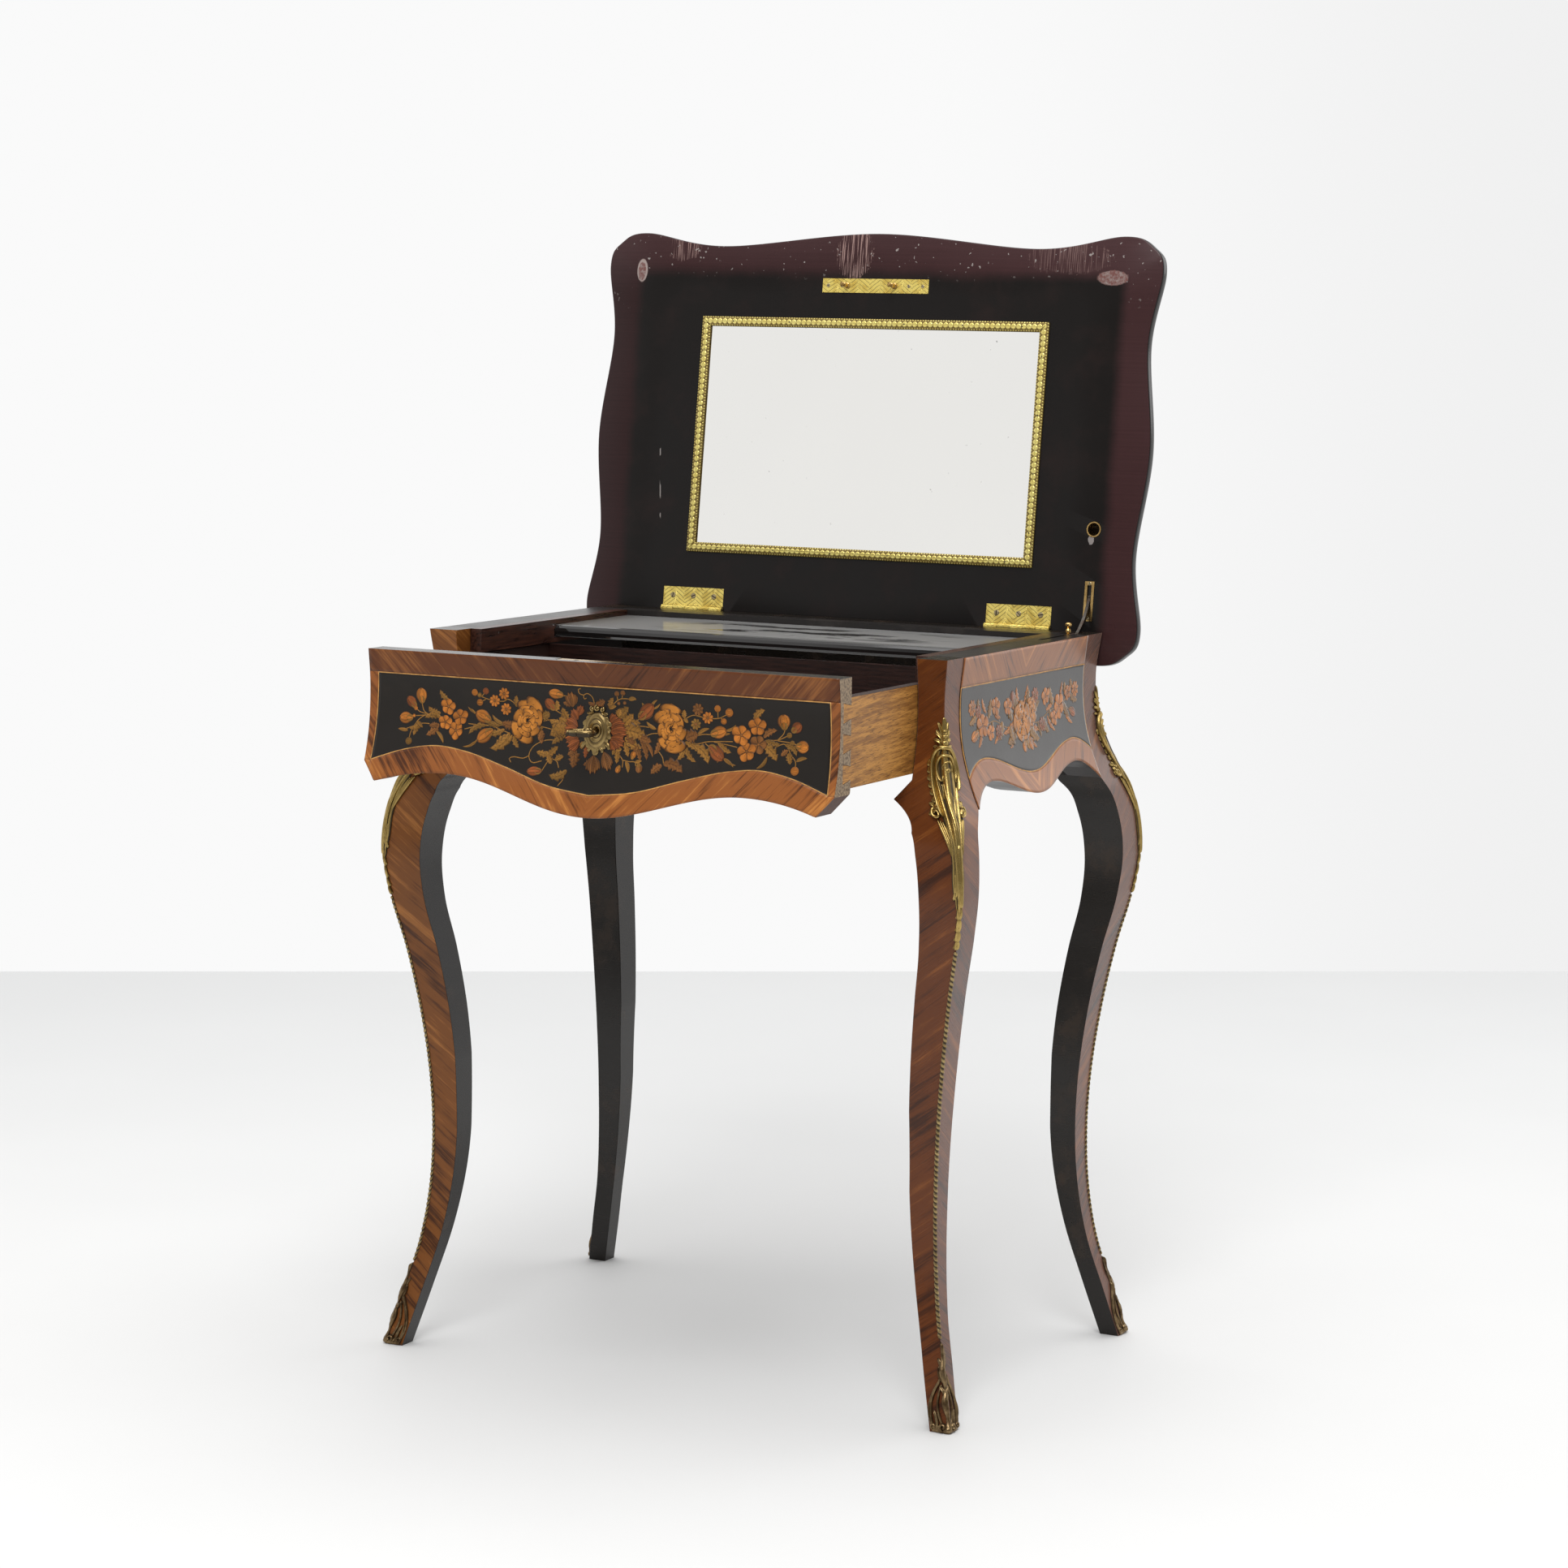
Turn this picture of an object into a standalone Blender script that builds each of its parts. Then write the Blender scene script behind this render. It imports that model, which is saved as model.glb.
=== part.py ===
"""Lift-lid dressing table in the Louis XV style, modelled piece by piece.

Metres, +Z up, the drawer front faces -Y and +X is to the right of someone looking at it.
The table is drawn with its lid open and its drawer pulled out.
"""
import math

import bmesh
import bpy
import numpy as np

# Case
CASE_HEIGHT = 0.715
CASE_WIDTH = 0.561
CASE_DEPTH = 0.357
POST_WIDTH = 0.031
POST_DEPTH = 0.036
BACK_THICKNESS = 0.025
CURVED_WALL = 0.030
FLAT_DROP = 0.1065
SEAT_GAP = 0.0003

# Outward sweep of every outer face: (drop below the case top, offset), and for the shaft below the knee
# (height above the floor, offset) as drawn on a shaft of the length SHAFT_DRAWN
SHAFT_DRAWN = 0.460
SWEEP_UPPER = ((0.0, 0.0), (0.040, -0.0040), (0.088, 0.0), (0.120, 0.0095), (0.152, 0.0225),
               (0.185, 0.0300), (0.218, 0.0320), (0.255, 0.0280))
SWEEP_LOWER = ((0.400, 0.0155), (0.330, 0.0045), (0.270, -0.0015), (0.215, -0.0035), (0.160, -0.0015),
               (0.100, 0.0065), (0.050, 0.0190), (0.0, 0.0310))

# Inner edge of a leg below the aprons, as offsets from the case corner
INNER_UPPER = ((0.140, -0.0360), (0.157, -0.0225), (0.180, -0.0150), (0.221, -0.0095), (0.265, -0.0115))
INNER_LOWER = ((0.400, -0.0200), (0.330, -0.0285), (0.250, -0.0318), (0.180, -0.0283), (0.120, -0.0190),
               (0.060, -0.0045), (0.0, 0.0110))
LEG_STEPS = 40

# Pointed ear on each front leg that carries on the drawer front's cut corner
EAR_SHOULDER_DROP = 0.1115
EAR_TIP_DROP = 0.1295
EAR_ROOT_DROP = 0.158
EAR_REACH = 0.046

# Scalloped lower edges, as drops below the case top
APRON_CREST_DROP = 0.119
APRON_CENTRE_DROP = 0.139
SIDE_END_DROP = 0.140
BACK_END_DROP = 0.146
SIDE_CREST_INSET = 0.0455
BACK_CREST_INSET = 0.090
DRAWER_CREST_DROP = 0.1175
DRAWER_CENTRE_DROP = 0.146
DRAWER_CREST_INSET = 0.0905
APRON_STEPS = 22
FACE_STEPS = 8
INNER_STEPS = 4

# Kickers, rear shelf and back rail inside the case
KICKER_WIDTH = 0.0127
KICKER_HEIGHT = 0.023
KICKER_SETBACK = 0.025
BACK_RAIL_WIDTH = 0.022
BACK_RAIL_HEIGHT = 0.0225
SHELF_DEPTH = 0.146
SHELF_THICKNESS = 0.012
SHELF_DROP = 0.0055
SHELF_TONGUE = 0.006
SHELF_SHOULDER = 0.004
RUNNER_WIDTH = 0.019
RUNNER_THICKNESS = 0.0095

# Drawer
DRAWER_OUT = 0.1544
DRAWER_GAP = 0.0007
DRAWER_TOP_DROP = 0.006
DRAWER_FRONT_THICKNESS = 0.0245
DRAWER_DEPTH = 0.318
DRAWER_SIDE_DROP = 0.024
DRAWER_SIDE_HEIGHT = 0.082
DRAWER_SIDE_THICKNESS = 0.010
DRAWER_BACK_THICKNESS = 0.008
DRAWER_BOTTOM_THICKNESS = 0.005
DRAWER_BOTTOM_RISE = 0.0035
DRAWER_GROOVE = 0.005
PARTITION_SETBACK = 0.095
PARTITION_THICKNESS = 0.006
PARTITION_HEIGHT = 0.057
DOVETAIL_COUNT = 3
DOVETAIL_LENGTH = 0.015
DOVETAIL_ROOT = 0.012
DOVETAIL_TIP = 0.018

# Lid, drawn closed about the hinge axis
LID_OPENING = math.radians(97.25)
LID_SIDE_OVERHANG = 0.0355
LID_FRONT_OVERHANG = 0.0360
LID_THICKNESS = 0.020
LID_FACE_RISE = 0.0012
AXIS_SETBACK = 0.0015
AXIS_RISE = 0.0003
LID_CREST_INSET = 0.044
LID_CREST_SINK = 0.0010
LID_WAIST_INSET = 0.138
LID_WAIST_SINK = 0.0140
LID_SIDE_CREST_INSET = 0.0365
LID_SIDE_WAIST_INSET = 0.1095
LID_SIDE_SINK = 0.0105
LID_SIDE_CENTRE_SINK = 0.0003
LID_CORNER_SINK = 0.0117
LID_EDGE = ((0.0015, 0.0), (0.0, 0.0015), (0.0, 0.0085), (0.0012, 0.0135), (0.0050, 0.0180), (0.0110, 0.0200))
LID_OUTLINE_STEPS = 4

# Mirror and its four mitred strips
FRAME_HALF_WIDTH = 0.1982
FRAME_NEAR = 0.060
FRAME_STRIKE_MARGIN = 0.0267
FRAME_STRIP = 0.010
FRAME_HEIGHT = 0.003
MIRROR_TUCK = 0.003
MIRROR_THICKNESS = 0.003
MIRROR_RECESS = 0.004

# Hinges
HINGE_INSET = 0.0269
HINGE_LENGTH = 0.0716
HINGE_LEAF = 0.0225
LEAF_THICKNESS = 0.0015
KNUCKLE_RADIUS = 0.003
KNUCKLE_BORE = 0.0013
HINGE_PIN_RADIUS = 0.0010
KNUCKLE_COUNT = 5
CASE_LEAF_TILT = math.radians(8.0)

# Strike plate, studs and lock
STRIKE_HALF_WIDTH = 0.0605
STRIKE_BEHIND = 0.0073
STRIKE_BEFORE = 0.0072
PLATE_THICKNESS = 0.0016
PLATE_PROUD = 0.0004
LOCK_X = -0.005
STUD_SPACING = 0.054
STUD_SETBACK = 0.0177
STUD_LENGTH = 0.0148
STUD_RADIUS = 0.0023
STUD_NECK_RADIUS = 0.0015
LOCK_HALF_WIDTH = 0.038
LOCK_WALL = 0.0018
LOCK_DEPTH = 0.0125
LOCK_HEIGHT = 0.0755
SELVEDGE_HALF_WIDTH = 0.046
SELVEDGE_THICKNESS = 0.0015
BOLT_THICKNESS = 0.0014
BOLT_DROP = 0.0042
BOLT_TRAVEL = 0.0042
BOLT_END = 0.0037
RUN_CLEARANCE = 0.0004

# Key and escutcheon
KEY_DROP = 0.0676
KEY_SHANK_RADIUS = 0.0024
KEY_BOW_OUT = 0.027
KEY_BOW_HALF_WIDTH = 0.012
KEY_BOW_HALF_LENGTH = 0.009
KEY_BIT_REACH = 0.010
KEY_BIT_HALF = 0.0014
KEY_BIT_LENGTH = 0.0038
TALON_CLEARANCE = 0.0012
ESCUTCHEON_HALF_WIDTH = 0.0185
ESCUTCHEON_HALF_HEIGHT = 0.024
ESCUTCHEON_THICKNESS = 0.0022
ESCUTCHEON_DOME = 0.0040

# Lid stay: an arm from the lid to a knob that slides in the right rail
STAY_INSET = 0.0183
STAY_PIVOT_REACH = 0.034
STAY_PIVOT_DEPTH = 0.0027
STAY_PIN_RADIUS = 0.0009
STAY_PIN_LENGTH = 0.009
STAY_ARM_THICKNESS = 0.003
STAY_ARM_HALF = 0.0020
STAY_ARM_BOW = 0.005
STAY_EYE = 0.0026
STAY_END_DROP = 0.0065
STAY_PLATE_HALF = 0.005
STAY_PLATE_NEAR = 0.010
STAY_PLATE_FAR = 0.0497
STAY_SLOT_NEAR = 0.0180
STAY_SLOT_FAR = 0.0460
STAY_POCKET = 0.0068
STAY_GROOVE_HALF = 0.0025
STAY_GROOVE_DEPTH = 0.0125
STAY_GROOVE_FRONT = 0.010
STAY_GROOVE_BACK = 0.018
KNOB_OFFSET = 0.013
SHOE_FRONT = 0.008
SHOE_BACK = 0.003
KNOB_HEIGHT = 0.012
KNOB_RADIUS = 0.0036
BUSH_REACH = 0.1016
BUSH_RADIUS = 0.0078
BUSH_BORE = 0.0065
BUSH_DEPTH = 0.013

# Gilt mounts on the legs' outer arrises: the chute's (drop below the case top, width on each face, thickness)
# and the sabot's (height above the floor, width on each face, thickness)
CHUTE = ((0.053, 0.0030, 0.0015), (0.063, 0.0065, 0.0030), (0.075, 0.0105, 0.0035), (0.097, 0.0150, 0.0042),
         (0.120, 0.0165, 0.0045), (0.143, 0.0185, 0.0040), (0.155, 0.0130, 0.0038), (0.180, 0.0100, 0.0036),
         (0.210, 0.0065, 0.0034), (0.240, 0.0050, 0.0030), (0.2625, 0.0032, 0.0022))
ROPE_GAP = 0.0005
ROPE_WIDTH = 0.0030
ROPE_THICKNESS = 0.0020
ROPE_STEPS = 22
SABOT = ((0.0820, 0.0030, 0.0018), (0.0740, 0.0070, 0.0028), (0.0600, 0.0065, 0.0030),
         (0.0480, 0.0110, 0.0034), (0.0330, 0.0150, 0.0034), (0.0150, 0.0165, 0.0036),
         (0.0060, 0.0175, 0.0048), (0.0, 0.0175, 0.0046))
MOUNT_GAP = 0.0003

ROUND = 16
SIDES = {"left": -1.0, "right": 1.0}
ENDS = {"front": -1.0, "back": 1.0}

# Worked-out places
EAR_HEIGHTS = tuple(CASE_HEIGHT - drop for drop in (EAR_SHOULDER_DROP, EAR_TIP_DROP, EAR_ROOT_DROP))
AXIS_Y = CASE_DEPTH / 2 + AXIS_SETBACK
AXIS_Z = CASE_HEIGHT + AXIS_RISE
OPENING_HALF = CASE_WIDTH / 2 - POST_WIDTH
DRAWER_HALF = OPENING_HALF - DRAWER_GAP
DRAWER_TOP = CASE_HEIGHT - DRAWER_TOP_DROP
DRAWER_FACE = -CASE_DEPTH / 2
DRAWER_INSIDE = DRAWER_FACE + DRAWER_FRONT_THICKNESS
DRAWER_REAR = DRAWER_FACE + DRAWER_DEPTH
SIDE_TOP = CASE_HEIGHT - DRAWER_SIDE_DROP
SIDE_BOTTOM = SIDE_TOP - DRAWER_SIDE_HEIGHT
KEY_Z = CASE_HEIGHT - KEY_DROP
STUD_Y = DRAWER_FACE + STUD_SETBACK
STUD_REACH = AXIS_Y - STUD_Y
STRIKE_NEAR = STUD_REACH - STRIKE_BEHIND
STRIKE_FAR = STUD_REACH + STRIKE_BEFORE
FRAME_FAR = STRIKE_NEAR - FRAME_STRIKE_MARGIN
SHELF_TOP = CASE_HEIGHT - SHELF_DROP
BACK_INSIDE = CASE_DEPTH / 2 - BACK_THICKNESS
RAIL_FRONT = BACK_INSIDE - SEAT_GAP - BACK_RAIL_WIDTH
KEY_REACH = KEY_BOW_OUT + KEY_BOW_HALF_LENGTH
LID_HALF_WIDTH = CASE_WIDTH / 2 + LID_SIDE_OVERHANG
LID_HALF_DEPTH = CASE_DEPTH / 2 + LID_FRONT_OVERHANG
HINGE_INNER_X = OPENING_HALF - HINGE_INSET - HINGE_LENGTH
STAY_X = CASE_WIDTH / 2 - STAY_INSET
CHUTE_FOOT = CASE_HEIGHT - CHUTE[-1][0]
LID_REACH = AXIS_Y + LID_HALF_DEPTH


def smooth(stations):
    """Return a smooth function through (position, value) stations."""
    position, value = np.array(sorted(stations)).T
    slope = np.gradient(value, position)

    def at(where):
        where = np.clip(np.asarray(where, float), position[0], position[-1])
        index = np.clip(np.searchsorted(position, where) - 1, 0, len(position) - 2)
        step = position[index + 1] - position[index]
        t = (where - position[index]) / step
        near = (1 + 2 * t) * (1 - t) ** 2 * value[index] + t * (1 - t) ** 2 * step * slope[index]
        far = t * t * (3 - 2 * t) * value[index + 1] - t * t * (1 - t) * step * slope[index + 1]
        return near + far

    return at


def from_top(stations):
    """Turn (drop below the case top, value) stations into (height, value) stations."""
    return tuple((CASE_HEIGHT - drop, value) for drop, value in stations)


def on_shaft(stations):
    """Carry (height, value) stations from the drawn shaft to the shaft below the knee of this case."""
    stretch = (CASE_HEIGHT - SWEEP_UPPER[-1][0]) / SHAFT_DRAWN
    return tuple((height * stretch, value) for height, value in stations)


sweep = smooth(from_top(SWEEP_UPPER) + on_shaft(SWEEP_LOWER))
inner_edge = smooth(from_top(INNER_UPPER) + on_shaft(INNER_LOWER))


def finish(name, colour, roughness, metallic=0.0):
    """Return a Principled material."""
    material = bpy.data.materials.new(name)
    material.use_nodes = True
    shader = material.node_tree.nodes["Principled BSDF"]
    shader.inputs["Base Color"].default_value = (*colour, 1.0)
    shader.inputs["Roughness"].default_value = roughness
    shader.inputs["Metallic"].default_value = metallic
    return material


def empty(name, parent=None, location=(0.0, 0.0, 0.0), turn_x=0.0):
    """Return an empty that carries the pieces of one moving body."""
    carrier = bpy.data.objects.new(name, None)
    bpy.context.collection.objects.link(carrier)
    carrier.parent = parent
    carrier.location = location
    carrier.rotation_euler = (turn_x, 0.0, 0.0)
    return carrier


def loft(rings, cyclic=False):
    """Return a closed mesh through rings of equal length, capped or joined end to start."""
    rings = [np.asarray(ring, float) for ring in rings]
    count = len(rings[0])
    faces = []
    pairs = len(rings) if cyclic else len(rings) - 1
    for first in range(pairs):
        second = (first + 1) % len(rings)
        for k in range(count):
            n = (k + 1) % count
            faces.append((first * count + k, first * count + n, second * count + n, second * count + k))
    if not cyclic:
        faces.append(tuple(range(count)))
        faces.append(tuple(range((len(rings) - 1) * count, len(rings) * count)))
    mesh = bpy.data.meshes.new("loft")
    mesh.from_pydata(np.vstack(rings).tolist(), [], faces)
    work = bmesh.new()
    work.from_mesh(mesh)
    bmesh.ops.recalc_face_normals(work, faces=work.faces)
    work.to_mesh(mesh)
    work.free()
    return mesh


def box(low, high):
    """Return a box between two corners."""
    (x0, y0, z0), (x1, y1, z1) = low, high
    ring = [(x0, y0), (x1, y0), (x1, y1), (x0, y1)]
    return loft([[(x, y, z) for x, y in ring] for z in (z0, z1)])


def mirrored_box(side, low, high):
    """Return a box whose x limits are measured outwards on the given side."""
    (x0, y0, z0), (x1, y1, z1) = low, high
    x0, x1 = sorted((side * x0, side * x1))
    return box((x0, y0, z0), (x1, y1, z1))


def prism(outline, x0, x1):
    """Return an outline of (y, z) points carried along X."""
    return loft([[(x, y, z) for y, z in outline] for x in (x0, x1)])


def circle(radius, segments=ROUND):
    """Return points round a circle."""
    angles = np.arange(segments) * 2 * math.pi / segments
    return np.column_stack((radius * np.cos(angles), radius * np.sin(angles)))


def turned(profile, axis, centre, segments=ROUND):
    """Return a turned solid from (radius, place along the axis) pairs; axis is 0, 1 or 2 for X, Y or Z."""
    others = [k for k in range(3) if k != axis]
    rings = []
    for radius, along in profile:
        ring = np.tile(np.asarray(centre, float), (segments, 1))
        ring[:, others] += circle(radius, segments)
        ring[:, axis] = along
        rings.append(ring)
    return loft(rings)


def piece(name, mesh, material, parent):
    """Return a named object for one piece of the table."""
    mesh.name = name
    mesh.materials.append(material)
    made = bpy.data.objects.new(name, mesh)
    bpy.context.collection.objects.link(made)
    made.parent = parent
    return made


def shade_round(made, angle=35.0):
    """Shade a round piece smooth, keeping its sharp edges."""
    made.data.shade_smooth()
    made.data.set_sharp_from_angle(angle=math.radians(angle))


def combine(made, mesh, operation):
    """Cut a mesh from a piece, or fuse it on, with a Boolean modifier and a hidden guide."""
    guide = bpy.data.objects.new(made.name + "_guide", mesh)
    bpy.context.collection.objects.link(guide)
    guide.parent = made.parent
    guide.hide_render = True
    guide.display_type = "WIRE"
    modifier = made.modifiers.new(operation.title(), "BOOLEAN")
    modifier.operation = operation
    modifier.solver = "EXACT"
    modifier.object = guide


def carve(made, *meshes):
    """Cut each mesh out of a piece."""
    for mesh in meshes:
        combine(made, mesh, "DIFFERENCE")


def fuse(made, *meshes):
    """Join each mesh onto a piece."""
    for mesh in meshes:
        combine(made, mesh, "UNION")


def apron_edge(along, end, end_drop, crest_inset, crest_drop, centre_drop):
    """Return the height of a scalloped edge: an arch by each end and a central drop."""
    along = abs(along)
    crest = end - crest_inset
    if along >= crest:
        drop = crest_drop + (end_drop - crest_drop) * ((along - crest) / crest_inset) ** 2
    else:
        drop = centre_drop + (crest_drop - centre_drop) * (1 - math.cos(math.pi * along / crest)) / 2
    return CASE_HEIGHT - drop


def wall_section(low, top, flat):
    """Return an upright wall's section as (outward, height) points: swept outside, flat inside.

    Below the straight part the inside follows the sweep, so that the wall keeps its thickness.
    """
    heights = np.linspace(low, top, FACE_STEPS + 1)
    lower = np.linspace(low, CASE_HEIGHT - FLAT_DROP, INNER_STEPS)
    inside = np.maximum(-flat, sweep(lower) - flat - (CURVED_WALL - DRAWER_FRONT_THICKNESS))
    inside[-1] = -flat
    outer = np.column_stack((sweep(heights), heights))
    return np.vstack((outer, [(-flat, top)], np.column_stack((inside, lower))[::-1]))


def leg_inner(heights, post, ear):
    """Return the inner edge of a leg at each height, with the ear of a front leg if asked."""
    below = heights < CASE_HEIGHT - INNER_UPPER[0][0]
    edge = np.where(below, np.maximum(-post, inner_edge(heights)), -post)
    if ear:
        shoulder, tip, root = EAR_HEIGHTS
        slant = -post - (EAR_REACH - post) * (shoulder - heights) / (shoulder - tip)
        foot = inner_edge(root)
        under = foot + (-EAR_REACH - foot) * np.clip((heights - root) / (tip - root), 0, 1) ** 2
        edge = np.where(heights < shoulder, np.where(heights >= tip, slant, under), -post)
        edge = np.where(heights < root, inner_edge(heights), edge)
    return edge


def make_legs(parent, wood):
    """Make the four one-piece cabriole legs and posts."""
    corners = (*EAR_HEIGHTS, CASE_HEIGHT - INNER_UPPER[0][0])
    heights = np.unique(np.concatenate((np.linspace(0.0, CASE_HEIGHT, LEG_STEPS), corners)))
    outer = sweep(heights)
    inner_y = CASE_DEPTH / 2 + leg_inner(heights, POST_DEPTH, False)
    legs = {}
    for end, front in ENDS.items():
        inner_x = CASE_WIDTH / 2 + leg_inner(heights, POST_WIDTH, end == "front")
        for side, right in SIDES.items():
            rings = []
            for k, z in enumerate(heights):
                x0, x1 = right * inner_x[k], right * (CASE_WIDTH / 2 + outer[k])
                y0, y1 = front * inner_y[k], front * (CASE_DEPTH / 2 + outer[k])
                rings.append([(x0, y0, z), (x1, y0, z), (x1, y1, z), (x0, y1, z)])
            legs[end, side] = piece(f"leg_{end}_{side}", loft(rings), wood, parent)
            shade_round(legs[end, side])
    return legs


def make_walls(parent, wood):
    """Make the swept side panels and the back panel between the posts."""
    walls = {}
    half = CASE_DEPTH / 2 - POST_DEPTH - SEAT_GAP
    for side, right in SIDES.items():
        rings = []
        for y in np.linspace(-half, half, APRON_STEPS + 1):
            low = apron_edge(y, half, SIDE_END_DROP, SIDE_CREST_INSET, APRON_CREST_DROP, APRON_CENTRE_DROP)
            section = wall_section(low, CASE_HEIGHT, POST_WIDTH)
            rings.append([(right * (CASE_WIDTH / 2 + out), y, z) for out, z in section])
        walls[side] = piece(f"side_panel_{side}", loft(rings), wood, parent)
        shade_round(walls[side])
    half = OPENING_HALF - SEAT_GAP
    rings = []
    for x in np.linspace(-half, half, APRON_STEPS + 1):
        low = apron_edge(x, half, BACK_END_DROP, BACK_CREST_INSET, APRON_CREST_DROP, APRON_CENTRE_DROP)
        section = wall_section(low, CASE_HEIGHT, BACK_THICKNESS)
        rings.append([(x, CASE_DEPTH / 2 + out, z) for out, z in section])
    walls["back"] = piece("back_panel", loft(rings), wood, parent)
    shade_round(walls["back"])
    for right in SIDES.values():
        lean = HINGE_LEAF * math.tan(CASE_LEAF_TILT)
        near = AXIS_Y - KNUCKLE_RADIUS - RUN_CLEARANCE
        outside = CASE_DEPTH / 2 + KNUCKLE_RADIUS + BACK_THICKNESS
        foot = AXIS_Z - HINGE_LEAF - SEAT_GAP
        pocket = [(near, AXIS_Z + KNUCKLE_RADIUS), (outside, AXIS_Z + KNUCKLE_RADIUS),
                  (outside, foot), (near - lean, foot)]
        ends = sorted((right * (HINGE_INNER_X - SEAT_GAP), right * (HINGE_INNER_X + HINGE_LENGTH + SEAT_GAP)))
        carve(walls["back"], prism(pocket, *ends))
    return walls


def make_inside(parent, ebony, oak):
    """Make the kickers, rear shelf, back rail and drawer runners."""
    inner = OPENING_HALF - SEAT_GAP
    kicker = inner - KICKER_WIDTH
    shelf_front = RAIL_FRONT - SEAT_GAP - SHELF_DEPTH
    for side, right in SIDES.items():
        low = (kicker, DRAWER_FACE + KICKER_SETBACK, CASE_HEIGHT - KICKER_HEIGHT)
        strip = piece(f"drawer_kicker_{side}",
                      mirrored_box(right, low, (inner, RAIL_FRONT - SEAT_GAP, CASE_HEIGHT)), ebony, parent)
        groove_low = (kicker - KICKER_WIDTH, shelf_front - SEAT_GAP, SHELF_TOP - SHELF_THICKNESS - SEAT_GAP)
        groove_high = (kicker + SHELF_TONGUE + SEAT_GAP, RAIL_FRONT + BACK_RAIL_WIDTH,
                       SHELF_TOP - SHELF_SHOULDER + SEAT_GAP)
        carve(strip, mirrored_box(right, groove_low, groove_high))
        top = SIDE_BOTTOM - SEAT_GAP
        runner_front = -CASE_DEPTH / 2 + POST_DEPTH + SEAT_GAP
        piece(f"drawer_runner_{side}",
              mirrored_box(right, (inner - RUNNER_WIDTH, runner_front, top - RUNNER_THICKNESS),
                           (inner, BACK_INSIDE - SEAT_GAP, top)), oak, parent)
    piece("back_rail", box((-inner, RAIL_FRONT, CASE_HEIGHT - BACK_RAIL_HEIGHT),
                           (inner, BACK_INSIDE - SEAT_GAP, CASE_HEIGHT)), ebony, parent)
    nose = SHELF_THICKNESS / 2
    middle = SHELF_TOP - nose
    rim = [(shelf_front + nose - nose * math.sin(a), middle - nose * math.cos(a))
           for a in np.linspace(0.0, math.pi, 7)]
    outline = rim + [(RAIL_FRONT - SEAT_GAP, SHELF_TOP), (RAIL_FRONT - SEAT_GAP, SHELF_TOP - SHELF_THICKNESS)]
    reach = kicker + SHELF_TONGUE
    shelf = piece("rear_shelf", prism(outline, -reach, reach), ebony, parent)
    shade_round(shelf)
    for right in SIDES.values():
        rebate_low = (kicker - SEAT_GAP, shelf_front - SHELF_TONGUE, SHELF_TOP - SHELF_SHOULDER)
        rebate_high = (kicker + KICKER_WIDTH, RAIL_FRONT + BACK_RAIL_WIDTH, SHELF_TOP + SHELF_SHOULDER)
        carve(shelf, mirrored_box(right, rebate_low, rebate_high))


def arris_ring(corner_x, corner_y, z, width, thickness):
    """Return a saddle section over a leg's outer corner, drawn round both faces."""
    gap = MOUNT_GAP
    edge = gap + 0.4 * thickness
    body = gap + thickness
    nose = gap + 0.85 * thickness
    plan = [(width, -gap), (-gap, -gap), (-gap, width), (-edge, width), (-body, width / 2),
            (-nose, -nose), (width / 2, -body), (width, -edge)]
    right, back = math.copysign(1, corner_x), math.copysign(1, corner_y)
    return [(corner_x - right * p, corner_y - back * q, z) for p, q in plan]


def make_mounts(parent, gilt, bronze):
    """Make the chute, rope edging and sabot on each leg's outer arris."""
    rope_levels = np.linspace(CHUTE_FOOT - ROPE_GAP, SABOT[0][0] + MOUNT_GAP, ROPE_STEPS)
    rope = [(z, ROPE_WIDTH, ROPE_THICKNESS) for z in rope_levels]
    fine = [smooth(from_top([(station[0], station[k]) for station in CHUTE])) for k in (1, 2)]
    levels = np.linspace(CASE_HEIGHT - CHUTE[0][0], CHUTE_FOOT, 2 * len(CHUTE) - 1)
    chute = [(z, float(fine[0](z)), float(fine[1](z))) for z in levels]
    for end, back in ENDS.items():
        for side, right in SIDES.items():
            for kind, stations, material in (("chute", chute, gilt), ("edge_rope", rope, bronze),
                                             ("sabot", SABOT, bronze)):
                rings = []
                for z, width, thickness in stations:
                    out = float(sweep(z))
                    rings.append(arris_ring(right * (CASE_WIDTH / 2 + out), back * (CASE_DEPTH / 2 + out),
                                            z, width, thickness))
                shade_round(piece(f"{kind}_{end}_{side}", loft(rings), material, parent))


def drawer_edge(x):
    """Return the height of the drawer front's lower edge, with its slanted corners."""
    tip = CASE_WIDTH / 2 - EAR_REACH - DRAWER_GAP
    lift = DRAWER_GAP / 2
    if abs(x) > tip:
        share = (abs(x) - tip) / (DRAWER_HALF - tip)
        return CASE_HEIGHT - EAR_TIP_DROP + lift + share * (EAR_TIP_DROP - EAR_SHOULDER_DROP)
    return apron_edge(x, tip, EAR_TIP_DROP - lift, DRAWER_CREST_INSET - (DRAWER_HALF - tip),
                      DRAWER_CREST_DROP, DRAWER_CENTRE_DROP)


def dovetails(grow, root):
    """Return the side's tails as (y, z) outlines from their tips back to a root, grown by a clearance."""
    pitch = DRAWER_SIDE_HEIGHT / DOVETAIL_COUNT
    tip = DRAWER_INSIDE - DOVETAIL_LENGTH
    taper = (DOVETAIL_TIP - DOVETAIL_ROOT) / 2 / DOVETAIL_LENGTH
    wide = DOVETAIL_TIP / 2 + grow
    narrow = wide - taper * (root - tip)
    outlines = []
    for k in range(DOVETAIL_COUNT):
        middle = SIDE_BOTTOM + (k + 0.5) * pitch
        outlines.append([(root, middle - narrow), (tip - grow, middle - wide), (tip - grow, middle + wide),
                         (root, middle + narrow)])
    return outlines


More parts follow.
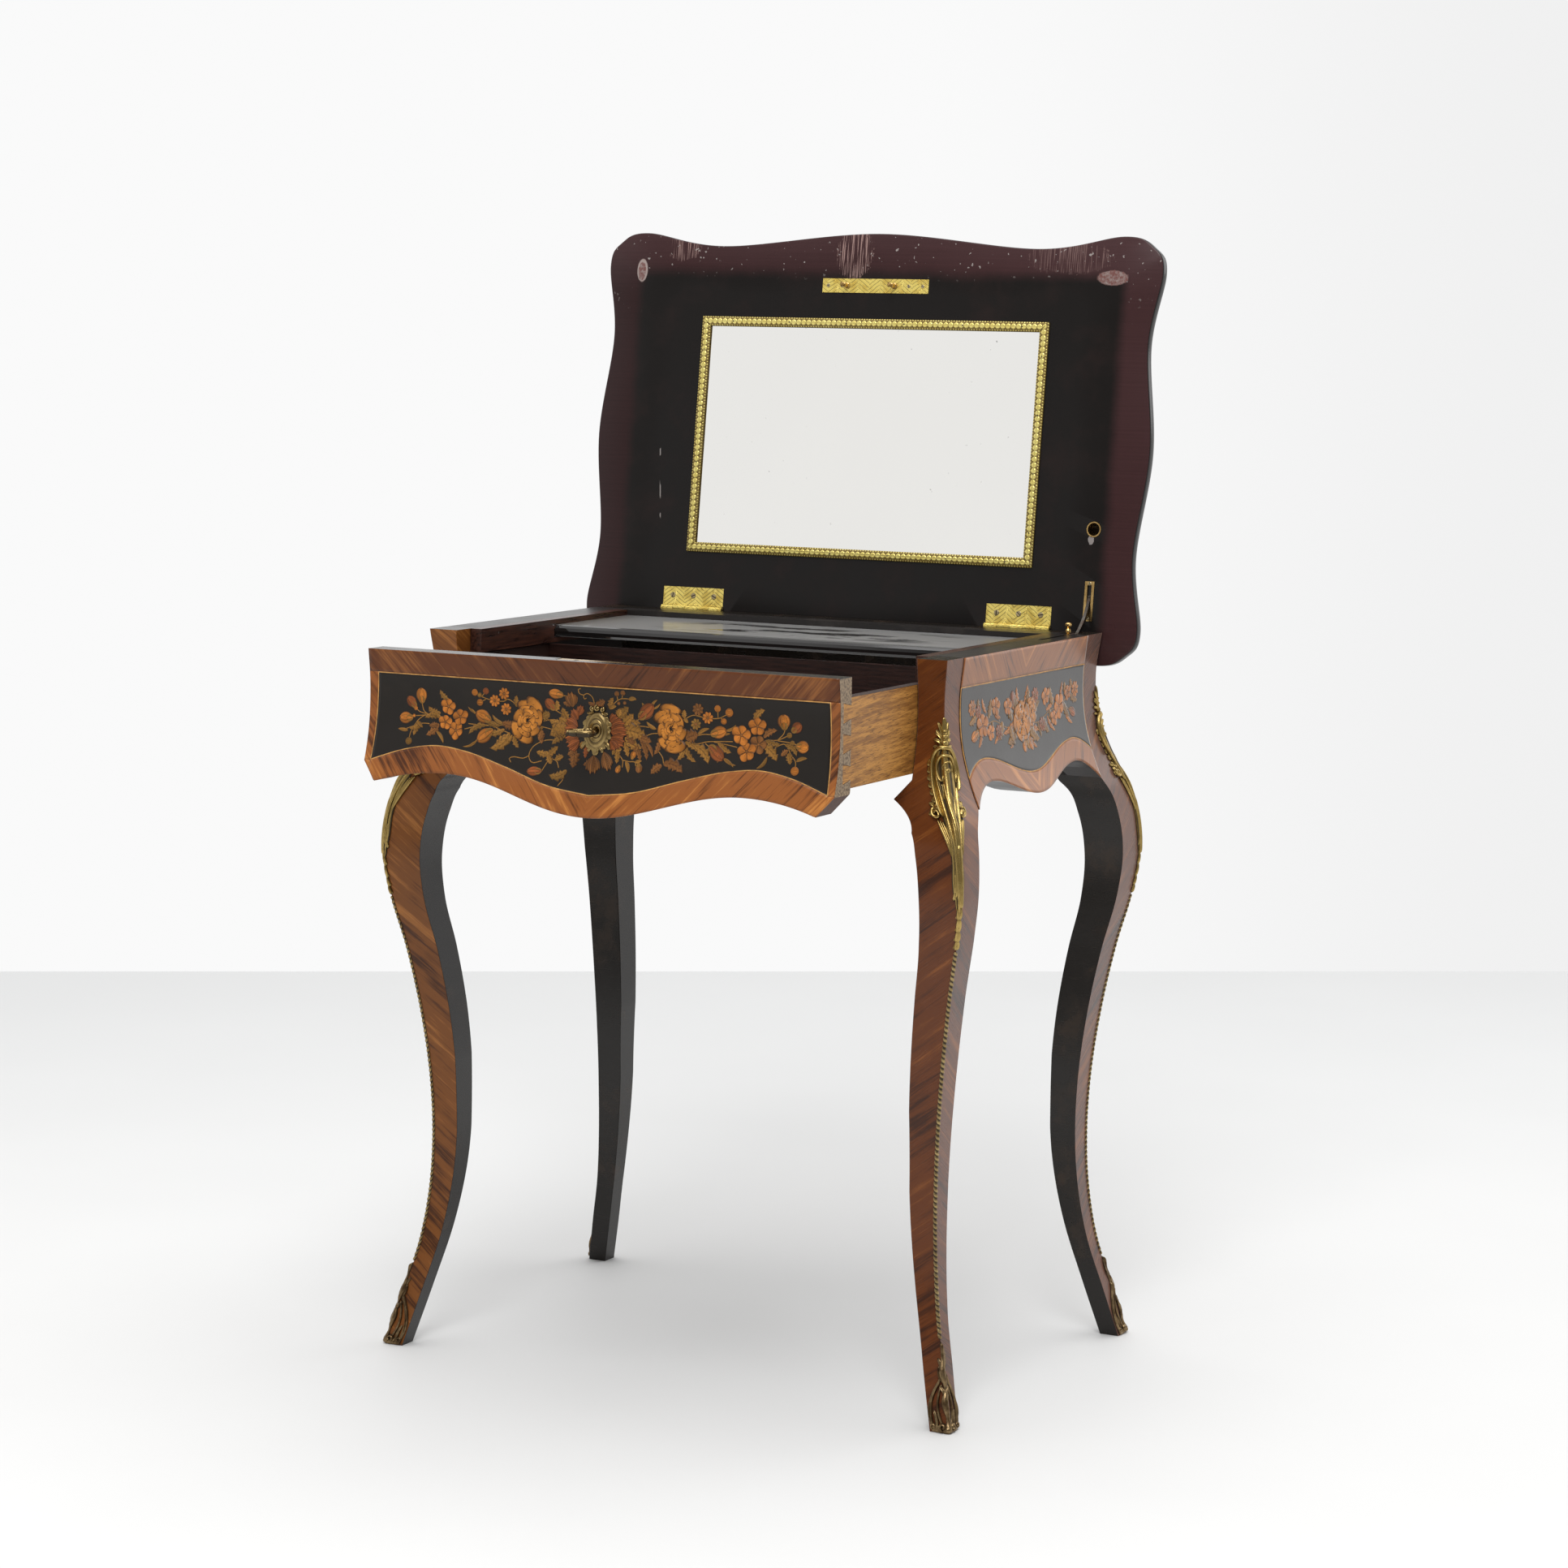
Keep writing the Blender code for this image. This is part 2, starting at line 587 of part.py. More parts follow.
def make_drawer(carrier, wood, oak):
    """Make the drawer's swept front, dovetailed sides, back, bottom and cross partition."""
    tip = CASE_WIDTH / 2 - EAR_REACH - DRAWER_GAP
    columns = np.concatenate(((-DRAWER_HALF,), np.linspace(-tip, tip, APRON_STEPS + 9), (DRAWER_HALF,)))
    rings = []
    for x in columns:
        section = wall_section(drawer_edge(x), DRAWER_TOP, DRAWER_FRONT_THICKNESS)
        rings.append([(x, DRAWER_FACE - out, z) for out, z in section])
    front = piece("drawer_front", loft(rings), wood, carrier)
    shade_round(front)

    outer = DRAWER_HALF - SEAT_GAP
    inner = outer - DRAWER_SIDE_THICKNESS
    bottom_low = SIDE_BOTTOM + DRAWER_BOTTOM_RISE
    bottom_high = bottom_low + DRAWER_BOTTOM_THICKNESS
    groove_x = inner + DRAWER_GROOVE
    groove_front = DRAWER_INSIDE - DRAWER_GROOVE
    for side, right in SIDES.items():
        shoulder = DRAWER_INSIDE + SEAT_GAP
        outline = [(shoulder, SIDE_BOTTOM), *sum(dovetails(0.0, shoulder), []), (shoulder, SIDE_TOP),
                   (DRAWER_REAR, SIDE_TOP), (DRAWER_REAR, SIDE_BOTTOM)]
        faces = sorted((right * inner, right * outer))
        board = piece(f"drawer_side_{side}", prism(outline, *faces), oak, carrier)
        ends = sorted((right * (inner - SEAT_GAP), right * (DRAWER_HALF + DRAWER_SIDE_THICKNESS)))
        for socket in dovetails(SEAT_GAP, DRAWER_INSIDE + DRAWER_SIDE_THICKNESS):
            carve(front, prism(socket, *ends))
        groove = mirrored_box(right, (inner - DRAWER_GROOVE, groove_front, bottom_low - SEAT_GAP),
                              (groove_x, DRAWER_REAR + DRAWER_GROOVE, bottom_high + SEAT_GAP))
        carve(board, groove)
    carve(front, box((-groove_x, groove_front, bottom_low - SEAT_GAP),
                     (groove_x, DRAWER_INSIDE + DRAWER_GROOVE, bottom_high + SEAT_GAP)))
    span = groove_x - SEAT_GAP
    piece("drawer_bottom", box((-span, groove_front + SEAT_GAP, bottom_low),
                               (span, DRAWER_REAR, bottom_high)), oak, carrier)
    width = inner - SEAT_GAP
    floor = bottom_high + SEAT_GAP
    piece("drawer_back", box((-width, DRAWER_REAR - DRAWER_BACK_THICKNESS, floor),
                             (width, DRAWER_REAR, SIDE_TOP - SEAT_GAP)), oak, carrier)
    partition_y = DRAWER_INSIDE + PARTITION_SETBACK
    piece("drawer_partition", box((-width, partition_y, floor),
                                  (width, partition_y + PARTITION_THICKNESS, floor + PARTITION_HEIGHT)),
          oak, carrier)
    return front


def keyhole(y0, y1):
    """Return the keyhole's round and slot as two cutting solids along Y."""
    radius = KEY_SHANK_RADIUS + 2 * RUN_CLEARANCE
    half = KEY_BIT_HALF + RUN_CLEARANCE
    slot = box((-half, y0, KEY_Z - KEY_BIT_REACH), (half, y1, KEY_Z))
    return turned(((radius, y0), (radius, y1)), 1, (0.0, 0.0, KEY_Z)), slot


def make_lock(carrier, bolt_carrier, front, brass, steel):
    """Make the lock let into the drawer front: case, top plate and sliding bolt."""
    back = DRAWER_INSIDE - SEAT_GAP
    near = back - LOCK_DEPTH
    lip = near - LOCK_WALL / 2
    top = DRAWER_TOP - SEAT_GAP
    plate_low = top - SELVEDGE_THICKNESS
    case_top = plate_low - SEAT_GAP
    floor = DRAWER_TOP - LOCK_HEIGHT
    left, right = LOCK_X - LOCK_HALF_WIDTH, LOCK_X + LOCK_HALF_WIDTH
    above = DRAWER_TOP + LOCK_DEPTH
    behind = back + LOCK_DEPTH
    carve(front,
          box((left - SEAT_GAP, near - SEAT_GAP, floor - SEAT_GAP), (right + SEAT_GAP, behind, above)),
          box((LOCK_X - SELVEDGE_HALF_WIDTH - SEAT_GAP, lip - SEAT_GAP, plate_low - SEAT_GAP),
              (LOCK_X + SELVEDGE_HALF_WIDTH + SEAT_GAP, behind + LOCK_WALL, above + LOCK_WALL)),
          *keyhole(DRAWER_FACE - DRAWER_FRONT_THICKNESS, near + LOCK_WALL / 2))

    case = piece("lock_case", box((left, near, floor), (right, back, case_top)), steel, carrier)
    room = near + LOCK_WALL, back - LOCK_WALL
    carve(case, box((left + LOCK_WALL, room[0], floor + LOCK_WALL), (right - LOCK_WALL, room[1], above)),
          *keyhole(near - LOCK_WALL, near + 2 * LOCK_WALL))

    plate = piece("lock_selvedge", box((LOCK_X - SELVEDGE_HALF_WIDTH, lip, plate_low),
                                       (LOCK_X + SELVEDGE_HALF_WIDTH, back, top)), brass, carrier)
    studs = [LOCK_X + side * STUD_SPACING / 2 for side in SIDES.values()]
    hole = STUD_RADIUS + RUN_CLEARANCE
    for x in studs:
        carve(plate, turned(((hole, plate_low - LOCK_WALL), (hole, above)), 2, (x, STUD_Y, 0.0)))

    bolt_high = DRAWER_TOP - BOLT_DROP + BOLT_THICKNESS
    bolt_low = bolt_high - BOLT_THICKNESS
    slot_half = STUD_NECK_RADIUS + RUN_CLEARANCE
    slot_end = BOLT_TRAVEL + slot_half
    lane = room[0] + RUN_CLEARANCE, room[1] - RUN_CLEARANCE
    bolt = piece("lock_bolt", box((studs[0] - slot_end - BOLT_THICKNESS, lane[0], bolt_low),
                                  (studs[1] + BOLT_END, lane[1], bolt_high)), steel, bolt_carrier)
    talon_low = KEY_Z + KEY_BIT_REACH - RUN_CLEARANCE
    talon_high = KEY_Z + KEY_BIT_REACH + TALON_CLEARANCE
    tail_y = (lane[0] + BOLT_THICKNESS, lane[0] + 2 * BOLT_THICKNESS)
    notch = (-BOLT_TRAVEL - KEY_BIT_HALF - 2 * TALON_CLEARANCE, -BOLT_TRAVEL + KEY_BIT_HALF + TALON_CLEARANCE)
    fuse(bolt, box((notch[0] - KEY_BIT_LENGTH, tail_y[0], talon_low),
                   (KEY_BIT_LENGTH, tail_y[1], bolt_low + BOLT_THICKNESS / 2)))
    carve(bolt, box((notch[0], lane[0], talon_low - LOCK_WALL), (notch[1], lane[1], talon_high)))
    for x in studs:
        under, over = bolt_low - LOCK_WALL, bolt_high + LOCK_WALL
        carve(bolt, turned(((hole, under), (hole, over)), 2, (x, STUD_Y, 0.0)),
              box((x - slot_end, STUD_Y - slot_half, under), (x, STUD_Y + slot_half, over)))
    return room


def make_key(carrier, room, brass):
    """Make the key about its own axis: bow, collared shank and bit."""
    face = DRAWER_FACE - float(sweep(KEY_Z))
    bow = DRAWER_FACE - KEY_BOW_OUT
    neck = bow + KEY_BOW_HALF_LENGTH
    shank = KEY_SHANK_RADIUS
    collar = 1.5 * shank
    tip = room[1] - RUN_CLEARANCE
    collar_y = face - ESCUTCHEON_DOME - ESCUTCHEON_THICKNESS
    profile = ((shank, neck - shank), (shank, neck + shank / 2), (collar, neck + shank),
               (collar, neck + 1.5 * shank), (shank, neck + 2 * shank), (shank, collar_y), (shank, tip))
    key = piece("key", turned(profile, 1, (0.0, 0.0, 0.0)), brass, carrier)
    half = shank * 0.6
    rings = []
    for scale, z in ((1.0, -half), (1.0, half), (0.55, half), (0.55, -half)):
        ring = circle(1.0) * (KEY_BOW_HALF_WIDTH * scale, KEY_BOW_HALF_LENGTH * scale) + (0.0, bow)
        rings.append([(x, y, z) for x, y in ring])
    bit_y = room[0] + RUN_CLEARANCE
    bit = box((-KEY_BIT_REACH, bit_y, -KEY_BIT_HALF), (0.0, bit_y + KEY_BIT_LENGTH, KEY_BIT_HALF))
    fuse(key, loft(rings, cyclic=True), bit)
    shade_round(key)


def make_escutcheon(carrier, gilt):
    """Make the domed cartouche that frames the keyhole and follows the swept drawer face."""
    angle = np.arange(2 * ROUND) * math.pi / ROUND
    scallop = 1.0 + 0.07 * np.cos(6 * angle) + 0.05 * np.sin(3 * angle)
    hole = KEY_SHANK_RADIUS + 3 * RUN_CLEARANCE
    rings = []
    for share, lift in ((0.0, 0.5), (0.35, 1.0), (0.62, 0.55), (1.0, 0.0), (1.0, None), (0.0, None)):
        x = np.cos(angle) * (hole + share * (ESCUTCHEON_HALF_WIDTH * scallop - hole))
        z = KEY_Z + np.sin(angle) * (hole + share * (ESCUTCHEON_HALF_HEIGHT * scallop - hole))
        out = DRAWER_FACE - sweep(z) - 2 * SEAT_GAP
        if lift is not None:
            out = out - ESCUTCHEON_THICKNESS - lift * ESCUTCHEON_DOME
        rings.append(np.column_stack((x, out, z)))
    shade_round(piece("escutcheon", loft(rings, cyclic=True), gilt, carrier))


def lid_outline():
    """Return the lid's serpentine outline and its outward normals, about the lid's own centre."""
    wide, deep = LID_HALF_WIDTH, LID_HALF_DEPTH
    quarter = [(0.0, deep), (wide - LID_WAIST_INSET, deep - LID_WAIST_SINK),
               (wide - LID_CREST_INSET, deep - LID_CREST_SINK),
               (wide - LID_CORNER_SINK, deep - LID_CORNER_SINK), (wide, deep - LID_SIDE_CREST_INSET),
               (wide - LID_SIDE_SINK, deep - LID_SIDE_WAIST_INSET), (wide - LID_SIDE_CENTRE_SINK, 0.0)]
    points = quarter + [(x, -y) for x, y in quarter[-2::-1]]
    points = np.array(points + [(-x, y) for x, y in points[-2:0:-1]])
    before, after, beyond = (np.roll(points, -shift, axis=0) for shift in (-1, 1, 2))
    rows = []
    for t in np.arange(LID_OUTLINE_STEPS) / LID_OUTLINE_STEPS:
        slope, next_slope = (after - before) / 2, (beyond - points) / 2
        rows.append((1 + 2 * t) * (1 - t) ** 2 * points + t * (1 - t) ** 2 * slope
                    + t * t * (3 - 2 * t) * after - t * t * (1 - t) * next_slope)
    curve = np.stack(rows, axis=1).reshape(-1, 2)
    along = np.roll(curve, -1, axis=0) - np.roll(curve, 1, axis=0)
    normal = np.column_stack((-along[:, 1], along[:, 0]))
    normal /= np.linalg.norm(normal, axis=1, keepdims=True)
    return curve, normal


def lid_box(x0, x1, near, far, low, high):
    """Return a box on the closed lid: reach from the hinge axis, height above the lid's inner face."""
    return box((x0, -far, LID_FACE_RISE + low), (x1, -near, LID_FACE_RISE + high))


def make_lid(carrier, wood, gilt, glass):
    """Make the lid board, its mirror, the mirror's strips, strike plate and studs."""
    curve, normal = lid_outline()
    rings = []
    for inset, height in LID_EDGE:
        flat = curve - normal * inset - (0.0, AXIS_Y)
        rings.append(np.column_stack((flat, np.full(len(flat), LID_FACE_RISE + height))))
    lid = piece("lid_board", loft(rings), wood, carrier)
    shade_round(lid)

    tuck_x = FRAME_HALF_WIDTH - FRAME_STRIP + MIRROR_TUCK
    near, far = FRAME_NEAR + FRAME_STRIP - MIRROR_TUCK, FRAME_FAR - FRAME_STRIP + MIRROR_TUCK
    carve(lid, lid_box(-tuck_x - SEAT_GAP, tuck_x + SEAT_GAP, near - SEAT_GAP, far + SEAT_GAP,
                       -LID_THICKNESS / 2, MIRROR_RECESS))
    glass_high = MIRROR_RECESS - SEAT_GAP
    glass_low = glass_high - MIRROR_THICKNESS
    piece("mirror_glass", lid_box(-tuck_x, tuck_x, near, far, glass_low, glass_high), glass, carrier)

    middle = (FRAME_NEAR + FRAME_FAR) / 2
    half_depth = (FRAME_FAR - FRAME_NEAR) / 2
    section = ((0.0, 0.0), (0.0, 0.4), (0.2, 0.85), (0.5, 1.0), (0.8, 0.85), (1.0, 0.4), (1.0, 0.0))
    strips = {"top": (FRAME_HALF_WIDTH, half_depth, 0, -1.0),
              "bottom": (FRAME_HALF_WIDTH, half_depth, 0, 1.0),
              "left": (half_depth, FRAME_HALF_WIDTH, 1, -1.0),
              "right": (half_depth, FRAME_HALF_WIDTH, 1, 1.0)}
    for name, (length, reach, axis, sign) in strips.items():
        rings = []
        for end in (-1.0, 1.0):
            ring = []
            for inward, rise in section:
                step = inward * FRAME_STRIP
                along = end * (length - step - SEAT_GAP)
                across = sign * (reach - step)
                x, y = (along, across) if axis == 0 else (across, along)
                ring.append((x, y - middle, LID_FACE_RISE - SEAT_GAP - rise * FRAME_HEIGHT))
            rings.append(ring)
        piece(f"mirror_frame_{name}", loft(rings), gilt, carrier)

    plate_high = PLATE_THICKNESS - PLATE_PROUD
    carve(lid, lid_box(-STRIKE_HALF_WIDTH - SEAT_GAP, STRIKE_HALF_WIDTH + SEAT_GAP, STRIKE_NEAR - SEAT_GAP,
                       STRIKE_FAR + SEAT_GAP, -LID_THICKNESS / 2, plate_high + SEAT_GAP))
    piece("strike_plate", lid_box(-STRIKE_HALF_WIDTH, STRIKE_HALF_WIDTH, STRIKE_NEAR, STRIKE_FAR,
                                  -PLATE_PROUD, plate_high), gilt, carrier)
    base = LID_FACE_RISE - PLATE_PROUD - SEAT_GAP
    tip = LID_FACE_RISE - STUD_LENGTH
    neck_high = DRAWER_TOP - BOLT_DROP + BOLT_THICKNESS + 2 * RUN_CLEARANCE - AXIS_Z
    neck_low = DRAWER_TOP - BOLT_DROP - 2 * RUN_CLEARANCE - AXIS_Z
    profile = ((STUD_RADIUS * 1.4, base), (STUD_RADIUS * 1.4, base - PLATE_THICKNESS),
               (STUD_RADIUS, base - 1.5 * PLATE_THICKNESS), (STUD_RADIUS, neck_high + STUD_NECK_RADIUS / 2),
               (STUD_NECK_RADIUS, neck_high), (STUD_NECK_RADIUS, neck_low),
               (STUD_RADIUS, neck_low - STUD_NECK_RADIUS / 2), (STUD_RADIUS * 0.6, tip))
    for name, side in SIDES.items():
        stud = turned(profile, 2, (LOCK_X + side * STUD_SPACING / 2, -STUD_REACH, 0.0), 12)
        shade_round(piece(f"strike_stud_{name}", stud, gilt, carrier))
    return lid


def hinge_leaf(name, outline, start, parity, notch, axis, material, parent):
    """Make a hinge leaf rolled into knuckles and notched where the other leaf's knuckles run.

    The notch is given by its low and high corners in Y and Z.
    """
    leaf = piece(name, prism(outline, start, start + HINGE_LENGTH), material, parent)
    pitch = HINGE_LENGTH / KNUCKLE_COUNT
    (y0, z0), (y1, z1) = notch
    for k in range(KNUCKLE_COUNT):
        if k % 2 != parity:
            x0 = start + k * pitch - (pitch if k == 0 else SEAT_GAP / 2)
            x1 = start + (k + 1) * pitch + (pitch if k == KNUCKLE_COUNT - 1 else SEAT_GAP / 2)
            carve(leaf, box((x0, y0, z0), (x1, y1, z1)))
    ends = start - pitch, start + HINGE_LENGTH + pitch
    carve(leaf, turned([(KNUCKLE_BORE, x) for x in ends], 0, (0.0, *axis), 12))


def make_hinges(parent, carrier, lid, gilt, steel):
    """Make the two butt hinges: lid leaf, case leaf and pin, with alternating knuckles."""
    radius = KNUCKLE_RADIUS
    clear = radius + RUN_CLEARANCE
    low = radius - LEAF_THICKNESS
    lid_turn = np.linspace(math.pi / 2, -math.pi - math.asin(low / radius), 11)
    lid_plan = [(-HINGE_LEAF, low), (-HINGE_LEAF, radius)]
    lid_plan += [(radius * math.cos(a), radius * math.sin(a)) for a in lid_turn]
    foot = AXIS_Z - HINGE_LEAF
    front = AXIS_Y - radius - HINGE_LEAF * math.tan(CASE_LEAF_TILT)
    case_turn = np.linspace(math.pi, math.acos(low / radius) - math.pi - CASE_LEAF_TILT, 11)
    case_plan = [(front + LEAF_THICKNESS, foot), (front, foot)]
    case_plan += [(AXIS_Y + radius * math.cos(a), AXIS_Z + radius * math.sin(a)) for a in case_turn]
    for name, right in SIDES.items():
        start = HINGE_INNER_X if right > 0 else -HINGE_INNER_X - HINGE_LENGTH
        end = start + HINGE_LENGTH
        carve(lid, box((start - SEAT_GAP, -HINGE_LEAF - SEAT_GAP, -radius),
                       (end + SEAT_GAP, clear, radius + SEAT_GAP)))
        hinge_leaf(f"hinge_lid_leaf_{name}", lid_plan, start, 1,
                   ((-clear, -clear), (clear, clear)), (0.0, 0.0), gilt, carrier)
        hinge_leaf(f"hinge_case_leaf_{name}", case_plan, start, 0,
                   ((AXIS_Y - 2 * radius, AXIS_Z - clear), (AXIS_Y + 2 * radius, AXIS_Z + 2 * radius)),
                   (AXIS_Y, AXIS_Z), gilt, parent)
        pin = turned(((HINGE_PIN_RADIUS, start), (HINGE_PIN_RADIUS, end)), 0, (0.0, AXIS_Y, AXIS_Z), 12)
        shade_round(piece(f"hinge_pin_{name}", pin, steel, parent))


def stay_places():
    """Return the arm's length, its end's place with the lid shut and open, and its turns in the lid."""
    pivot = np.array((-STAY_PIVOT_REACH, LID_FACE_RISE + STAY_PIVOT_DEPTH))
    end_z = CASE_HEIGHT - STAY_END_DROP
    shut = np.array((AXIS_Y, AXIS_Z)) + pivot
    shut_y = AXIS_Y - BUSH_REACH + KNOB_OFFSET
    length = math.hypot(shut[0] - shut_y, shut[1] - end_z)
    cos, sin = math.cos(LID_OPENING), math.sin(LID_OPENING)
    opened = np.array((AXIS_Y + pivot[0] * cos + pivot[1] * sin, AXIS_Z - pivot[0] * sin + pivot[1] * cos))
    rise = opened[1] - end_z
    open_y = opened[0] - math.sqrt(length ** 2 - rise ** 2)
    turn_open = math.asin(rise / length) + LID_OPENING
    turn_shut = math.asin((shut[1] - end_z) / length)
    return length, shut_y, open_y, turn_open, turn_shut


def make_stay(parent, lid_carrier, lid, walls, legs, gilt, steel):
    """Make the lid stay: slotted plate, pin, bowed arm, sliding knob and the bush that takes the knob."""
    length, shut_y, open_y, turn_open, turn_shut = stay_places()
    left, right = STAY_X - STAY_PLATE_HALF, STAY_X + STAY_PLATE_HALF
    plate_high = LEAF_THICKNESS - PLATE_PROUD
    slot_half = STAY_ARM_THICKNESS / 2 + 2 * RUN_CLEARANCE
    slot = (STAY_X - slot_half, STAY_X + slot_half, STAY_SLOT_NEAR, STAY_SLOT_FAR)
    pin_x = (STAY_X - STAY_PIN_LENGTH / 2, STAY_X + STAY_PIN_LENGTH / 2)
    pin_room = STAY_PIN_RADIUS + SEAT_GAP
    carve(lid,
          lid_box(left - SEAT_GAP, right + SEAT_GAP, STAY_PLATE_NEAR - SEAT_GAP, STAY_PLATE_FAR + SEAT_GAP,
                  -LID_THICKNESS / 2, plate_high + SEAT_GAP),
          lid_box(*slot, -LID_THICKNESS / 2, STAY_POCKET),
          lid_box(pin_x[0] - SEAT_GAP, pin_x[1] + SEAT_GAP, STAY_PIVOT_REACH - pin_room,
                  STAY_PIVOT_REACH + pin_room, 0.0, STAY_PIVOT_DEPTH + pin_room))
    plate = piece("stay_plate", lid_box(left, right, STAY_PLATE_NEAR, STAY_PLATE_FAR,
                                        -PLATE_PROUD, plate_high), gilt, lid_carrier)
    carve(plate, lid_box(*slot, -LID_THICKNESS / 2, LID_THICKNESS / 2))
    pivot = (-STAY_PIVOT_REACH, LID_FACE_RISE + STAY_PIVOT_DEPTH)
    pin = turned(((STAY_PIN_RADIUS, pin_x[0]), (STAY_PIN_RADIUS, pin_x[1])), 0, (0.0, *pivot), 12)
    shade_round(piece("stay_pin", pin, steel, lid_carrier))

    arm_carrier = empty("stay_pivot", lid_carrier, (STAY_X, *pivot), turn_open)
    half = STAY_ARM_HALF
    share = np.linspace(0.0, 1.0, 11)
    spine = np.column_stack((-share * length, -4 * STAY_ARM_BOW * share * (1 - share)))
    tangent = np.gradient(spine, axis=0)
    tangent /= np.linalg.norm(tangent, axis=1, keepdims=True)
    across = np.column_stack((tangent[:, 1], -tangent[:, 0])) * half
    outline = np.vstack((spine[1:] + across[1:], (spine - across)[:0:-1]))
    cheeks = (-STAY_ARM_THICKNESS / 2, STAY_ARM_THICKNESS / 2)
    arm = piece("stay_arm", prism(outline, *cheeks), steel, arm_carrier)
    eye = turned([(STAY_EYE, x) for x in cheeks], 0, (0.0, 0.0, 0.0), 12)
    link = prism(np.vstack((spine[:2] + across[:2], (spine - across)[1::-1])), *cheeks)
    bore = turned([(STAY_PIN_RADIUS + SEAT_GAP, 2 * x) for x in cheeks], 0, (0.0, 0.0, 0.0), 12)
    fuse(arm, link, eye)
    carve(arm, bore)

    floor = CASE_HEIGHT - STAY_GROOVE_DEPTH
    groove = box((STAY_X - STAY_GROOVE_HALF, shut_y - KNOB_OFFSET - STAY_GROOVE_FRONT, floor),
                 (STAY_X + STAY_GROOVE_HALF, open_y + STAY_GROOVE_BACK, CASE_HEIGHT + KNOB_HEIGHT))
    carve(walls["right"], groove)
    carve(legs["back", "right"], groove.copy())

    knob_carrier = empty("stay_slide", parent, (STAY_X, open_y - KNOB_OFFSET, CASE_HEIGHT))
    shoe = STAY_GROOVE_HALF - SEAT_GAP
    sole = -STAY_GROOVE_DEPTH + SEAT_GAP
    knob = piece("stay_knob", box((-shoe, -SHOE_FRONT, sole), (shoe, SHOE_BACK, -SEAT_GAP)),
                 gilt, knob_carrier)
    turning = ((0.5, 0.1), (0.75, 0.2), (0.75, 0.35), (0.5, 0.5), (0.9, 0.75), (1.0, 0.9), (0.6, 1.0))
    profile = [(KNOB_RADIUS / 2, sole / 2)]
    profile += [(wide * KNOB_RADIUS, high * KNOB_HEIGHT) for wide, high in turning]
    fuse(knob, turned(profile, 2, (0.0, 0.0, 0.0), 12))
    shade_round(knob)

    mouth = BUSH_RADIUS + SEAT_GAP
    seat = LID_FACE_RISE + BUSH_DEPTH + SEAT_GAP
    carve(lid, turned(((mouth, seat - 2 * BUSH_DEPTH), (mouth, seat)), 2, (STAY_X, -BUSH_REACH, 0.0)))
    rings = []
    for radius, height in ((BUSH_RADIUS, -PLATE_PROUD), (BUSH_RADIUS, BUSH_DEPTH),
                           (BUSH_BORE, BUSH_DEPTH), (BUSH_BORE, -PLATE_PROUD)):
        ring = circle(radius) + (STAY_X, -BUSH_REACH)
        rings.append(np.column_stack((ring, np.full(len(ring), LID_FACE_RISE + height))))
    shade_round(piece("knob_bush", loft(rings, cyclic=True), gilt, lid_carrier))
    print("stay: knob slides %.5f m, arm turns %.4f rad in the lid, lid turns %.4f rad"
          % (open_y - shut_y, turn_open - turn_shut, LID_OPENING))


def make_table():
    """Build the whole table with its lid open and its drawer out."""
    for old in list(bpy.data.objects):
        bpy.data.objects.remove(old, do_unlink=True)

    kingwood = finish("kingwood", (0.30, 0.12, 0.05), 0.28)
    ebony = finish("ebonised wood", (0.012, 0.010, 0.010), 0.22)
    rosewood = finish("rosewood", (0.045, 0.018, 0.024), 0.30)
    oak = finish("oak", (0.42, 0.24, 0.10), 0.50)
    gilt = finish("gilt brass", (0.80, 0.56, 0.16), 0.25, 1.0)
    bronze = finish("worn gilt bronze", (0.42, 0.30, 0.12), 0.38, 1.0)
    steel = finish("steel", (0.35, 0.33, 0.30), 0.40, 1.0)
    glass = finish("mirror glass", (0.88, 0.89, 0.88), 0.04, 1.0)

    lean = LID_OPENING - math.pi / 2
    back_reach = AXIS_Y + LID_REACH * math.sin(lean) + LID_THICKNESS * math.cos(lean)
    front_reach = CASE_DEPTH / 2 + DRAWER_OUT + KEY_REACH
    table = empty("table", location=(0.0, (front_reach - back_reach) / 2, 0.0))
    lid_carrier = empty("lid_axis", table, (0.0, AXIS_Y, AXIS_Z), -LID_OPENING)
    drawer_carrier = empty("drawer_slide", table, (0.0, -DRAWER_OUT, 0.0))
    bolt_carrier = empty("bolt_slide", drawer_carrier)
    key_carrier = empty("key_axis", drawer_carrier, (0.0, 0.0, KEY_Z))

    legs = make_legs(table, kingwood)
    walls = make_walls(table, kingwood)
    make_inside(table, ebony, oak)
    make_mounts(table, gilt, bronze)
    front = make_drawer(drawer_carrier, kingwood, oak)
    room = make_lock(drawer_carrier, bolt_carrier, front, gilt, steel)
    make_key(key_carrier, room, bronze)
    make_escutcheon(drawer_carrier, bronze)
    lid = make_lid(lid_carrier, rosewood, gilt, glass)
    make_hinges(table, lid_carrier, lid, gilt, steel)
    make_stay(table, lid_carrier, lid, walls, legs, gilt, steel)
    print("table: origin shifted %.5f m along Y" % table.location.y)


make_table()
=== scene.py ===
"""Looks of a lift-lid dressing table: veneers, floral marquetry, gilt mounts, lid and fittings.

Metres, +Z up, the drawer towards -Y. Sizes repeat the part's own values in the case's frame, and
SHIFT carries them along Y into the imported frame.
"""
import functools
import logging
import math
from dataclasses import dataclass, field, replace
from enum import Enum
from typing import Any, Callable, Sequence

import bmesh
import bpy
import numpy as np
from mathutils import Matrix


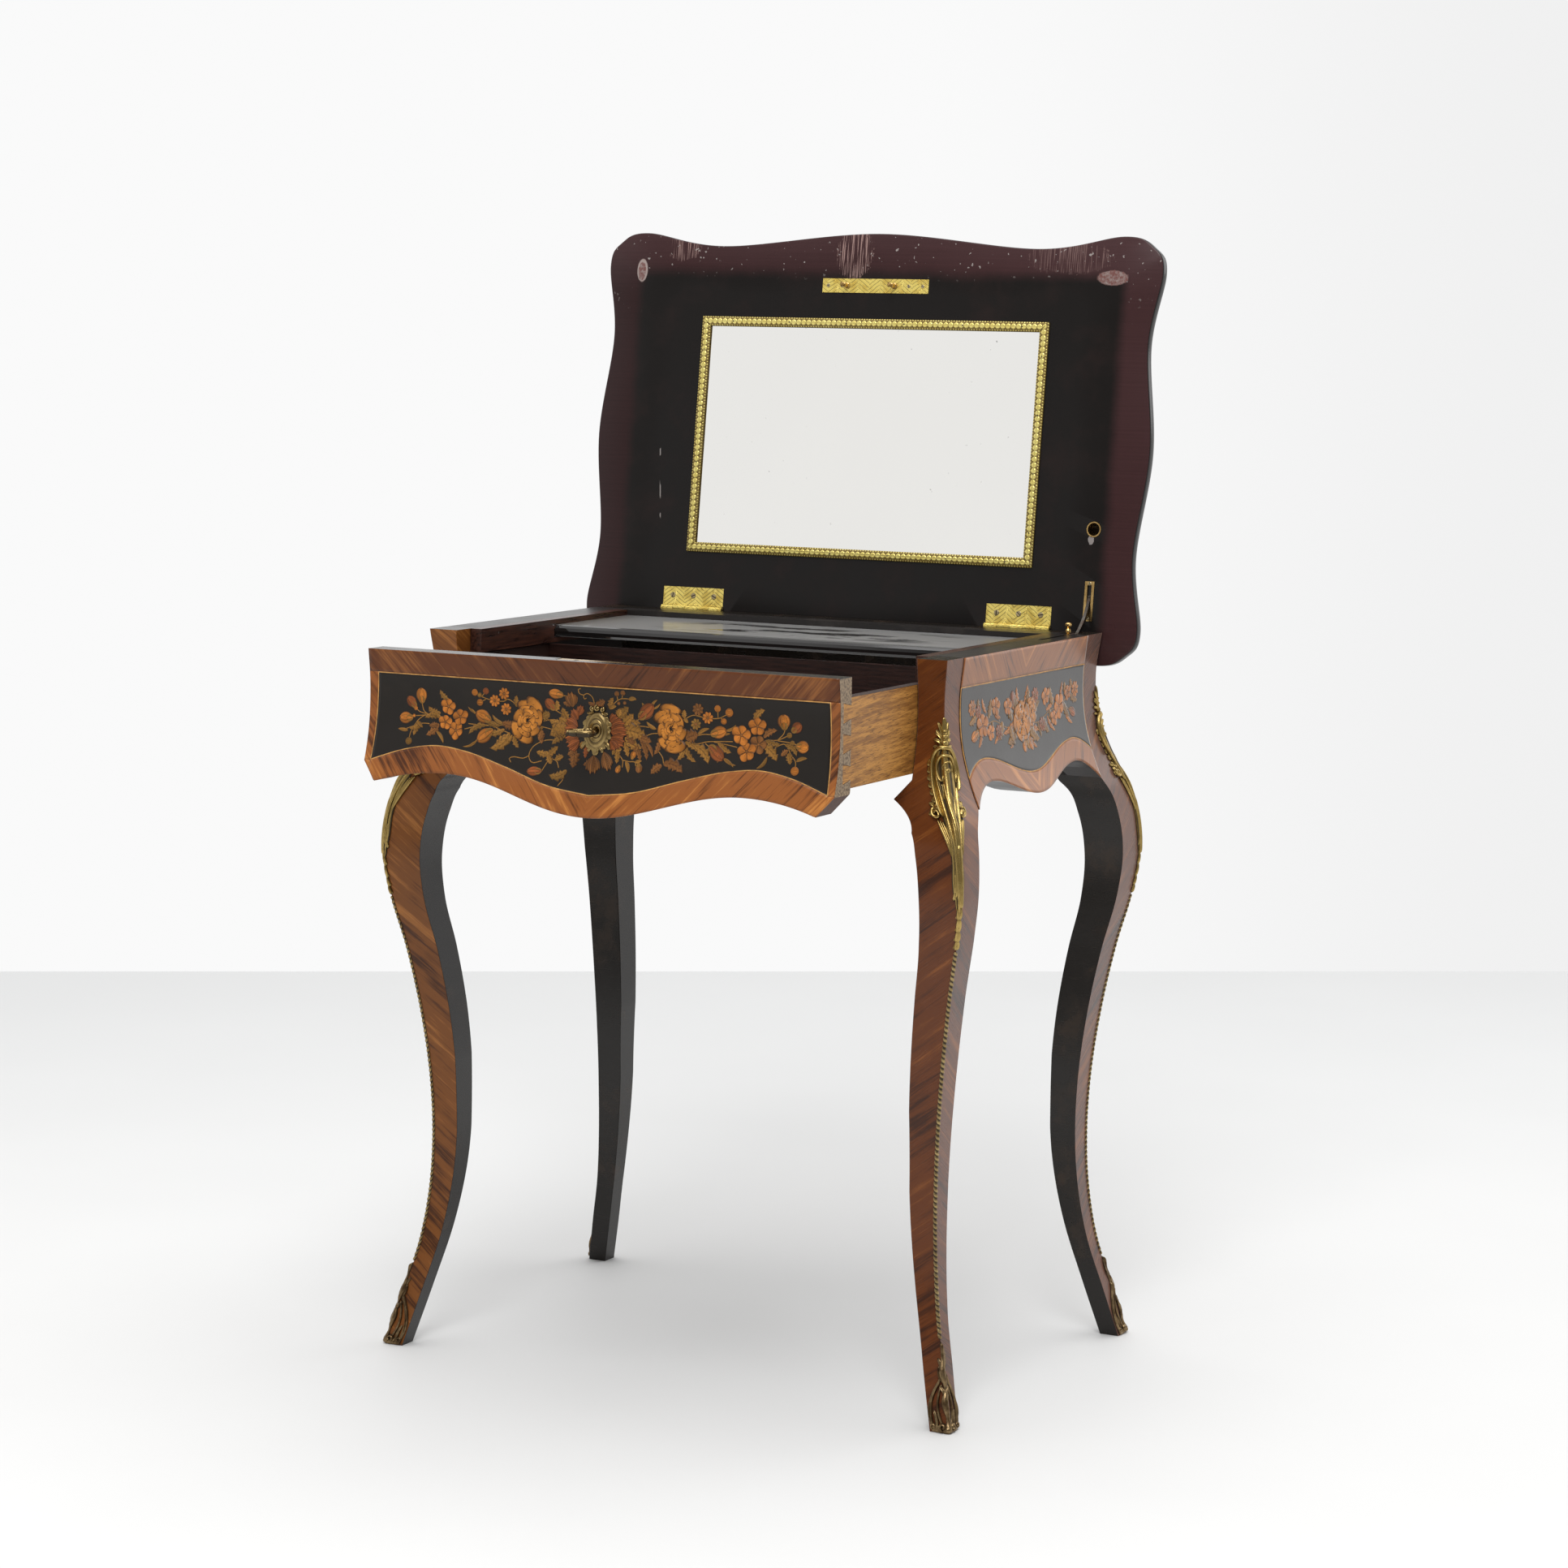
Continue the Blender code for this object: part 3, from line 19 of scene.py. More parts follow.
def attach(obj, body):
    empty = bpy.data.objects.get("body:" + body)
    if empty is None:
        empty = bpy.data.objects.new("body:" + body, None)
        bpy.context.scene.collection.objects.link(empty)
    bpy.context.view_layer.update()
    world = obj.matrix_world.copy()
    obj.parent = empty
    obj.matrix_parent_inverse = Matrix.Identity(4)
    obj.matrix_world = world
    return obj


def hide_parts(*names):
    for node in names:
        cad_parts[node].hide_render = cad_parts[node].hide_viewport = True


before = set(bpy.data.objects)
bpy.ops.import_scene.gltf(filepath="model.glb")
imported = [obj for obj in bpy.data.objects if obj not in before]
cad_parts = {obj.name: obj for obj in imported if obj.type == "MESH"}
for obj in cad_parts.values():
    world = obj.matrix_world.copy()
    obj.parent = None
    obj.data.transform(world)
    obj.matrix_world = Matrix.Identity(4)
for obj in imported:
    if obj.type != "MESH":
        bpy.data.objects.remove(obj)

LOG = logging.getLogger("dressing_table")
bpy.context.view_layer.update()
SHIFT = 0.05964
# The lid's hinge axis in Y and Z, the way it leans when open, and its inner face's distance from the axis
LID_AXIS = (0.180 + SHIFT, 0.7153)
LID_LEAN = (0.126199, 0.992005)
LID_RISE = 0.0012
MM = 0.001
SHEEN_ROUGHNESS = 0.4
CREASE = 38.0
# Each leg's name and the signs of its X and Y
CORNERS = tuple((f"{end}_{side}", right, back) for end, back in (("front", -1.0), ("back", 1.0))
                for side, right in (("left", -1.0), ("right", 1.0)))
Array = np.ndarray
Colour = tuple[float, float, float]
# A map from two coordinates on a face and a height over it to world points
Ground = Callable[[Array, Array, Any], Array]


# Shader expressions

class Sock:
    """One socket of a finish's nodes; arithmetic on it adds Math nodes."""

    def __init__(self, tree: "NodeTree", socket: bpy.types.NodeSocket) -> None:
        """Keeps the tree and the socket."""
        self.tree, self.socket = tree, socket

    def _math(self, operation: str, *values: Any) -> "Sock":
        """Adds a Math node on one or two values."""
        return self.tree.add("ShaderNodeMath", {"operation": operation}, dict(enumerate(values)))

    def __add__(self, other: Any) -> "Sock":
        """Sum."""
        return self._math("ADD", self, other)

    __radd__ = __add__

    def __sub__(self, other: Any) -> "Sock":
        """Difference."""
        return self._math("SUBTRACT", self, other)

    def __rsub__(self, other: Any) -> "Sock":
        """Difference, taken from a number."""
        return self._math("SUBTRACT", other, self)

    def __mul__(self, other: Any) -> "Sock":
        """Product."""
        return self._math("MULTIPLY", self, other)

    __rmul__ = __mul__

    def __truediv__(self, other: Any) -> "Sock":
        """Quotient."""
        return self._math("DIVIDE", self, other)

    def __rtruediv__(self, other: Any) -> "Sock":
        """Quotient of a number by this."""
        return self._math("DIVIDE", other, self)

    def __pow__(self, other: Any) -> "Sock":
        """Power."""
        return self._math("POWER", self, other)

    def __abs__(self) -> "Sock":
        """Size without its sign."""
        return self._math("ABSOLUTE", self)

    def part(self) -> "Sock":
        """Fractional part."""
        return self._math("FRACT", self)

    def floor(self) -> "Sock":
        """Whole part."""
        return self._math("FLOOR", self)

    def top(self, other: Any) -> "Sock":
        """Larger of two values."""
        return self._math("MAXIMUM", self, other)

    def low(self, other: Any) -> "Sock":
        """Smaller of two values."""
        return self._math("MINIMUM", self, other)


class NodeTree:
    """The nodes of one material or world, which end in its shader."""

    def __init__(self, owner: bpy.types.ID, shader: str) -> None:
        """Switches the owner's nodes on and finds its shader."""
        owner.use_nodes = True
        self.nodes = owner.node_tree.nodes
        self.links = owner.node_tree.links
        self.shader = self.nodes[shader]

    def add(self, kind: str, settings: dict[str, Any] | None = None, values: dict[Any, Any] | None = None,
            output: int | str = 0) -> Sock:
        """Adds a node.

        Args:
            kind: Node type.
            settings: Its settings, set first; "stops" fills a ramp.
            values: Value or link of each socket.
            output: Which output is wanted.

        Returns:
            The output's socket.
        """
        node = self.nodes.new(kind)
        for key, value in (settings or {}).items():
            if key == "stops":
                self._stops(node.color_ramp, value)
            else:
                setattr(node, key, value)
        for key, value in (values or {}).items():
            self.feed(node.inputs[key], value)
        return Sock(self, node.outputs[output])

    def _stops(self, ramp: bpy.types.ColorRamp, stops: Sequence[tuple[float, Colour]]) -> None:
        """Fills a colour ramp with its stops."""
        for _ in stops[2:]:
            ramp.elements.new(0.5)
        for element, (where, colour) in zip(ramp.elements, stops):
            element.position, element.color = where, (*colour, 1.0)

    def feed(self, socket: bpy.types.NodeSocket, value: Any) -> None:
        """Links or sets one socket."""
        if isinstance(value, Sock):
            self.links.new(value.socket, socket)
        else:
            socket.default_value = (*value, 1.0) if socket.type == "RGBA" and len(value) == 3 else value

    def shade(self, values: dict[str, Any]) -> None:
        """Feeds the shader's own sockets."""
        for key, value in values.items():
            self.feed(self.shader.inputs[key], value)

    def under(self, share: Sock, values: dict[str, Any]) -> None:
        """Lets a second shader show through the first by a share."""
        other = self.add("ShaderNodeBsdfPrincipled", {}, values)
        mixed = self.add("ShaderNodeMixShader", {}, {0: share, 1: Sock(self, self.shader.outputs[0]), 2: other})
        self.feed(self.nodes["Material Output"].inputs["Surface"], mixed)

    def place(self) -> Sock:
        """Object coordinates, in metres."""
        return self.add("ShaderNodeTexCoord", output="Object")

    def attribute(self, name: str) -> Sock:
        """An attribute of the mesh, as a vector."""
        return self.add("ShaderNodeAttribute", {"attribute_name": name}, output="Vector")

    def axes(self, vector: Sock) -> list[Sock]:
        """The three parts of a vector."""
        first = self.add("ShaderNodeSeparateXYZ", values={0: vector})
        return [Sock(self, output) for output in first.socket.node.outputs]

    def join(self, x: Any, y: Any, z: Any) -> Sock:
        """A vector of three parts."""
        return self.add("ShaderNodeCombineXYZ", values={0: x, 1: y, 2: z})

    def noise(self, vector: Sock, scale: float, detail: float = 3.0, rough: float = 0.5) -> Sock:
        """Noise from 0 to 1, mostly near a half."""
        return self.add("ShaderNodeTexNoise", {}, {"Vector": vector, "Scale": scale, "Detail": detail,
                                                  "Roughness": rough})

    def fade(self, value: Sock, low: float, high: float) -> Sock:
        """Smooth step from 0 at low to 1 at high; low may be the larger."""
        return self.add("ShaderNodeMapRange", {"interpolation_type": "SMOOTHSTEP"},
                        {"Value": value, "From Min": low, "From Max": high})

    def between(self, value: Sock, low: float, high: float, soft: float) -> Sock:
        """1 between low and high, with soft ends."""
        return self.fade(value, low - soft, low + soft) * self.fade(value, high + soft, high - soft)

    def blend(self, share: Any, first: Any, second: Any) -> Sock:
        """Colour between first and second by share."""
        return self.add("ShaderNodeMix", {"data_type": "RGBA"}, {0: share, 6: first, 7: second}, 2)

    def dot(self, vector: Sock, way: Sequence[float]) -> Sock:
        """How far a vector points along a level direction."""
        return self.add("ShaderNodeVectorMath", {"operation": "DOT_PRODUCT"}, {0: vector, 1: (*way, 0.0)}, "Value")

    def ramp(self, value: Sock, stops: Sequence[tuple[float, Colour]]) -> Sock:
        """Colour of a ramp at a value."""
        return self.add("ShaderNodeValToRGB", {"stops": stops}, {0: value})

    def dim(self, colour: Any, share: Any) -> Sock:
        """Colour scaled by a value."""
        return self.add("ShaderNodeVectorMath", {"operation": "SCALE"}, {0: colour, "Scale": share})

    def bump(self, height: Sock, depth: float) -> Sock:
        """Normal of a relief: height 0 to 1 over a depth in metres."""
        return self.add("ShaderNodeBump", {}, {"Strength": 1.0, "Distance": depth, "Height": height})


# Finishes

def dimmed(tone: Colour, share: float) -> Colour:
    """A colour scaled by a number."""
    return tuple(part * share for part in tone)


@dataclass(frozen=True)
class Finish:
    """A finish of the table; each kind lays its own nodes."""

    name: str

    @functools.cache
    def material(self) -> bpy.types.Material:
        """The finish's material, made once."""
        made = bpy.data.materials.new(self.name)
        self.lay(NodeTree(made, "Principled BSDF"))
        return made

    def lay(self, tree: NodeTree) -> None:
        """Lays the nodes."""
        raise NotImplementedError


@dataclass(frozen=True)
class Kingwood(Finish):
    """Orange-brown veneer with dark streaks along its grain, under old polish.

    The attribute "cut" gives the distance across and along the grain in metres and a sheet number.
    The streaks are noise drawn out along the grain.
    """

    dark: Colour = (0.044, 0.0120, 0.0035)
    mid: Colour = (0.124, 0.0325, 0.0058)
    light: Colour = (0.25, 0.079, 0.0145)
    polish: float = 0.28
    leaf: float = 0.058
    sheen: float = 0.0

    def lay(self, tree: NodeTree) -> None:
        """Lays streaks, pores and polish; each leaf of veneer across the grain has its own tone."""
        across, along, sheet = tree.axes(tree.attribute("cut"))
        streak = tree.noise(tree.join(across * 150.0, along * 7.0, sheet), 1.0, 5.0, 0.66)
        pores = tree.noise(tree.join(across * 1300.0, along * 45.0, sheet), 1.0, 2.0, 0.6)
        cloud = tree.noise(tree.place(), 19.0, 3.0)
        joint = across / self.leaf + sheet * 0.37
        piece = tree.add("ShaderNodeTexWhiteNoise", {"noise_dimensions": "1D"}, {"W": joint.floor()})
        seam = tree.fade(abs(joint.part() - 0.5), 0.490, 0.497)
        tone = streak * 1.10 + (pores - 0.5) * 0.24 + (cloud - 0.5) * 0.40 + (piece - 0.5) * 0.16 - 0.05
        wood = tree.ramp(tone, ((0.30, self.dark), (0.46, self.mid), (0.58, self.mid), (0.76, self.light)))
        wood = tree.blend(seam * 0.5, wood, self.dark)
        tree.shade({"Base Color": wood, "Roughness": self.polish + (cloud - 0.5) * 0.20 + (pores - 0.5) * 0.1,
                    "Normal": tree.bump(pores * 0.6 + cloud * 3.0, 0.00006),
                    "Specular IOR Level": 0.22, "Coat Weight": 0.10, "Coat Roughness": 0.12,
                    "Sheen Weight": self.sheen, "Sheen Roughness": SHEEN_ROUGHNESS})


@dataclass(frozen=True)
class BlackPolish(Finish):
    """Ebonised wood under worn polish, with brown rubbed clouds and fine scratches."""

    base: Colour = (0.0115, 0.0100, 0.0088)
    rubbed: Colour = (0.050, 0.030, 0.020)
    polish: float = 0.22
    rub: float = 0.35
    haze: float = 0.25
    gloss: float = 0.35
    sheen: float = 0.0

    def lay(self, tree: NodeTree) -> None:
        """Lays cloudy black, pores and scratches."""
        where = tree.place()
        cloud = tree.noise(where, 24.0, 4.0, 0.6)
        fine = tree.noise(where, 900.0, 2.0)
        x, y, z = tree.axes(where)
        scratch = tree.fade(tree.noise(tree.join(x * 40.0, y * 900.0, z * 900.0), 1.0, 2.0), 0.64, 0.72)
        shade = tree.fade(cloud, 0.50, 0.78) * self.rub + scratch * 0.10
        tree.shade({"Base Color": tree.blend(shade, self.base, self.rubbed),
                    "Roughness": self.polish + (cloud - 0.4) * self.haze + scratch * self.haze * 0.8,
                    "Normal": tree.bump(fine * 0.5 + cloud * 2.0, 0.00006), "Specular IOR Level": self.gloss,
                    "Sheen Weight": self.sheen, "Sheen Roughness": SHEEN_ROUGHNESS})


@dataclass(frozen=True)
class DullPolish(Finish):
    """The rear shelf's black polish, dulled by dust and fine scratches, with a grey base colour towards +X that is
    partly dust and partly painted reflection, and clear streaks in its middle.
    """

    def lay(self, tree: NodeTree) -> None:
        """Lays a grey film by Object coordinates, lighter towards +X as partly dust and partly painted reflection, with
        brush lines along the shelf, then the clear streaks.
        """
        where = tree.place()
        x, y, _ = tree.axes(where)
        cloud = tree.noise(where, 14.0, 3.0, 0.55)
        brushed = tree.noise(tree.join(x * 9.0, y * 300.0, cloud), 1.0, 3.0, 0.6)
        # The worn mask grows towards +X; the grey it gives the base colour is partly dust and partly painted
        # reflection.
        worn = tree.fade(x + (cloud - 0.5) * 0.20, -0.28, 0.08) * tree.fade(y, 0.045, 0.060)
        shelf_dust_and_painted_reflection = tree.blend(worn * (0.6 + brushed * 0.5), (0.010, 0.0085, 0.008), (0.052, 0.050, 0.048))
        tree.shade({"Base Color": shelf_dust_and_painted_reflection,
                    "Roughness": 0.07 + worn * 0.22 + (brushed - 0.5) * 0.06, "Normal": tree.bump(brushed, 0.00003),
                    "Specular IOR Level": 0.8, "Sheen Weight": 1.0, "Sheen Roughness": 0.30})
        streaks = tree.noise(tree.join(x * 11.0, y * 42.0, 0.7), 1.0, 4.0, 0.6)
        spread = tree.between(x, -0.12, 0.15, 0.04) * tree.between(y, 0.075, 0.165, 0.012)
        tree.under(tree.fade(streaks, 0.50, 0.56) * spread * 0.9,
                   {"Base Color": (0.008, 0.007, 0.007), "Roughness": 0.08, "Specular IOR Level": 0.5})


@dataclass(frozen=True)
class PlainWood(Finish):
    """Solid wood with straight grain along one axis, flecks and open pores."""

    dark: Colour
    light: Colour
    stretch: tuple[float, float, float]
    polish: float = 0.5
    fleck: float = 0.3

    def lay(self, tree: NodeTree) -> None:
        """Lays grain, flecks and pores from Object coordinates, stretched along the grain."""
        x, y, z = tree.axes(tree.place())
        drawn = tree.join(x * self.stretch[0], y * self.stretch[1], z * self.stretch[2])
        grain = tree.noise(drawn, 1.0, 4.0, 0.6)
        pores = tree.noise(drawn, 7.0, 2.0, 0.6)
        wood = tree.blend(tree.fade(grain + (pores - 0.5) * 0.35, 0.32, 0.68), self.dark, self.light)
        flecks = tree.fade(pores, 0.60, 0.72) * self.fleck
        tree.shade({"Base Color": tree.blend(flecks, wood, dimmed(self.dark, 0.25)),
                    "Roughness": self.polish + (grain - 0.5) * 0.2,
                    "Normal": tree.bump(pores, 0.00012)})


@dataclass(frozen=True)
class Boxwood(Finish):
    """Thin yellow line let into the veneer."""

    def lay(self, tree: NodeTree) -> None:
        """Lays a tan line with darker stretches."""
        tone = tree.noise(tree.place(), 130.0, 3.0, 0.6)
        tree.shade({"Base Color": tree.ramp(tone, ((0.30, (0.34, 0.15, 0.035)), (0.62, (0.66, 0.34, 0.085)))),
                    "Roughness": 0.30 + tone * 0.2})


@dataclass(frozen=True)
class Inlay(Finish):
    """Cut marquetry woods: each piece has its own tone, sand-burnt at one side, with engraved veins.

    "cut" gives the place across the piece from -1 to 1, the place along it from 0 to 1 and how
    strongly it is veined; "tint" gives its tone.
    """

    sheen: float = 0.0

    def lay(self, tree: NodeTree) -> None:
        """Lays tone, burnt shading, veins and dark outlines."""
        across, along, vein = tree.axes(tree.attribute("cut"))
        side = abs(across)
        grain = tree.noise(tree.place(), 420.0, 3.0, 0.6)
        cloud = tree.noise(tree.place(), 55.0, 2.0)
        wood = tree.dim(tree.attribute("tint"), 0.62 + grain * 0.38 + cloud * 0.38)
        leafy = tree.fade(vein, 1.0, 1.02)
        drawing = vein - leafy
        burnt = tree.fade(across, -0.2, 1.0) * 0.50 * drawing
        middle = tree.fade(side, 0.15, 0.04) * tree.fade(along, 0.98, 0.6)
        branch = tree.fade(abs((along * 6.0 - side * 1.3).part() - 0.5), 0.17, 0.06) * tree.fade(side, 0.95, 0.6)
        rays = tree.fade(abs((across * 1.5 + 0.5).part() - 0.5), 0.14, 0.05) * tree.fade(along, 0.62, 0.30)
        rim = tree.fade(side, 0.70, 0.93).top(tree.fade(along, 0.88, 0.97))
        inner = tree.blend(leafy, rays * 0.75, middle * 0.6 + branch * 0.5)
        lines = (tree.axes(inner)[0] + rim * 0.85).low(0.92) * drawing
        drawn = tree.blend(lines, tree.dim(wood, 1.0 - burnt), (0.030, 0.014, 0.007))
        tree.shade({"Base Color": drawn, "Roughness": 0.34 + grain * 0.15, "Normal": tree.bump(grain, 0.00005),
                    "Specular IOR Level": 0.2, "Sheen Weight": self.sheen, "Sheen Roughness": SHEEN_ROUGHNESS})


@dataclass(frozen=True)
class Gilt(Finish):
    """Gilt or worn bronze; "cut" gives in its third part how deep a place lies, which darkens it."""

    bright: Colour = (0.80, 0.50, 0.165)
    worn: Colour = (0.46, 0.255, 0.075)
    dark: Colour = (0.050, 0.027, 0.011)
    rough: float = 0.30
    wear: float = 0.5
    grit: float = 0.00006
    lustre: float = 1.0

    def lay(self, tree: NodeTree) -> None:
        """Lays bright and worn metal, with grime in the hollows."""
        where = tree.place()
        _, _, hollow = tree.axes(tree.attribute("cut"))
        cloud = tree.noise(where, 95.0, 4.0, 0.65)
        fine = tree.noise(where, 1400.0, 2.0)
        metal = tree.blend(tree.fade(cloud, 0.36, 0.66) * self.wear, self.bright, self.worn)
        grime = tree.fade(hollow + (cloud - 0.5) * 0.3, 0.15, 0.95).low(0.96)
        tree.shade({"Base Color": tree.blend(grime, metal, self.dark), "Metallic": (1.0 - grime * 0.55) * self.lustre,
                    "Roughness": self.rough + (cloud - 0.5) * 0.25 + grime * 0.25 + (fine - 0.5) * 0.15,
                    "Normal": tree.bump(fine + cloud, self.grit)})


@dataclass(frozen=True)
class Engraved(Finish):
    """Flat gilt plate with engraved leaf scrolls on a hatched ground, from Object coordinates."""

    def lay(self, tree: NodeTree) -> None:
        """Lays bowed diagonal leaf lines that turn from field to field, and hatching, in dark grooves."""
        where = tree.place()
        warp = tree.noise(where, 90.0, 2.0)
        x, y, z = tree.axes(where)
        up = y + z
        turn = tree.fade((x * 42.0 + warp * 0.6).part(), 0.46, 0.54) * 2.0 - 1.0
        slope = x * turn * 0.8 + up + warp * 0.004
        lines = tree.fade(abs((slope * 210.0).part() - 0.5), 0.13, 0.05)
        hatch = tree.fade(abs(((up - x * turn) * 620.0).part() - 0.5), 0.22, 0.10) * tree.fade(warp, 0.50, 0.58)
        groove = (lines * 0.62 + hatch * 0.30).low(0.72)
        cloud = tree.noise(where, 90.0, 4.0, 0.6)
        metal = tree.blend(tree.fade(cloud, 0.40, 0.72), (1.0, 0.80, 0.21), (0.82, 0.58, 0.105))
        tree.shade({"Base Color": tree.blend(groove, metal, (0.055, 0.030, 0.012)), "Metallic": 0.55 - groove * 0.25,
                    "Roughness": 0.30 + (cloud - 0.5) * 0.2 + groove * 0.25,
                    "Normal": tree.bump(1.0 - groove, 0.00012)})


@dataclass(frozen=True)
class Steel(Finish):
    """Dark worked steel with brown rust freckles."""

    bright: Colour = (0.095, 0.085, 0.075)

    def lay(self, tree: NodeTree) -> None:
        """Lays file marks and freckles."""
        where = tree.place()
        rust = tree.fade(tree.noise(where, 260.0, 4.0, 0.65), 0.50, 0.68)
        marks = tree.noise(where, 1100.0, 2.0)
        tree.shade({"Base Color": tree.blend(rust, self.bright, (0.075, 0.038, 0.020)), "Metallic": 1.0 - rust * 0.7,
                    "Roughness": 0.34 + rust * 0.3 + (marks - 0.5) * 0.2, "Normal": tree.bump(marks, 0.00005)})


@dataclass(frozen=True)
class Mirror(Finish):
    """Old silvered glass, faintly foxed."""

    def lay(self, tree: NodeTree) -> None:
        """Lays bright silver with pale clouds and a few grey specks."""
        where = tree.place()
        cloud = tree.noise(where, 7.0, 3.0)
        specks = tree.fade(tree.noise(where, 160.0, 2.0), 0.735, 0.80)
        silver = tree.blend(cloud, (0.945, 0.940, 0.915), (0.915, 0.912, 0.890))
        tree.shade({"Base Color": tree.blend(specks * 0.35, silver, (0.35, 0.34, 0.31)), "Metallic": 1.0,
                    "Roughness": 0.035 + specks * 0.2 + (cloud - 0.5) * 0.03})


# Meshes

class Shell:
    """Grids of points gathered into one mesh, each with its finish, "cut" and "tint" values."""

    def __init__(self) -> None:
        """Starts empty."""
        self.points: list[Array] = []
        self.quads: list[Array] = []
        self.cut: list[Array] = []
        self.tint: list[Array] = []
        self.slots: list[Array] = []
        self.count = 0

    def grid(self, points: Array, cut: Any = (0.0, 0.0, 0.0), tint: Any = (1.0, 1.0, 1.0), slot: int = 0,
             flip: bool = False) -> None:
        """Adds a grid of quads.

        Args:
            points: Rows by columns by 3.
            cut: Value for each point, or one for all.
            tint: Value for each point, or one for all.
            slot: Finish number.
            flip: Turns the faces round.
        """
        rows, columns = points.shape[:2]
        index = np.arange(rows * columns).reshape(rows, columns)
        quads = np.stack((index[:-1, :-1], index[:-1, 1:], index[1:, 1:], index[1:, :-1]), -1).reshape(-1, 4)
        quads = quads[:, ::-1] if flip else quads
        self.points.append(points.reshape(-1, 3))
        self.quads.append(quads + self.count)
        for kept, value in ((self.cut, cut), (self.tint, tint)):
            kept.append(np.broadcast_to(np.asarray(value, float), (rows, columns, 3)).reshape(-1, 3)[quads.ravel()])
        self.slots.append(np.full(len(quads), slot))
        self.count += rows * columns

    def box(self, low: Sequence[float], high: Sequence[float], place: Ground) -> None:
        """Adds a box, given by its low and high corners before place moves them."""
        low, high = np.array(low, float), np.array(high, float)
        for axis in range(3):
            first, second = (axis + 1) % 3, (axis + 2) % 3
            for level in (low, high):
                face = np.empty((2, 2, 3))
                face[..., axis] = level[axis]
                face[..., first] = np.array((low[first], high[first]))[:, None]
                face[..., second] = np.array((low[second], high[second]))[None, :]
                self.grid(place(face[..., 0], face[..., 1], face[..., 2]))

    def make(self, name: str, finishes: Sequence[Finish], weld: bool = True, outward: bool = True,
             sharp: float = CREASE) -> bpy.types.Object:
        """Makes the mesh object.

        Args:
            name: Piece name.
            finishes: Finish of each slot.
            weld: Whether seams and poles are merged.
            outward: Whether the faces of the closed shells are turned outwards.
            sharp: Angle in degrees over which an edge stays sharp.

        Returns:
            The object, at the origin.
        """
        quads = np.concatenate(self.quads)
        mesh = bpy.data.meshes.new(name)
        mesh.vertices.add(self.count)
        mesh.vertices.foreach_set("co", np.concatenate(self.points).ravel())
        mesh.loops.add(quads.size)
        mesh.loops.foreach_set("vertex_index", quads.ravel())
        mesh.polygons.add(len(quads))
        mesh.polygons.foreach_set("loop_start", np.arange(len(quads)) * 4)
        mesh.polygons.foreach_set("material_index", np.concatenate(self.slots))
        for key, kept in (("cut", self.cut), ("tint", self.tint)):
            layer = mesh.attributes.new(key, "FLOAT_VECTOR", "CORNER")
            layer.data.foreach_set("vector", np.concatenate(kept).ravel())
        mesh.update(calc_edges=True)
        mesh.validate()
        if weld:
            work = bmesh.new()
            work.from_mesh(mesh)
            bmesh.ops.remove_doubles(work, verts=work.verts, dist=2e-6)
            if outward:
                bmesh.ops.recalc_face_normals(work, faces=work.faces)
            work.to_mesh(mesh)
            work.free()
        for finish in finishes:
            mesh.materials.append(finish.material())
        mesh.shade_smooth()
        mesh.set_sharp_from_angle(angle=math.radians(sharp))
        made = bpy.data.objects.new(name, mesh)
        bpy.context.scene.collection.objects.link(made)
        return made


def settle(piece: bpy.types.Object, body: str, slot: str, *nodes: str) -> None:
    """Ties a piece to its body and hides the CAD nodes it stands for."""
    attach(piece, body)
    if nodes:
        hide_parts(*nodes)
    LOG.info("%s on %s, %d faces", piece.name, body, len(piece.data.polygons))


def carve(made: bpy.types.Object, cutter: Shell) -> None:
    """Cuts closed boxes out of a piece and keeps the result in its mesh."""
    tool = cutter.make(made.name + "_cutter", ())
    cut = made.modifiers.new("cut", "BOOLEAN")
    cut.object, cut.operation, cut.solver = tool, "DIFFERENCE", "EXACT"
    result = bpy.data.meshes.new_from_object(made.evaluated_get(bpy.context.evaluated_depsgraph_get()))
    made.modifiers.clear()
    made.data = result
    result.set_sharp_from_angle(angle=math.radians(CREASE))
    bpy.data.objects.remove(tool)


def round_edges(made: bpy.types.Object, width: float) -> None:
    """Rounds the edges of a piece that turn by more than 40 degrees."""
    bevel = made.modifiers.new("worn edges", "BEVEL")
    bevel.width, bevel.segments, bevel.limit_method = width, 2, "ANGLE"
    bevel.angle_limit, bevel.use_clamp_overlap = math.radians(40.0), True


def thicken(made: bpy.types.Object, depth: float) -> None:
    """Gives a sheet its thickness, inwards."""
    wall = made.modifiers.new("thickness", "SOLIDIFY")
    wall.thickness, wall.offset = depth, -1.0


def flow(knots: Any, count: int) -> Array:
    """A smooth curve through knots: cubic pieces whose slopes are half the step between neighbours.

    Args:
        knots: Points on the path.
        count: Number of samples, even in the knot number.

    Returns:
        The samples.
    """
    knots = np.asarray(knots, float)
    padded = np.vstack((2 * knots[0] - knots[1], knots, 2 * knots[-1] - knots[-2]))
    where = np.linspace(0.0, len(knots) - 1.0, count)
    piece = np.minimum(where.astype(int), len(knots) - 2)
    t = (where - piece)[:, None]
    a, b, c, d = (padded[piece + step] for step in range(4))
    return 0.5 * (2 * b + (c - a) * t + (2 * a - 5 * b + 4 * c - d) * t ** 2 + (3 * b - a - 3 * c + d) * t ** 3)


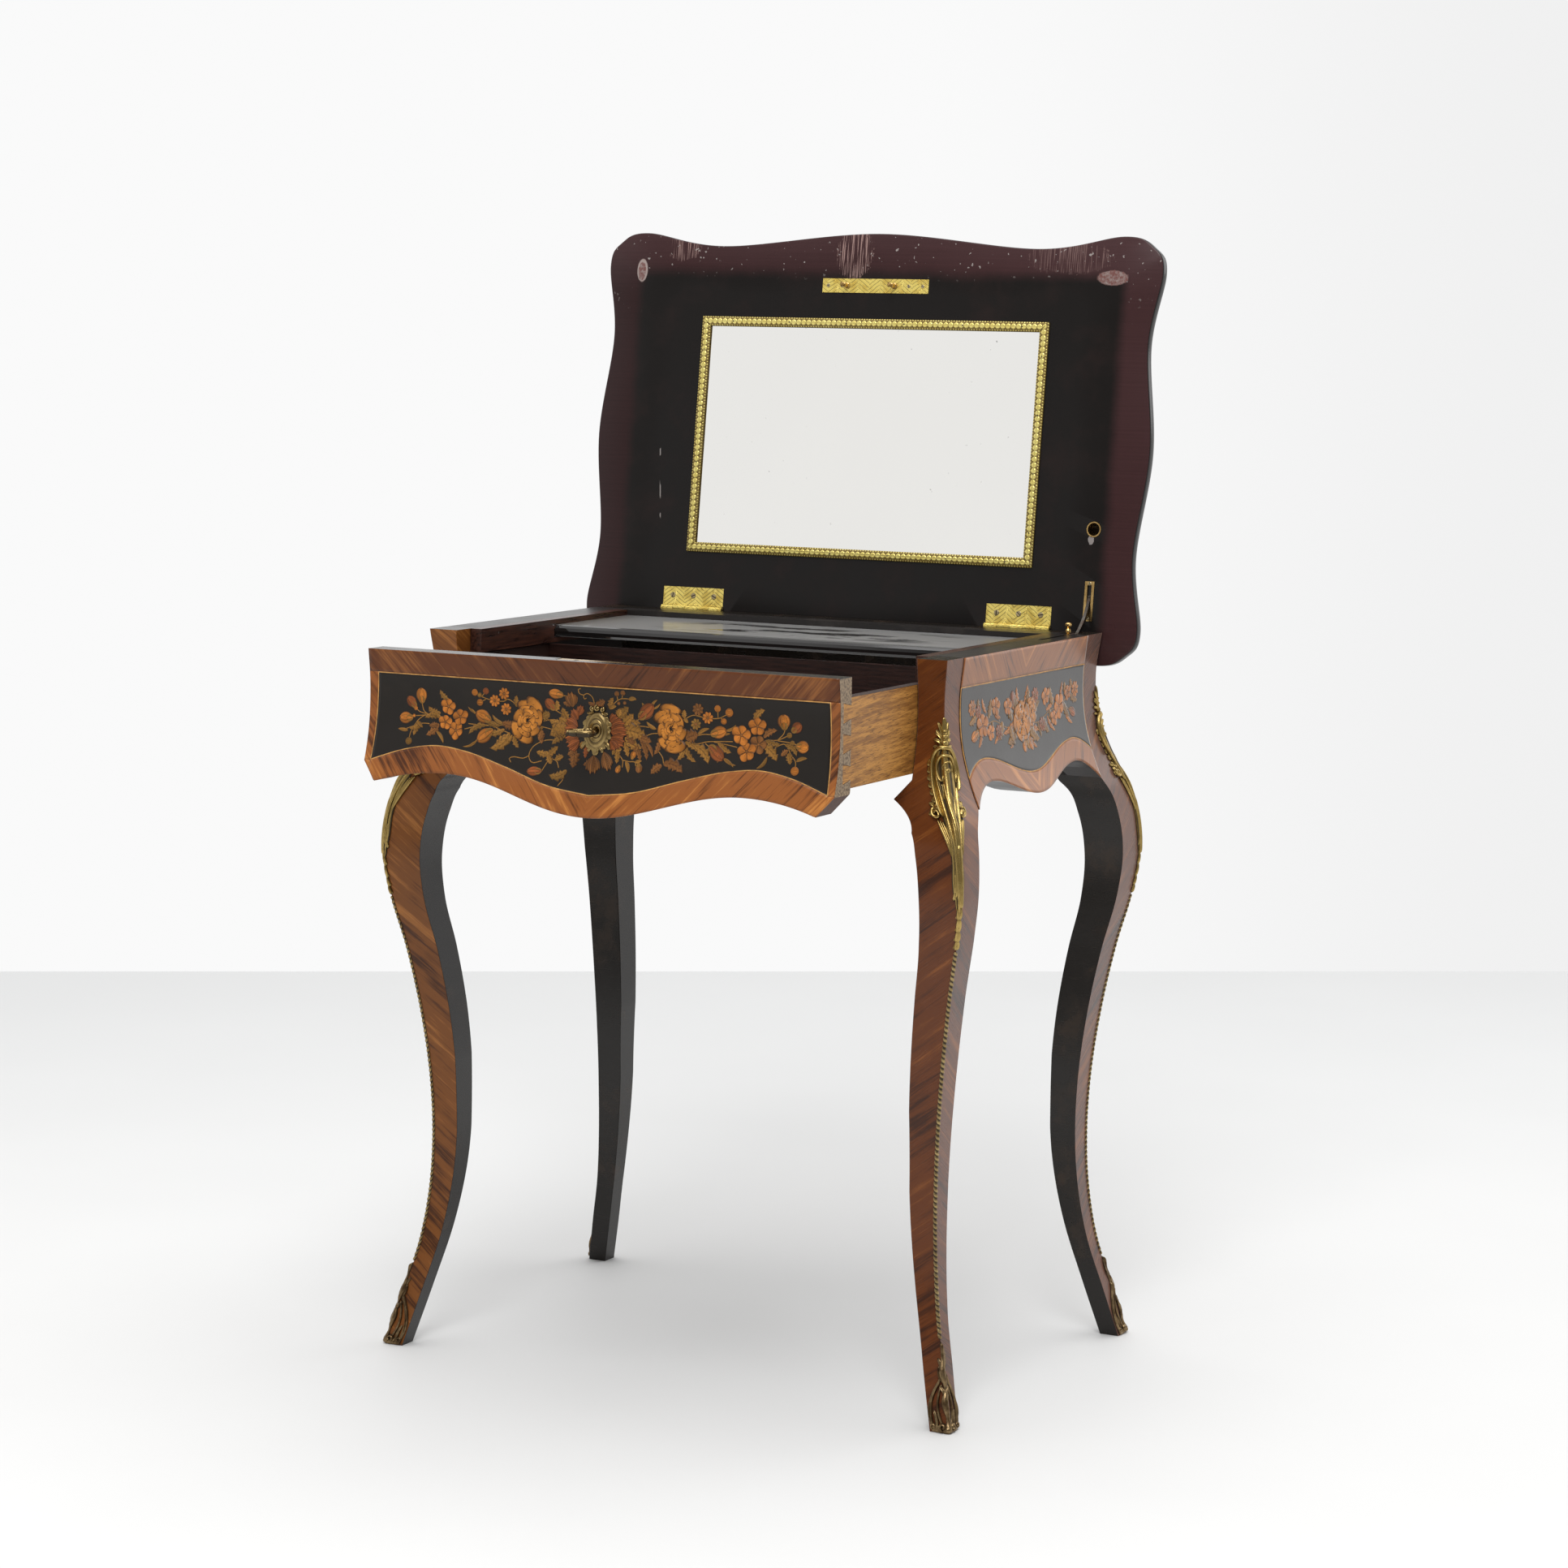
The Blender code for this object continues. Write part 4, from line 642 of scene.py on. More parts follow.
def blade(spine: Array, half: Array, across: Array) -> Array:
    """A flat strip: each point of a spine spread to both sides by its half width.

    Args:
        spine: Points in the plane.
        half: Half width at each.
        across: Places across, from -1 to 1.

    Returns:
        Rows by columns by 2.
    """
    along = np.gradient(spine, axis=0)
    along /= np.linalg.norm(along, axis=1, keepdims=True) + 1e-12
    normal = np.column_stack((-along[:, 1], along[:, 0]))
    return spine[:, None] + (half[:, None] * across)[..., None] * normal[:, None]


def square(way: Array) -> Array:
    """A flat direction turned by a right angle to the left."""
    return np.array((-way[1], way[0]))


def spread(x: Any, y: Any, z: Any) -> Array:
    """Points of three parts, which are spread to one shape."""
    return np.stack(np.broadcast_arrays(x, y, z), -1)


def once_round(count: int) -> Array:
    """Angles once round a circle, with both ends."""
    return np.linspace(0.0, 2.0 * np.pi, count)


def mirrored(side: float, *points: tuple[float, float]) -> Array:
    """Flat points whose first part is scaled by a side."""
    return np.array(points) * (side, 1.0)


def grain(u: Array, v: Array, angle: float, sheet: float = 0.0) -> Array:
    """Grain coordinates of veneer whose lines rise outwards at an angle in degrees: across, along, sheet."""
    turn = math.radians(angle)
    return spread(v * math.cos(turn) - u * math.sin(turn), u * math.cos(turn) + v * math.sin(turn), sheet)


@dataclass(frozen=True)
class Curve:
    """A smooth curve through stations of place and offset: cubic Hermite, slopes from neighbours."""

    stations: tuple[tuple[float, float], ...]

    def __call__(self, where: Any) -> Array:
        """The offset at each place, held at the end values outside."""
        x, y = np.array(sorted(self.stations)).T
        slope = np.gradient(y, x)
        where = np.clip(np.asarray(where, float), x[0], x[-1])
        k = np.clip(np.searchsorted(x, where, side="right") - 1, 0, len(x) - 2)
        h = x[k + 1] - x[k]
        t = (where - x[k]) / h
        return ((1 + 2 * t) * (1 - t) ** 2 * y[k] + t * (1 - t) ** 2 * h * slope[k]
                + t * t * (3 - 2 * t) * y[k + 1] - t * t * (1 - t) * h * slope[k + 1])


@dataclass(frozen=True)
class CaseShape:
    """The case's box and the profile that its four corners and walls share."""

    height: float = 0.715
    half_width: float = 0.2805
    half_depth: float = 0.1785
    drawer_out: float = 0.1544
    sweep: Curve = Curve(((0.715, 0.0), (0.675, -0.004), (0.627, 0.0), (0.595, 0.0095), (0.563, 0.0225),
                          (0.530, 0.030), (0.497, 0.032), (0.460, 0.028), (0.400, 0.0155), (0.330, 0.0045),
                          (0.270, -0.0015), (0.215, -0.0035), (0.160, -0.0015), (0.100, 0.0065),
                          (0.050, 0.019), (0.0, 0.031)))
    inner: Curve = Curve(((0.575, -0.036), (0.558, -0.0225), (0.535, -0.015), (0.494, -0.0095), (0.450, -0.0115),
                          (0.400, -0.020), (0.330, -0.0285), (0.250, -0.0318), (0.180, -0.0283),
                          (0.120, -0.019), (0.060, -0.0045), (0.0, 0.011)))

    def apron(self, along: Array, end: float, end_drop: float, crest_inset: float, crest_drop: float,
              centre_drop: float) -> Array:
        """Height of a scalloped lower edge: a parabola beyond each crest, half a cosine wave inside.

        Args:
            along: Place along the wall, from its middle.
            end: Half length.
            end_drop: Drop at the ends.
            crest_inset: Distance of the crests from the ends.
            crest_drop: Drop at the crests.
            centre_drop: Drop in the middle.

        Returns:
            The edge's height.
        """
        crest = end - crest_inset
        u = np.abs(along)
        inside = (crest_drop + centre_drop) / 2 + (centre_drop - crest_drop) / 2 * np.cos(np.pi * u / crest)
        outside = crest_drop + (end_drop - crest_drop) * ((u - crest) / (end - crest)) ** 2
        return self.height - np.where(u > crest, outside, inside)


CASE = CaseShape()

# Sprays of marquetry in millimetres from their middle; each row is a wood, where it has one, then places and sizes

SPRAY = {
    "stem": (
        "-183.7 5.4 -188.5 8.9 -191 16.3;-183.7 5.4 -192.9 7.4 -197.6 10.9;-183.7 4.8 -197.1 3.3;"
        "-171.6 3.1 -185.2 4.7 -193.8 -0.2 -197.8 -5.5;-197.8 -5.5 -201.5 -12 -202.8 -18.3;"
        "-181.5 -3.2 -191.9 -3.9 -212.1 -11.4;-171.7 3.7 -183.7 5.2;-138.7 -0.5 -119.4 -1.1 -100.5 0.7;"
        "-142.6 -5.7 -119.5 -0.5 -94 -6.3;-113.9 3 -90.3 1.4;"
        "-86.2 19.7 -95.8 24.7 -101.7 22.5 -114.9 22.9 -125.2 25.4;-125.2 25.4 -132.6 29;"
        "-125.2 25.4 -120.5 30.7;-120.7 23.2 -126.9 20;"
        "-39.9 -9.5 -54.2 -10.5 -66.4 -16.8 -70 -25.5 -65.3 -31.3 -55.6 -29.2;"
        "-70 -25.5 -76.1 -28.1 -85.7 -27.5 -90.4 -29.3 -88.3 -32.6;-49.1 -29 -53.8 -37.8;"
        "-46 -26.4 -39.8 -28.4 -36.5 -34.2;-34.3 -41.2 -30.1 -44 -34.4 -50.2;-37 31.9 -30.9 30.7;"
        "-45.3 17.8 -37.2 14.1;-57.6 7 -48.5 8.9 -39.3 8.2;-59 1.7 -47.9 -0.2 -39 -3.3;"
        "-3.6 26.1 -6.1 32.3 -10.9 35.1 -14.9 33.3 -14.5 30.2 -12.1 30.8;"
        "-14.5 33.3 -19.4 34.6 -20.6 38.2 -18.1 39.4;12.8 21.9 18.7 29.1 25.8 32.6 40.2 32.5;"
        "20.8 31.3 20.1 35.9;25.2 32.6 26.5 37.4;36.1 9.4 44.2 15.6;37.4 8.4 49.3 8.7 61.9 7.2;"
        "48.8 -1.2 56.9 2.5 64.5 3.5;24.5 -17.6 29.6 -23.4 30.1 -29.4;"
        "29.5 -22.9 36.2 -23.8 42.2 -23.8 44.1 -27.5;64.9 -11.9 70.4 -17.6 72.6 -24;"
        "89.6 17.3 99.9 22.1 111.9 20.6 125.3 20.8 134.1 24.7;125.3 21.5 124.9 28;128.3 21 131.3 19.3;"
        "103.8 3.8 111.2 5.6 118.6 5.8;94.8 -4.6 105.9 -3.2 117.6 -0.5 141.3 1;"
        "122.1 -0.5 134.1 -2 146.2 -3.8;113.3 -2.4 118.1 -5.7;176.4 4.7 186.6 5.3 198.7 10.6;"
        "186.6 5.3 192.1 10.8 193.7 15.5;186.7 4.7 201.4 3.5 207.4 1.5;"
        "184.2 -1.3 194.2 2 200.8 -6.6 205.9 -12.6 206.5 -18.9"),
    "leaf": (
        "LEAF -99 -3 -119 -8 3 0.1;LEAF -97 -8 -107 -24 2.8 -0.1;OLIVE -104 0 -122 5 2.6 0.1;"
        "LEAF 26 8 46 11 3.8 0.1;LEAF 30 -2 49 -11 4.2 -0.1;BROWN 38 -8 48 -23 3 0.1;LEAF 30 -6 35 -20 3 0;"
        "LEAF -34 6 -52 9 3.4 0.1;OLIVE -33 -5 -47 -14 3.4 -0.1;LEAF 92 -3 108 -11 3 0.1;LEAF -58 2 -70 -4 2.6 0.1;"
        "LEAF -190.6 -2.5 -204.2 -8.4 2.7 0.15;LEAF -191.9 -3.9 -198 -15.5 2.7 -0.1;"
        "LEAF -195.2 -1.6 -188.5 -7.4 2.1 0;LEAF -204.6 -10.9 -216 -9.8 1.9 0;"
        "OLIVE -160.6 20.1 -170.8 29.5 2.7 0.15;LEAF -169.7 7.6 -183.4 13.2 3.5 0.2;"
        "LEAF -169.4 3.2 -187.2 1.7 3.2 -0.15;BROWN -171.1 -2.5 -184.7 -14 3.5 0.1;"
        "BROWN -172.6 -2.6 -182.1 -4.5 2.7 0.1;LEAF -173.6 -9.5 -164.3 -20.5 1.9 0.1;"
        "LEAF -130.6 10 -140 15.4 1.2 0.1;LEAF -132 8.7 -137.4 13.4 1.1 -0.1;"
        "LEAF -126.9 -13.3 -143.3 -21.8 1.3 0.15;LEAF -126.7 -14.6 -138.1 -22.1 0.9 0;"
        "OLIVE -119.4 -1.1 -137.9 -10.6 2.9 -0.15;OLIVE -99.9 2 -113.2 9.9 2.1 0.15;"
        "BROWN -89.6 0.8 -102.2 3.7 4 0.1;LEAF -93.3 -5.6 -113.6 -21.3 4.5 0.18;"
        "LEAF -90.2 -7.3 -100.2 -19.6 1.9 0.1;LEAF -88.6 -8.4 -81.7 -19.2 2.7 -0.1;"
        "BROWN -62.4 -1.8 -58.1 -14.4 3.2 0.1;LEAF -86.6 18.4 -86.7 29.2 2.7 0.1;"
        "OLIVE -59.7 10.1 -50.8 14 2.9 -0.1;LEAF -50 -24.2 -62.8 -21.2 2.9 0;"
        "LEAF -50 -24.2 -39.9 -14.8 3.2 0;LEAF -50 -24.2 -44.7 -31.3 3.2 0;"
        "LEAF -50 -24.2 -52.8 -20.1 2.4 0;LEAF -41.5 -27.3 -32.7 -24 2.9 0.1;"
        "OLIVE -27.6 -35.4 -45.9 -40.8 4 0.2;LEAF -45.3 17.2 -44.3 27.3 2.9 -0.15;"
        "BROWN -27.2 24.7 -37.2 25.9 2.5 0.1;BROWN -25.9 23.7 -21.8 31.8 2.3 0;"
        "LEAF -30.3 9.3 -37.7 21.1 3.8 0.1;OLIVE -59.1 11.1 -50.6 14.3 3.2 0.1;"
        "LEAF -31 2.5 -48.8 3.9 5.9 0.1;LEAF -30.7 -0.6 -50 -6.2 6.2 -0.12;"
        "LEAF -31.8 5.5 -41.3 11.2 3.8 0;BROWN -58.8 -1.4 -62 -11 3.4 0.1;"
        "BROWN -22.8 -16.7 -21.9 -33.8 5.2 0.05;BROWN -20.4 -16.5 -29.2 -22.2 2.7 0;"
        "RED -10 -12.7 -10.1 -24 2.5 0;LEAF -14.1 -8.9 -15 -16.1 2.9 0;"
        "BROWN -2.3 -23.5 -11.4 -30 2.7 0.1;BROWN -2.9 24.6 -10.3 27.8 2.3 0.1;"
        "BROWN 0.7 24.3 7.8 29.4 3.4 0.1;BROWN -0.5 24.2 0.6 29 2.7 0;LEAF 12.8 22.4 16.5 33.4 2.9 0.1;"
        "LEAF 12.8 22.4 19.9 25.3 2 0.1;OLIVE 32.4 32 40.8 33 2.3 0.1;OLIVE 22.7 13.2 32.9 25.5 4.5 0.08;"
        "LEAF 25.3 9.2 37.8 19.8 4.5 -0.05;LEAF 21.4 16.2 23.6 23.6 3.4 0;"
        "LEAF 55.8 26.7 62.8 33.9 1.4 0.1;LEAF 57 25.2 65.8 30.9 1.1 -0.1;LEAF 49.8 25.3 46.2 30.3 1.4 0;"
        "BROWN 44.1 16.1 58.3 20.1 1.6 -0.1;LEAF 28.1 4.2 51.9 -2 6.8 0.08;BROWN 31.9 1.3 40 -8.4 3.8 0;"
        "BROWN 42.9 -1 58.1 -4.7 3.8 0;LEAF 61.9 7.2 51.4 13.5 2 0.1;BROWN 46.2 -4.4 54.4 -21.7 2.9 0.1;"
        "BROWN 51.6 -5.6 60.5 -18.8 2 0.1;BROWN 66.1 -1.6 61.3 -16.2 2.7 0.1;"
        "LEAF 22.1 -13.7 23.6 -26.8 2.9 0.05;LEAF 21.5 -13.7 27.5 -13.3 2.7 0;"
        "LEAF 20.3 -13.8 18.1 -19.1 2.3 0;LEAF 32.6 -23.7 37 -34 2.3 0.1;LEAF 42.3 -24.1 49.7 -22 1.8 0;"
        "BROWN 72.2 -23.6 93.2 -30.2 5 0.15;BROWN 71 -25.2 60.7 -33.4 3.8 -0.1;"
        "LEAF 91.7 -7.4 85.7 -18.9 2.9 0.15;LEAF 94 -6.6 106 -19.6 2.6 -0.15;"
        "LEAF 91 18.7 91.1 26.8 2.6 0.1;LEAF 90.3 18.6 94.9 15 2 0;BROWN 92.9 0.5 106 5.2 5.8 0.05;"
        "LEAF 133.2 10.6 144 16.6 1.6 -0.15;LEAF 130.5 6.8 138.6 8 1.4 0;LEAF 105.2 4.9 117.1 11.2 2 0.1;"
        "LEAF 131.8 -14.4 144.4 -22.1 1.4 0.1;LEAF 132.5 -13.7 147 -19.8 1.3 -0.1;"
        "LEAF 126.5 -0.2 141.1 -9 2.9 -0.1;LEAF 102.4 -5.2 118.3 -20.8 4.6 0.15;"
        "LEAF 124.9 -6.5 127.3 -19.2 1.7 0.1;LEAF 162.3 21.2 173.6 31.5 3.2 0.15;"
        "BROWN 172.6 6.3 186.4 13.8 2.9 0.15;OLIVE 174.2 4.5 189.5 2.3 2.6 -0.1;"
        "LEAF 173.2 -0.7 187.3 -13.6 4.6 0.1;OLIVE 177.1 -10.1 166.8 -21.3 2 0.15;"
        "OLIVE 194.3 1.3 206.8 -8.1 2.9 0.2;BROWN 197.6 -3 190.8 -8.5 2.6 0;"
        "LEAF 198.5 -5.5 201.2 -15.7 3.2 0;OLIVE 206.6 -12.6 217.8 -9 2 0.1"),
    "bud": (
        "BUD -190.3 15.1 -192.3 29.9 6;RED -196.8 10.9 -206.9 20.6 4.5;BUD -199.9 1.3 -215.2 0.3 5.3;"
        "BUD -113.9 3.3 -131.3 10.6 5.3;BUD -111.1 -4.3 -128 -15.9 5.3;RED -53.7 -38.3 -70.1 -39.5 2.9;"
        "BUD -36.4 32 -52.6 33.6 3.6;RED -45.3 17.8 -55.9 27.1 4.8;RED 43 15 58.7 29.5 5.2;"
        "BUD 38.9 -21.8 40.7 -14 2.9;BUD 27.3 -27.6 25.1 -34.8 2.9;BROWN 46.5 -24.3 48.7 -33.2 3.8;"
        "BUD 117.9 6 134.7 10.7 4.9;RED 117.2 -3.8 133.5 -16.2 5.2;BUD 193.4 14.6 191.5 28.7 6.9;"
        "RED 200.5 13.3 209.9 21.3 5.2;BUD 205.2 1.4 218.4 0.4 6"),
    "ball": (
        "BUD -197.2 10.3 2;BUD -199 3.2 1.7;OLIVE -202.7 -20.5 3.5;BUD -132.6 29 3.2;RED -120.5 30.9 3.2;"
        "OLIVE -127.4 26.8 2.4;BUD -126.9 20 3.3;BROWN 20.1 36.8 2.5;BROWN 26.5 37.9 2.5;"
        "BROWN 22 28.1 1.8;BROWN 28.3 28.9 1.8;BUD 124.8 29.7 3.2;BUD 136.8 26.8 3.9;BUD 131.4 18.6 2.9;"
        "OLIVE 198.3 10.3 2.6;OLIVE 201.7 3.6 2.3;BUD 206.3 -20.8 4"),
    "daisy": (
        "FLOWER -100.6 29.7 5.9;FLOWER -110.7 22.5 5.9;FLOWER -98.2 15.5 5.9;BROWN 104.7 27.7 6;"
        "OLIVE 102.8 14.2 5.5;FLOWER 114.9 20.8 5.8"),
    "flower": (
        "FLOWER -163.9 -0.6 7.8 0.2;FLOWER -152 -7.5 8.8 0.9;FLOWER -147.7 5.2 8.8 0.45;"
        "FLOWER -161.4 14.1 8.6 0.1;FLOWER 165.8 16.3 9.5 0.3;BROWN 167.6 0.2 9.2 0;"
        "FLOWER 156.1 -7 10.1 0.5;FLOWER 149.7 7.4 10.4 0.1"),
    "pink": (
        "BROWN -26.5 21.6 -29.7 35 6.2;RED -20.8 14.1 -16.8 23.7 4.1;RED -20.6 10.4 -27.1 19.4 4.5;"
        "RED -20.2 4.2 -33.3 8.6 6.8;RED -20 1.1 -33.9 0.2 7;RED -18.3 -4 -32.3 -9 6.8;"
        "RED -17.8 -8.1 -28.9 -16 6.2;BROWN -1.6 -20.4 0.2 -36.5 7.9;BROWN 8.7 -16.6 16.8 -32.4 5.7;"
        "RED 13.2 10.5 20.2 16.7 5.2;RED 13.5 6.4 29 8.4 7;RED 13.8 2.2 31.2 2.3 6.8;"
        "RED 14.3 -3.9 29.2 -8.1 7;RED 14.6 -6 21.5 -13.7 5"),
    "rose": (
        "ROSE -74.7 6.7 15.5 22 -0.30;ROSE 77.2 8.4 15 22.5 0.22"),
}

SIDE_SPRAY = {
    "stem": "-7 -5 -40 -8 -70 2 -97 0 -119 20;-7 -5 30 -9 60 0 84 4 124 17;-58 -1 -64 19;54 -2 50 18;"
            "-20 -6 -34 16;15 -7 24 20;-84 1 -108 -8 -122 -12;94 6 110 -4 121 -8;-12 -12 -6 -33",
    "leaf": "BUD -24 -2 -53 -13 3.4 .1;BUD -22 -10 -42 -30 3.2 .1;BUD -20 6 -43 23 3.2 -.1;BUD 8 -8 37 -15 3.4 -.1;"
            "BUD 8 4 37 20 3.2 .1;BUD 4 -16 21 -35 3.2 -.1;FLOWER -12 14 -18 34 3.2 .1;FLOWER 0 14 8 34 3.2 -.1;"
            "BUD -56 4 -73 14 2.8 .1;BUD -58 -4 -76 -22 2.8 .1;BUD 52 2 73 15 2.8 -.1;BUD 54 -4 70 -22 2.8 -.1;"
            "BUD -88 12 -98 29 2.6 .1;BUD 86 14 92 30 2.6 -.1;BUD -100 -8 -112 -22 2.6 .1;BUD 98 -4 114 -18 2.6 -.1;"
            "LEAF -22 -8 -46 -24 6 .15;OLIVE -30 -2 -48 15 5.5 -.15;LEAF -52 0 -64 -19 5.4 .1;OLIVE -74 2 -86 -17 5 .1;"
            "LEAF -84 6 -78 27 4.6 -.1;OLIVE -104 4 -116 -14 4.6 .1;LEAF 10 -10 30 -26 6 -.15;"
            "OLIVE 18 -4 38 13 5.5 .15;LEAF 42 -4 55 -22 5.4 -.1;OLIVE 60 2 74 -16 5 -.1;"
            "LEAF 70 6 62 27 4.6 .1;OLIVE 94 8 108 -10 4.6 -.1;"
            "LEAF 104 12 98 29 4.2 .1;LEAF -8 -18 2 -36 5 .1;OLIVE -14 8 -24 28 5 .1;OLIVE 4 8 10 30 5 -.1;"
            "LEAF -110 12 -128 4 4 .1;LEAF 112 14 130 6 4 -.1;LEAF -34 -6 -30 -24 4 -.1;OLIVE 30 -8 34 -26 4 .1;"
            "LEAF -104 14 -106 29 3.6 .1;LEAF 118 20 112 31 3.4 .1",
    "bud": "RED -25 12 -29 30 5;RED 108 -2 123 -9 4.2;BUD -108 -6 -125 -13 4.2;BUD -6 -24 -10 -37 4.4;"
           "BUD 4 -24 10 -36 4",
    "flower": "FLOWER -97 0 14 .3;FLOWER 84 4 14 .8;BUD -66 17 11 .1;BUD 52 17 10.5 .5;FLOWER -38 14 10 .2;"
              "FLOWER -80 -9 9 .5;FLOWER 70 -8 9 .1;FLOWER 106 16 9 .6",
    "daisy": "BUD 124 18 9;BUD -120 20 9;RED 26 20 9;RED 40 -12 8;RED -62 -10 8;RED -106 15 7",
    "rose": "ROSE 16 4 13 15 -.3;ROSE -7 -4 20 22 .1"}


# Woods and their pieces

KINGWOOD = Kingwood("kingwood_veneer", sheen=0.35)
BAND = Kingwood("kingwood_banding", dark=(0.050, 0.0145, 0.0045), mid=(0.205, 0.062, 0.0140),
                light=(0.47, 0.170, 0.036), polish=0.32)
FADED = Kingwood("kingwood_faded", dark=(0.060, 0.0185, 0.0050), mid=(0.195, 0.066, 0.0135),
                 light=(0.40, 0.155, 0.036), polish=0.34)
BLACK = BlackPolish("ebonised_polish", base=(0.0120, 0.0094, 0.0074), rubbed=(0.056, 0.032, 0.018), rub=0.5)
# A greyer copy of the ebonised polish: the grey of its base and rubbed colours is painted sheen of the rail tops, over
# rubbed clouds of wear.
RAIL_PAINTED_SHEEN = BlackPolish("rail_polish", base=(0.022, 0.019, 0.018), rubbed=(0.075, 0.062, 0.055), polish=0.30,
                   haze=0.15, rub=0.5)
FIELD = BlackPolish("dark_field", base=(0.0125, 0.0092, 0.0068), rubbed=(0.030, 0.020, 0.013), polish=0.36,
                    gloss=0.3)
LINE = Boxwood("boxwood_line")
INLAY = Inlay("marquetry_woods")
# Lit and shaded copies of the banding for the drawer front: its lower border and ends are lighter as painted light
# where the bombe face tilts up, its top strip darker as painted shade where it tilts down.
DRAWER_BAND_PAINTED_LIGHT = replace(BAND, name="kingwood_apron", dark=(0.075, 0.0230, 0.0075), mid=(0.310, 0.100, 0.0240),
                      light=(0.60, 0.240, 0.056))
DRAWER_CAP_PAINTED_SHADE = replace(BAND, name="kingwood_drawer_top", dark=(0.028, 0.0085, 0.0030), mid=(0.120, 0.036, 0.0105),
                     light=(0.27, 0.098, 0.026))
# A lighter copy of the banding for the sides: its raised mid and light tones are painted reflection of the bright room
# seen at a grazing angle.
SIDE_BAND_PAINTED_REFLECTION = replace(BAND, name="kingwood_hazed", mid=(0.30, 0.105, 0.030), light=(0.56, 0.230, 0.066), sheen=0.5)
SIDE_FIELD = replace(FIELD, name="hazed_field", sheen=0.62)
SIDE_INLAY = replace(INLAY, name="hazed_woods", sheen=0.45)
GILT = Gilt("gilt_bronze", bright=(0.47, 0.335, 0.115), worn=(0.21, 0.135, 0.043),
            dark=(0.020, 0.011, 0.004))
CARTOUCHE = Gilt("cartouche_bronze", bright=(0.37, 0.260, 0.105), worn=(0.16, 0.105, 0.044),
                 dark=(0.018, 0.010, 0.005))
BRONZE = Gilt("worn_bronze", bright=(0.28, 0.195, 0.100), worn=(0.078, 0.045, 0.022), dark=(0.012, 0.007, 0.005),
              rough=0.34, wear=0.9)
ROPE = Gilt("rope_bronze", bright=(0.40, 0.295, 0.135), worn=(0.15, 0.092, 0.042),
            dark=(0.016, 0.010, 0.006), rough=0.32)
STAMPED = Gilt("stamped_brass", bright=(1.0, 0.86, 0.28), worn=(0.88, 0.68, 0.14),
               dark=(0.17, 0.105, 0.02), rough=0.28, lustre=0.5)
KEYBRASS = Gilt("key_brass", bright=(0.42, 0.30, 0.125), worn=(0.17, 0.11, 0.046),
                dark=(0.03, 0.02, 0.01), rough=0.30)
SCREW = Gilt("screw_heads", bright=(0.56, 0.46, 0.26), worn=(0.30, 0.22, 0.11),
             dark=(0.03, 0.022, 0.014), rough=0.32)
BRASS = Gilt("plain_brass", bright=(0.66, 0.44, 0.17), worn=(0.36, 0.22, 0.075), rough=0.26, wear=0.6)


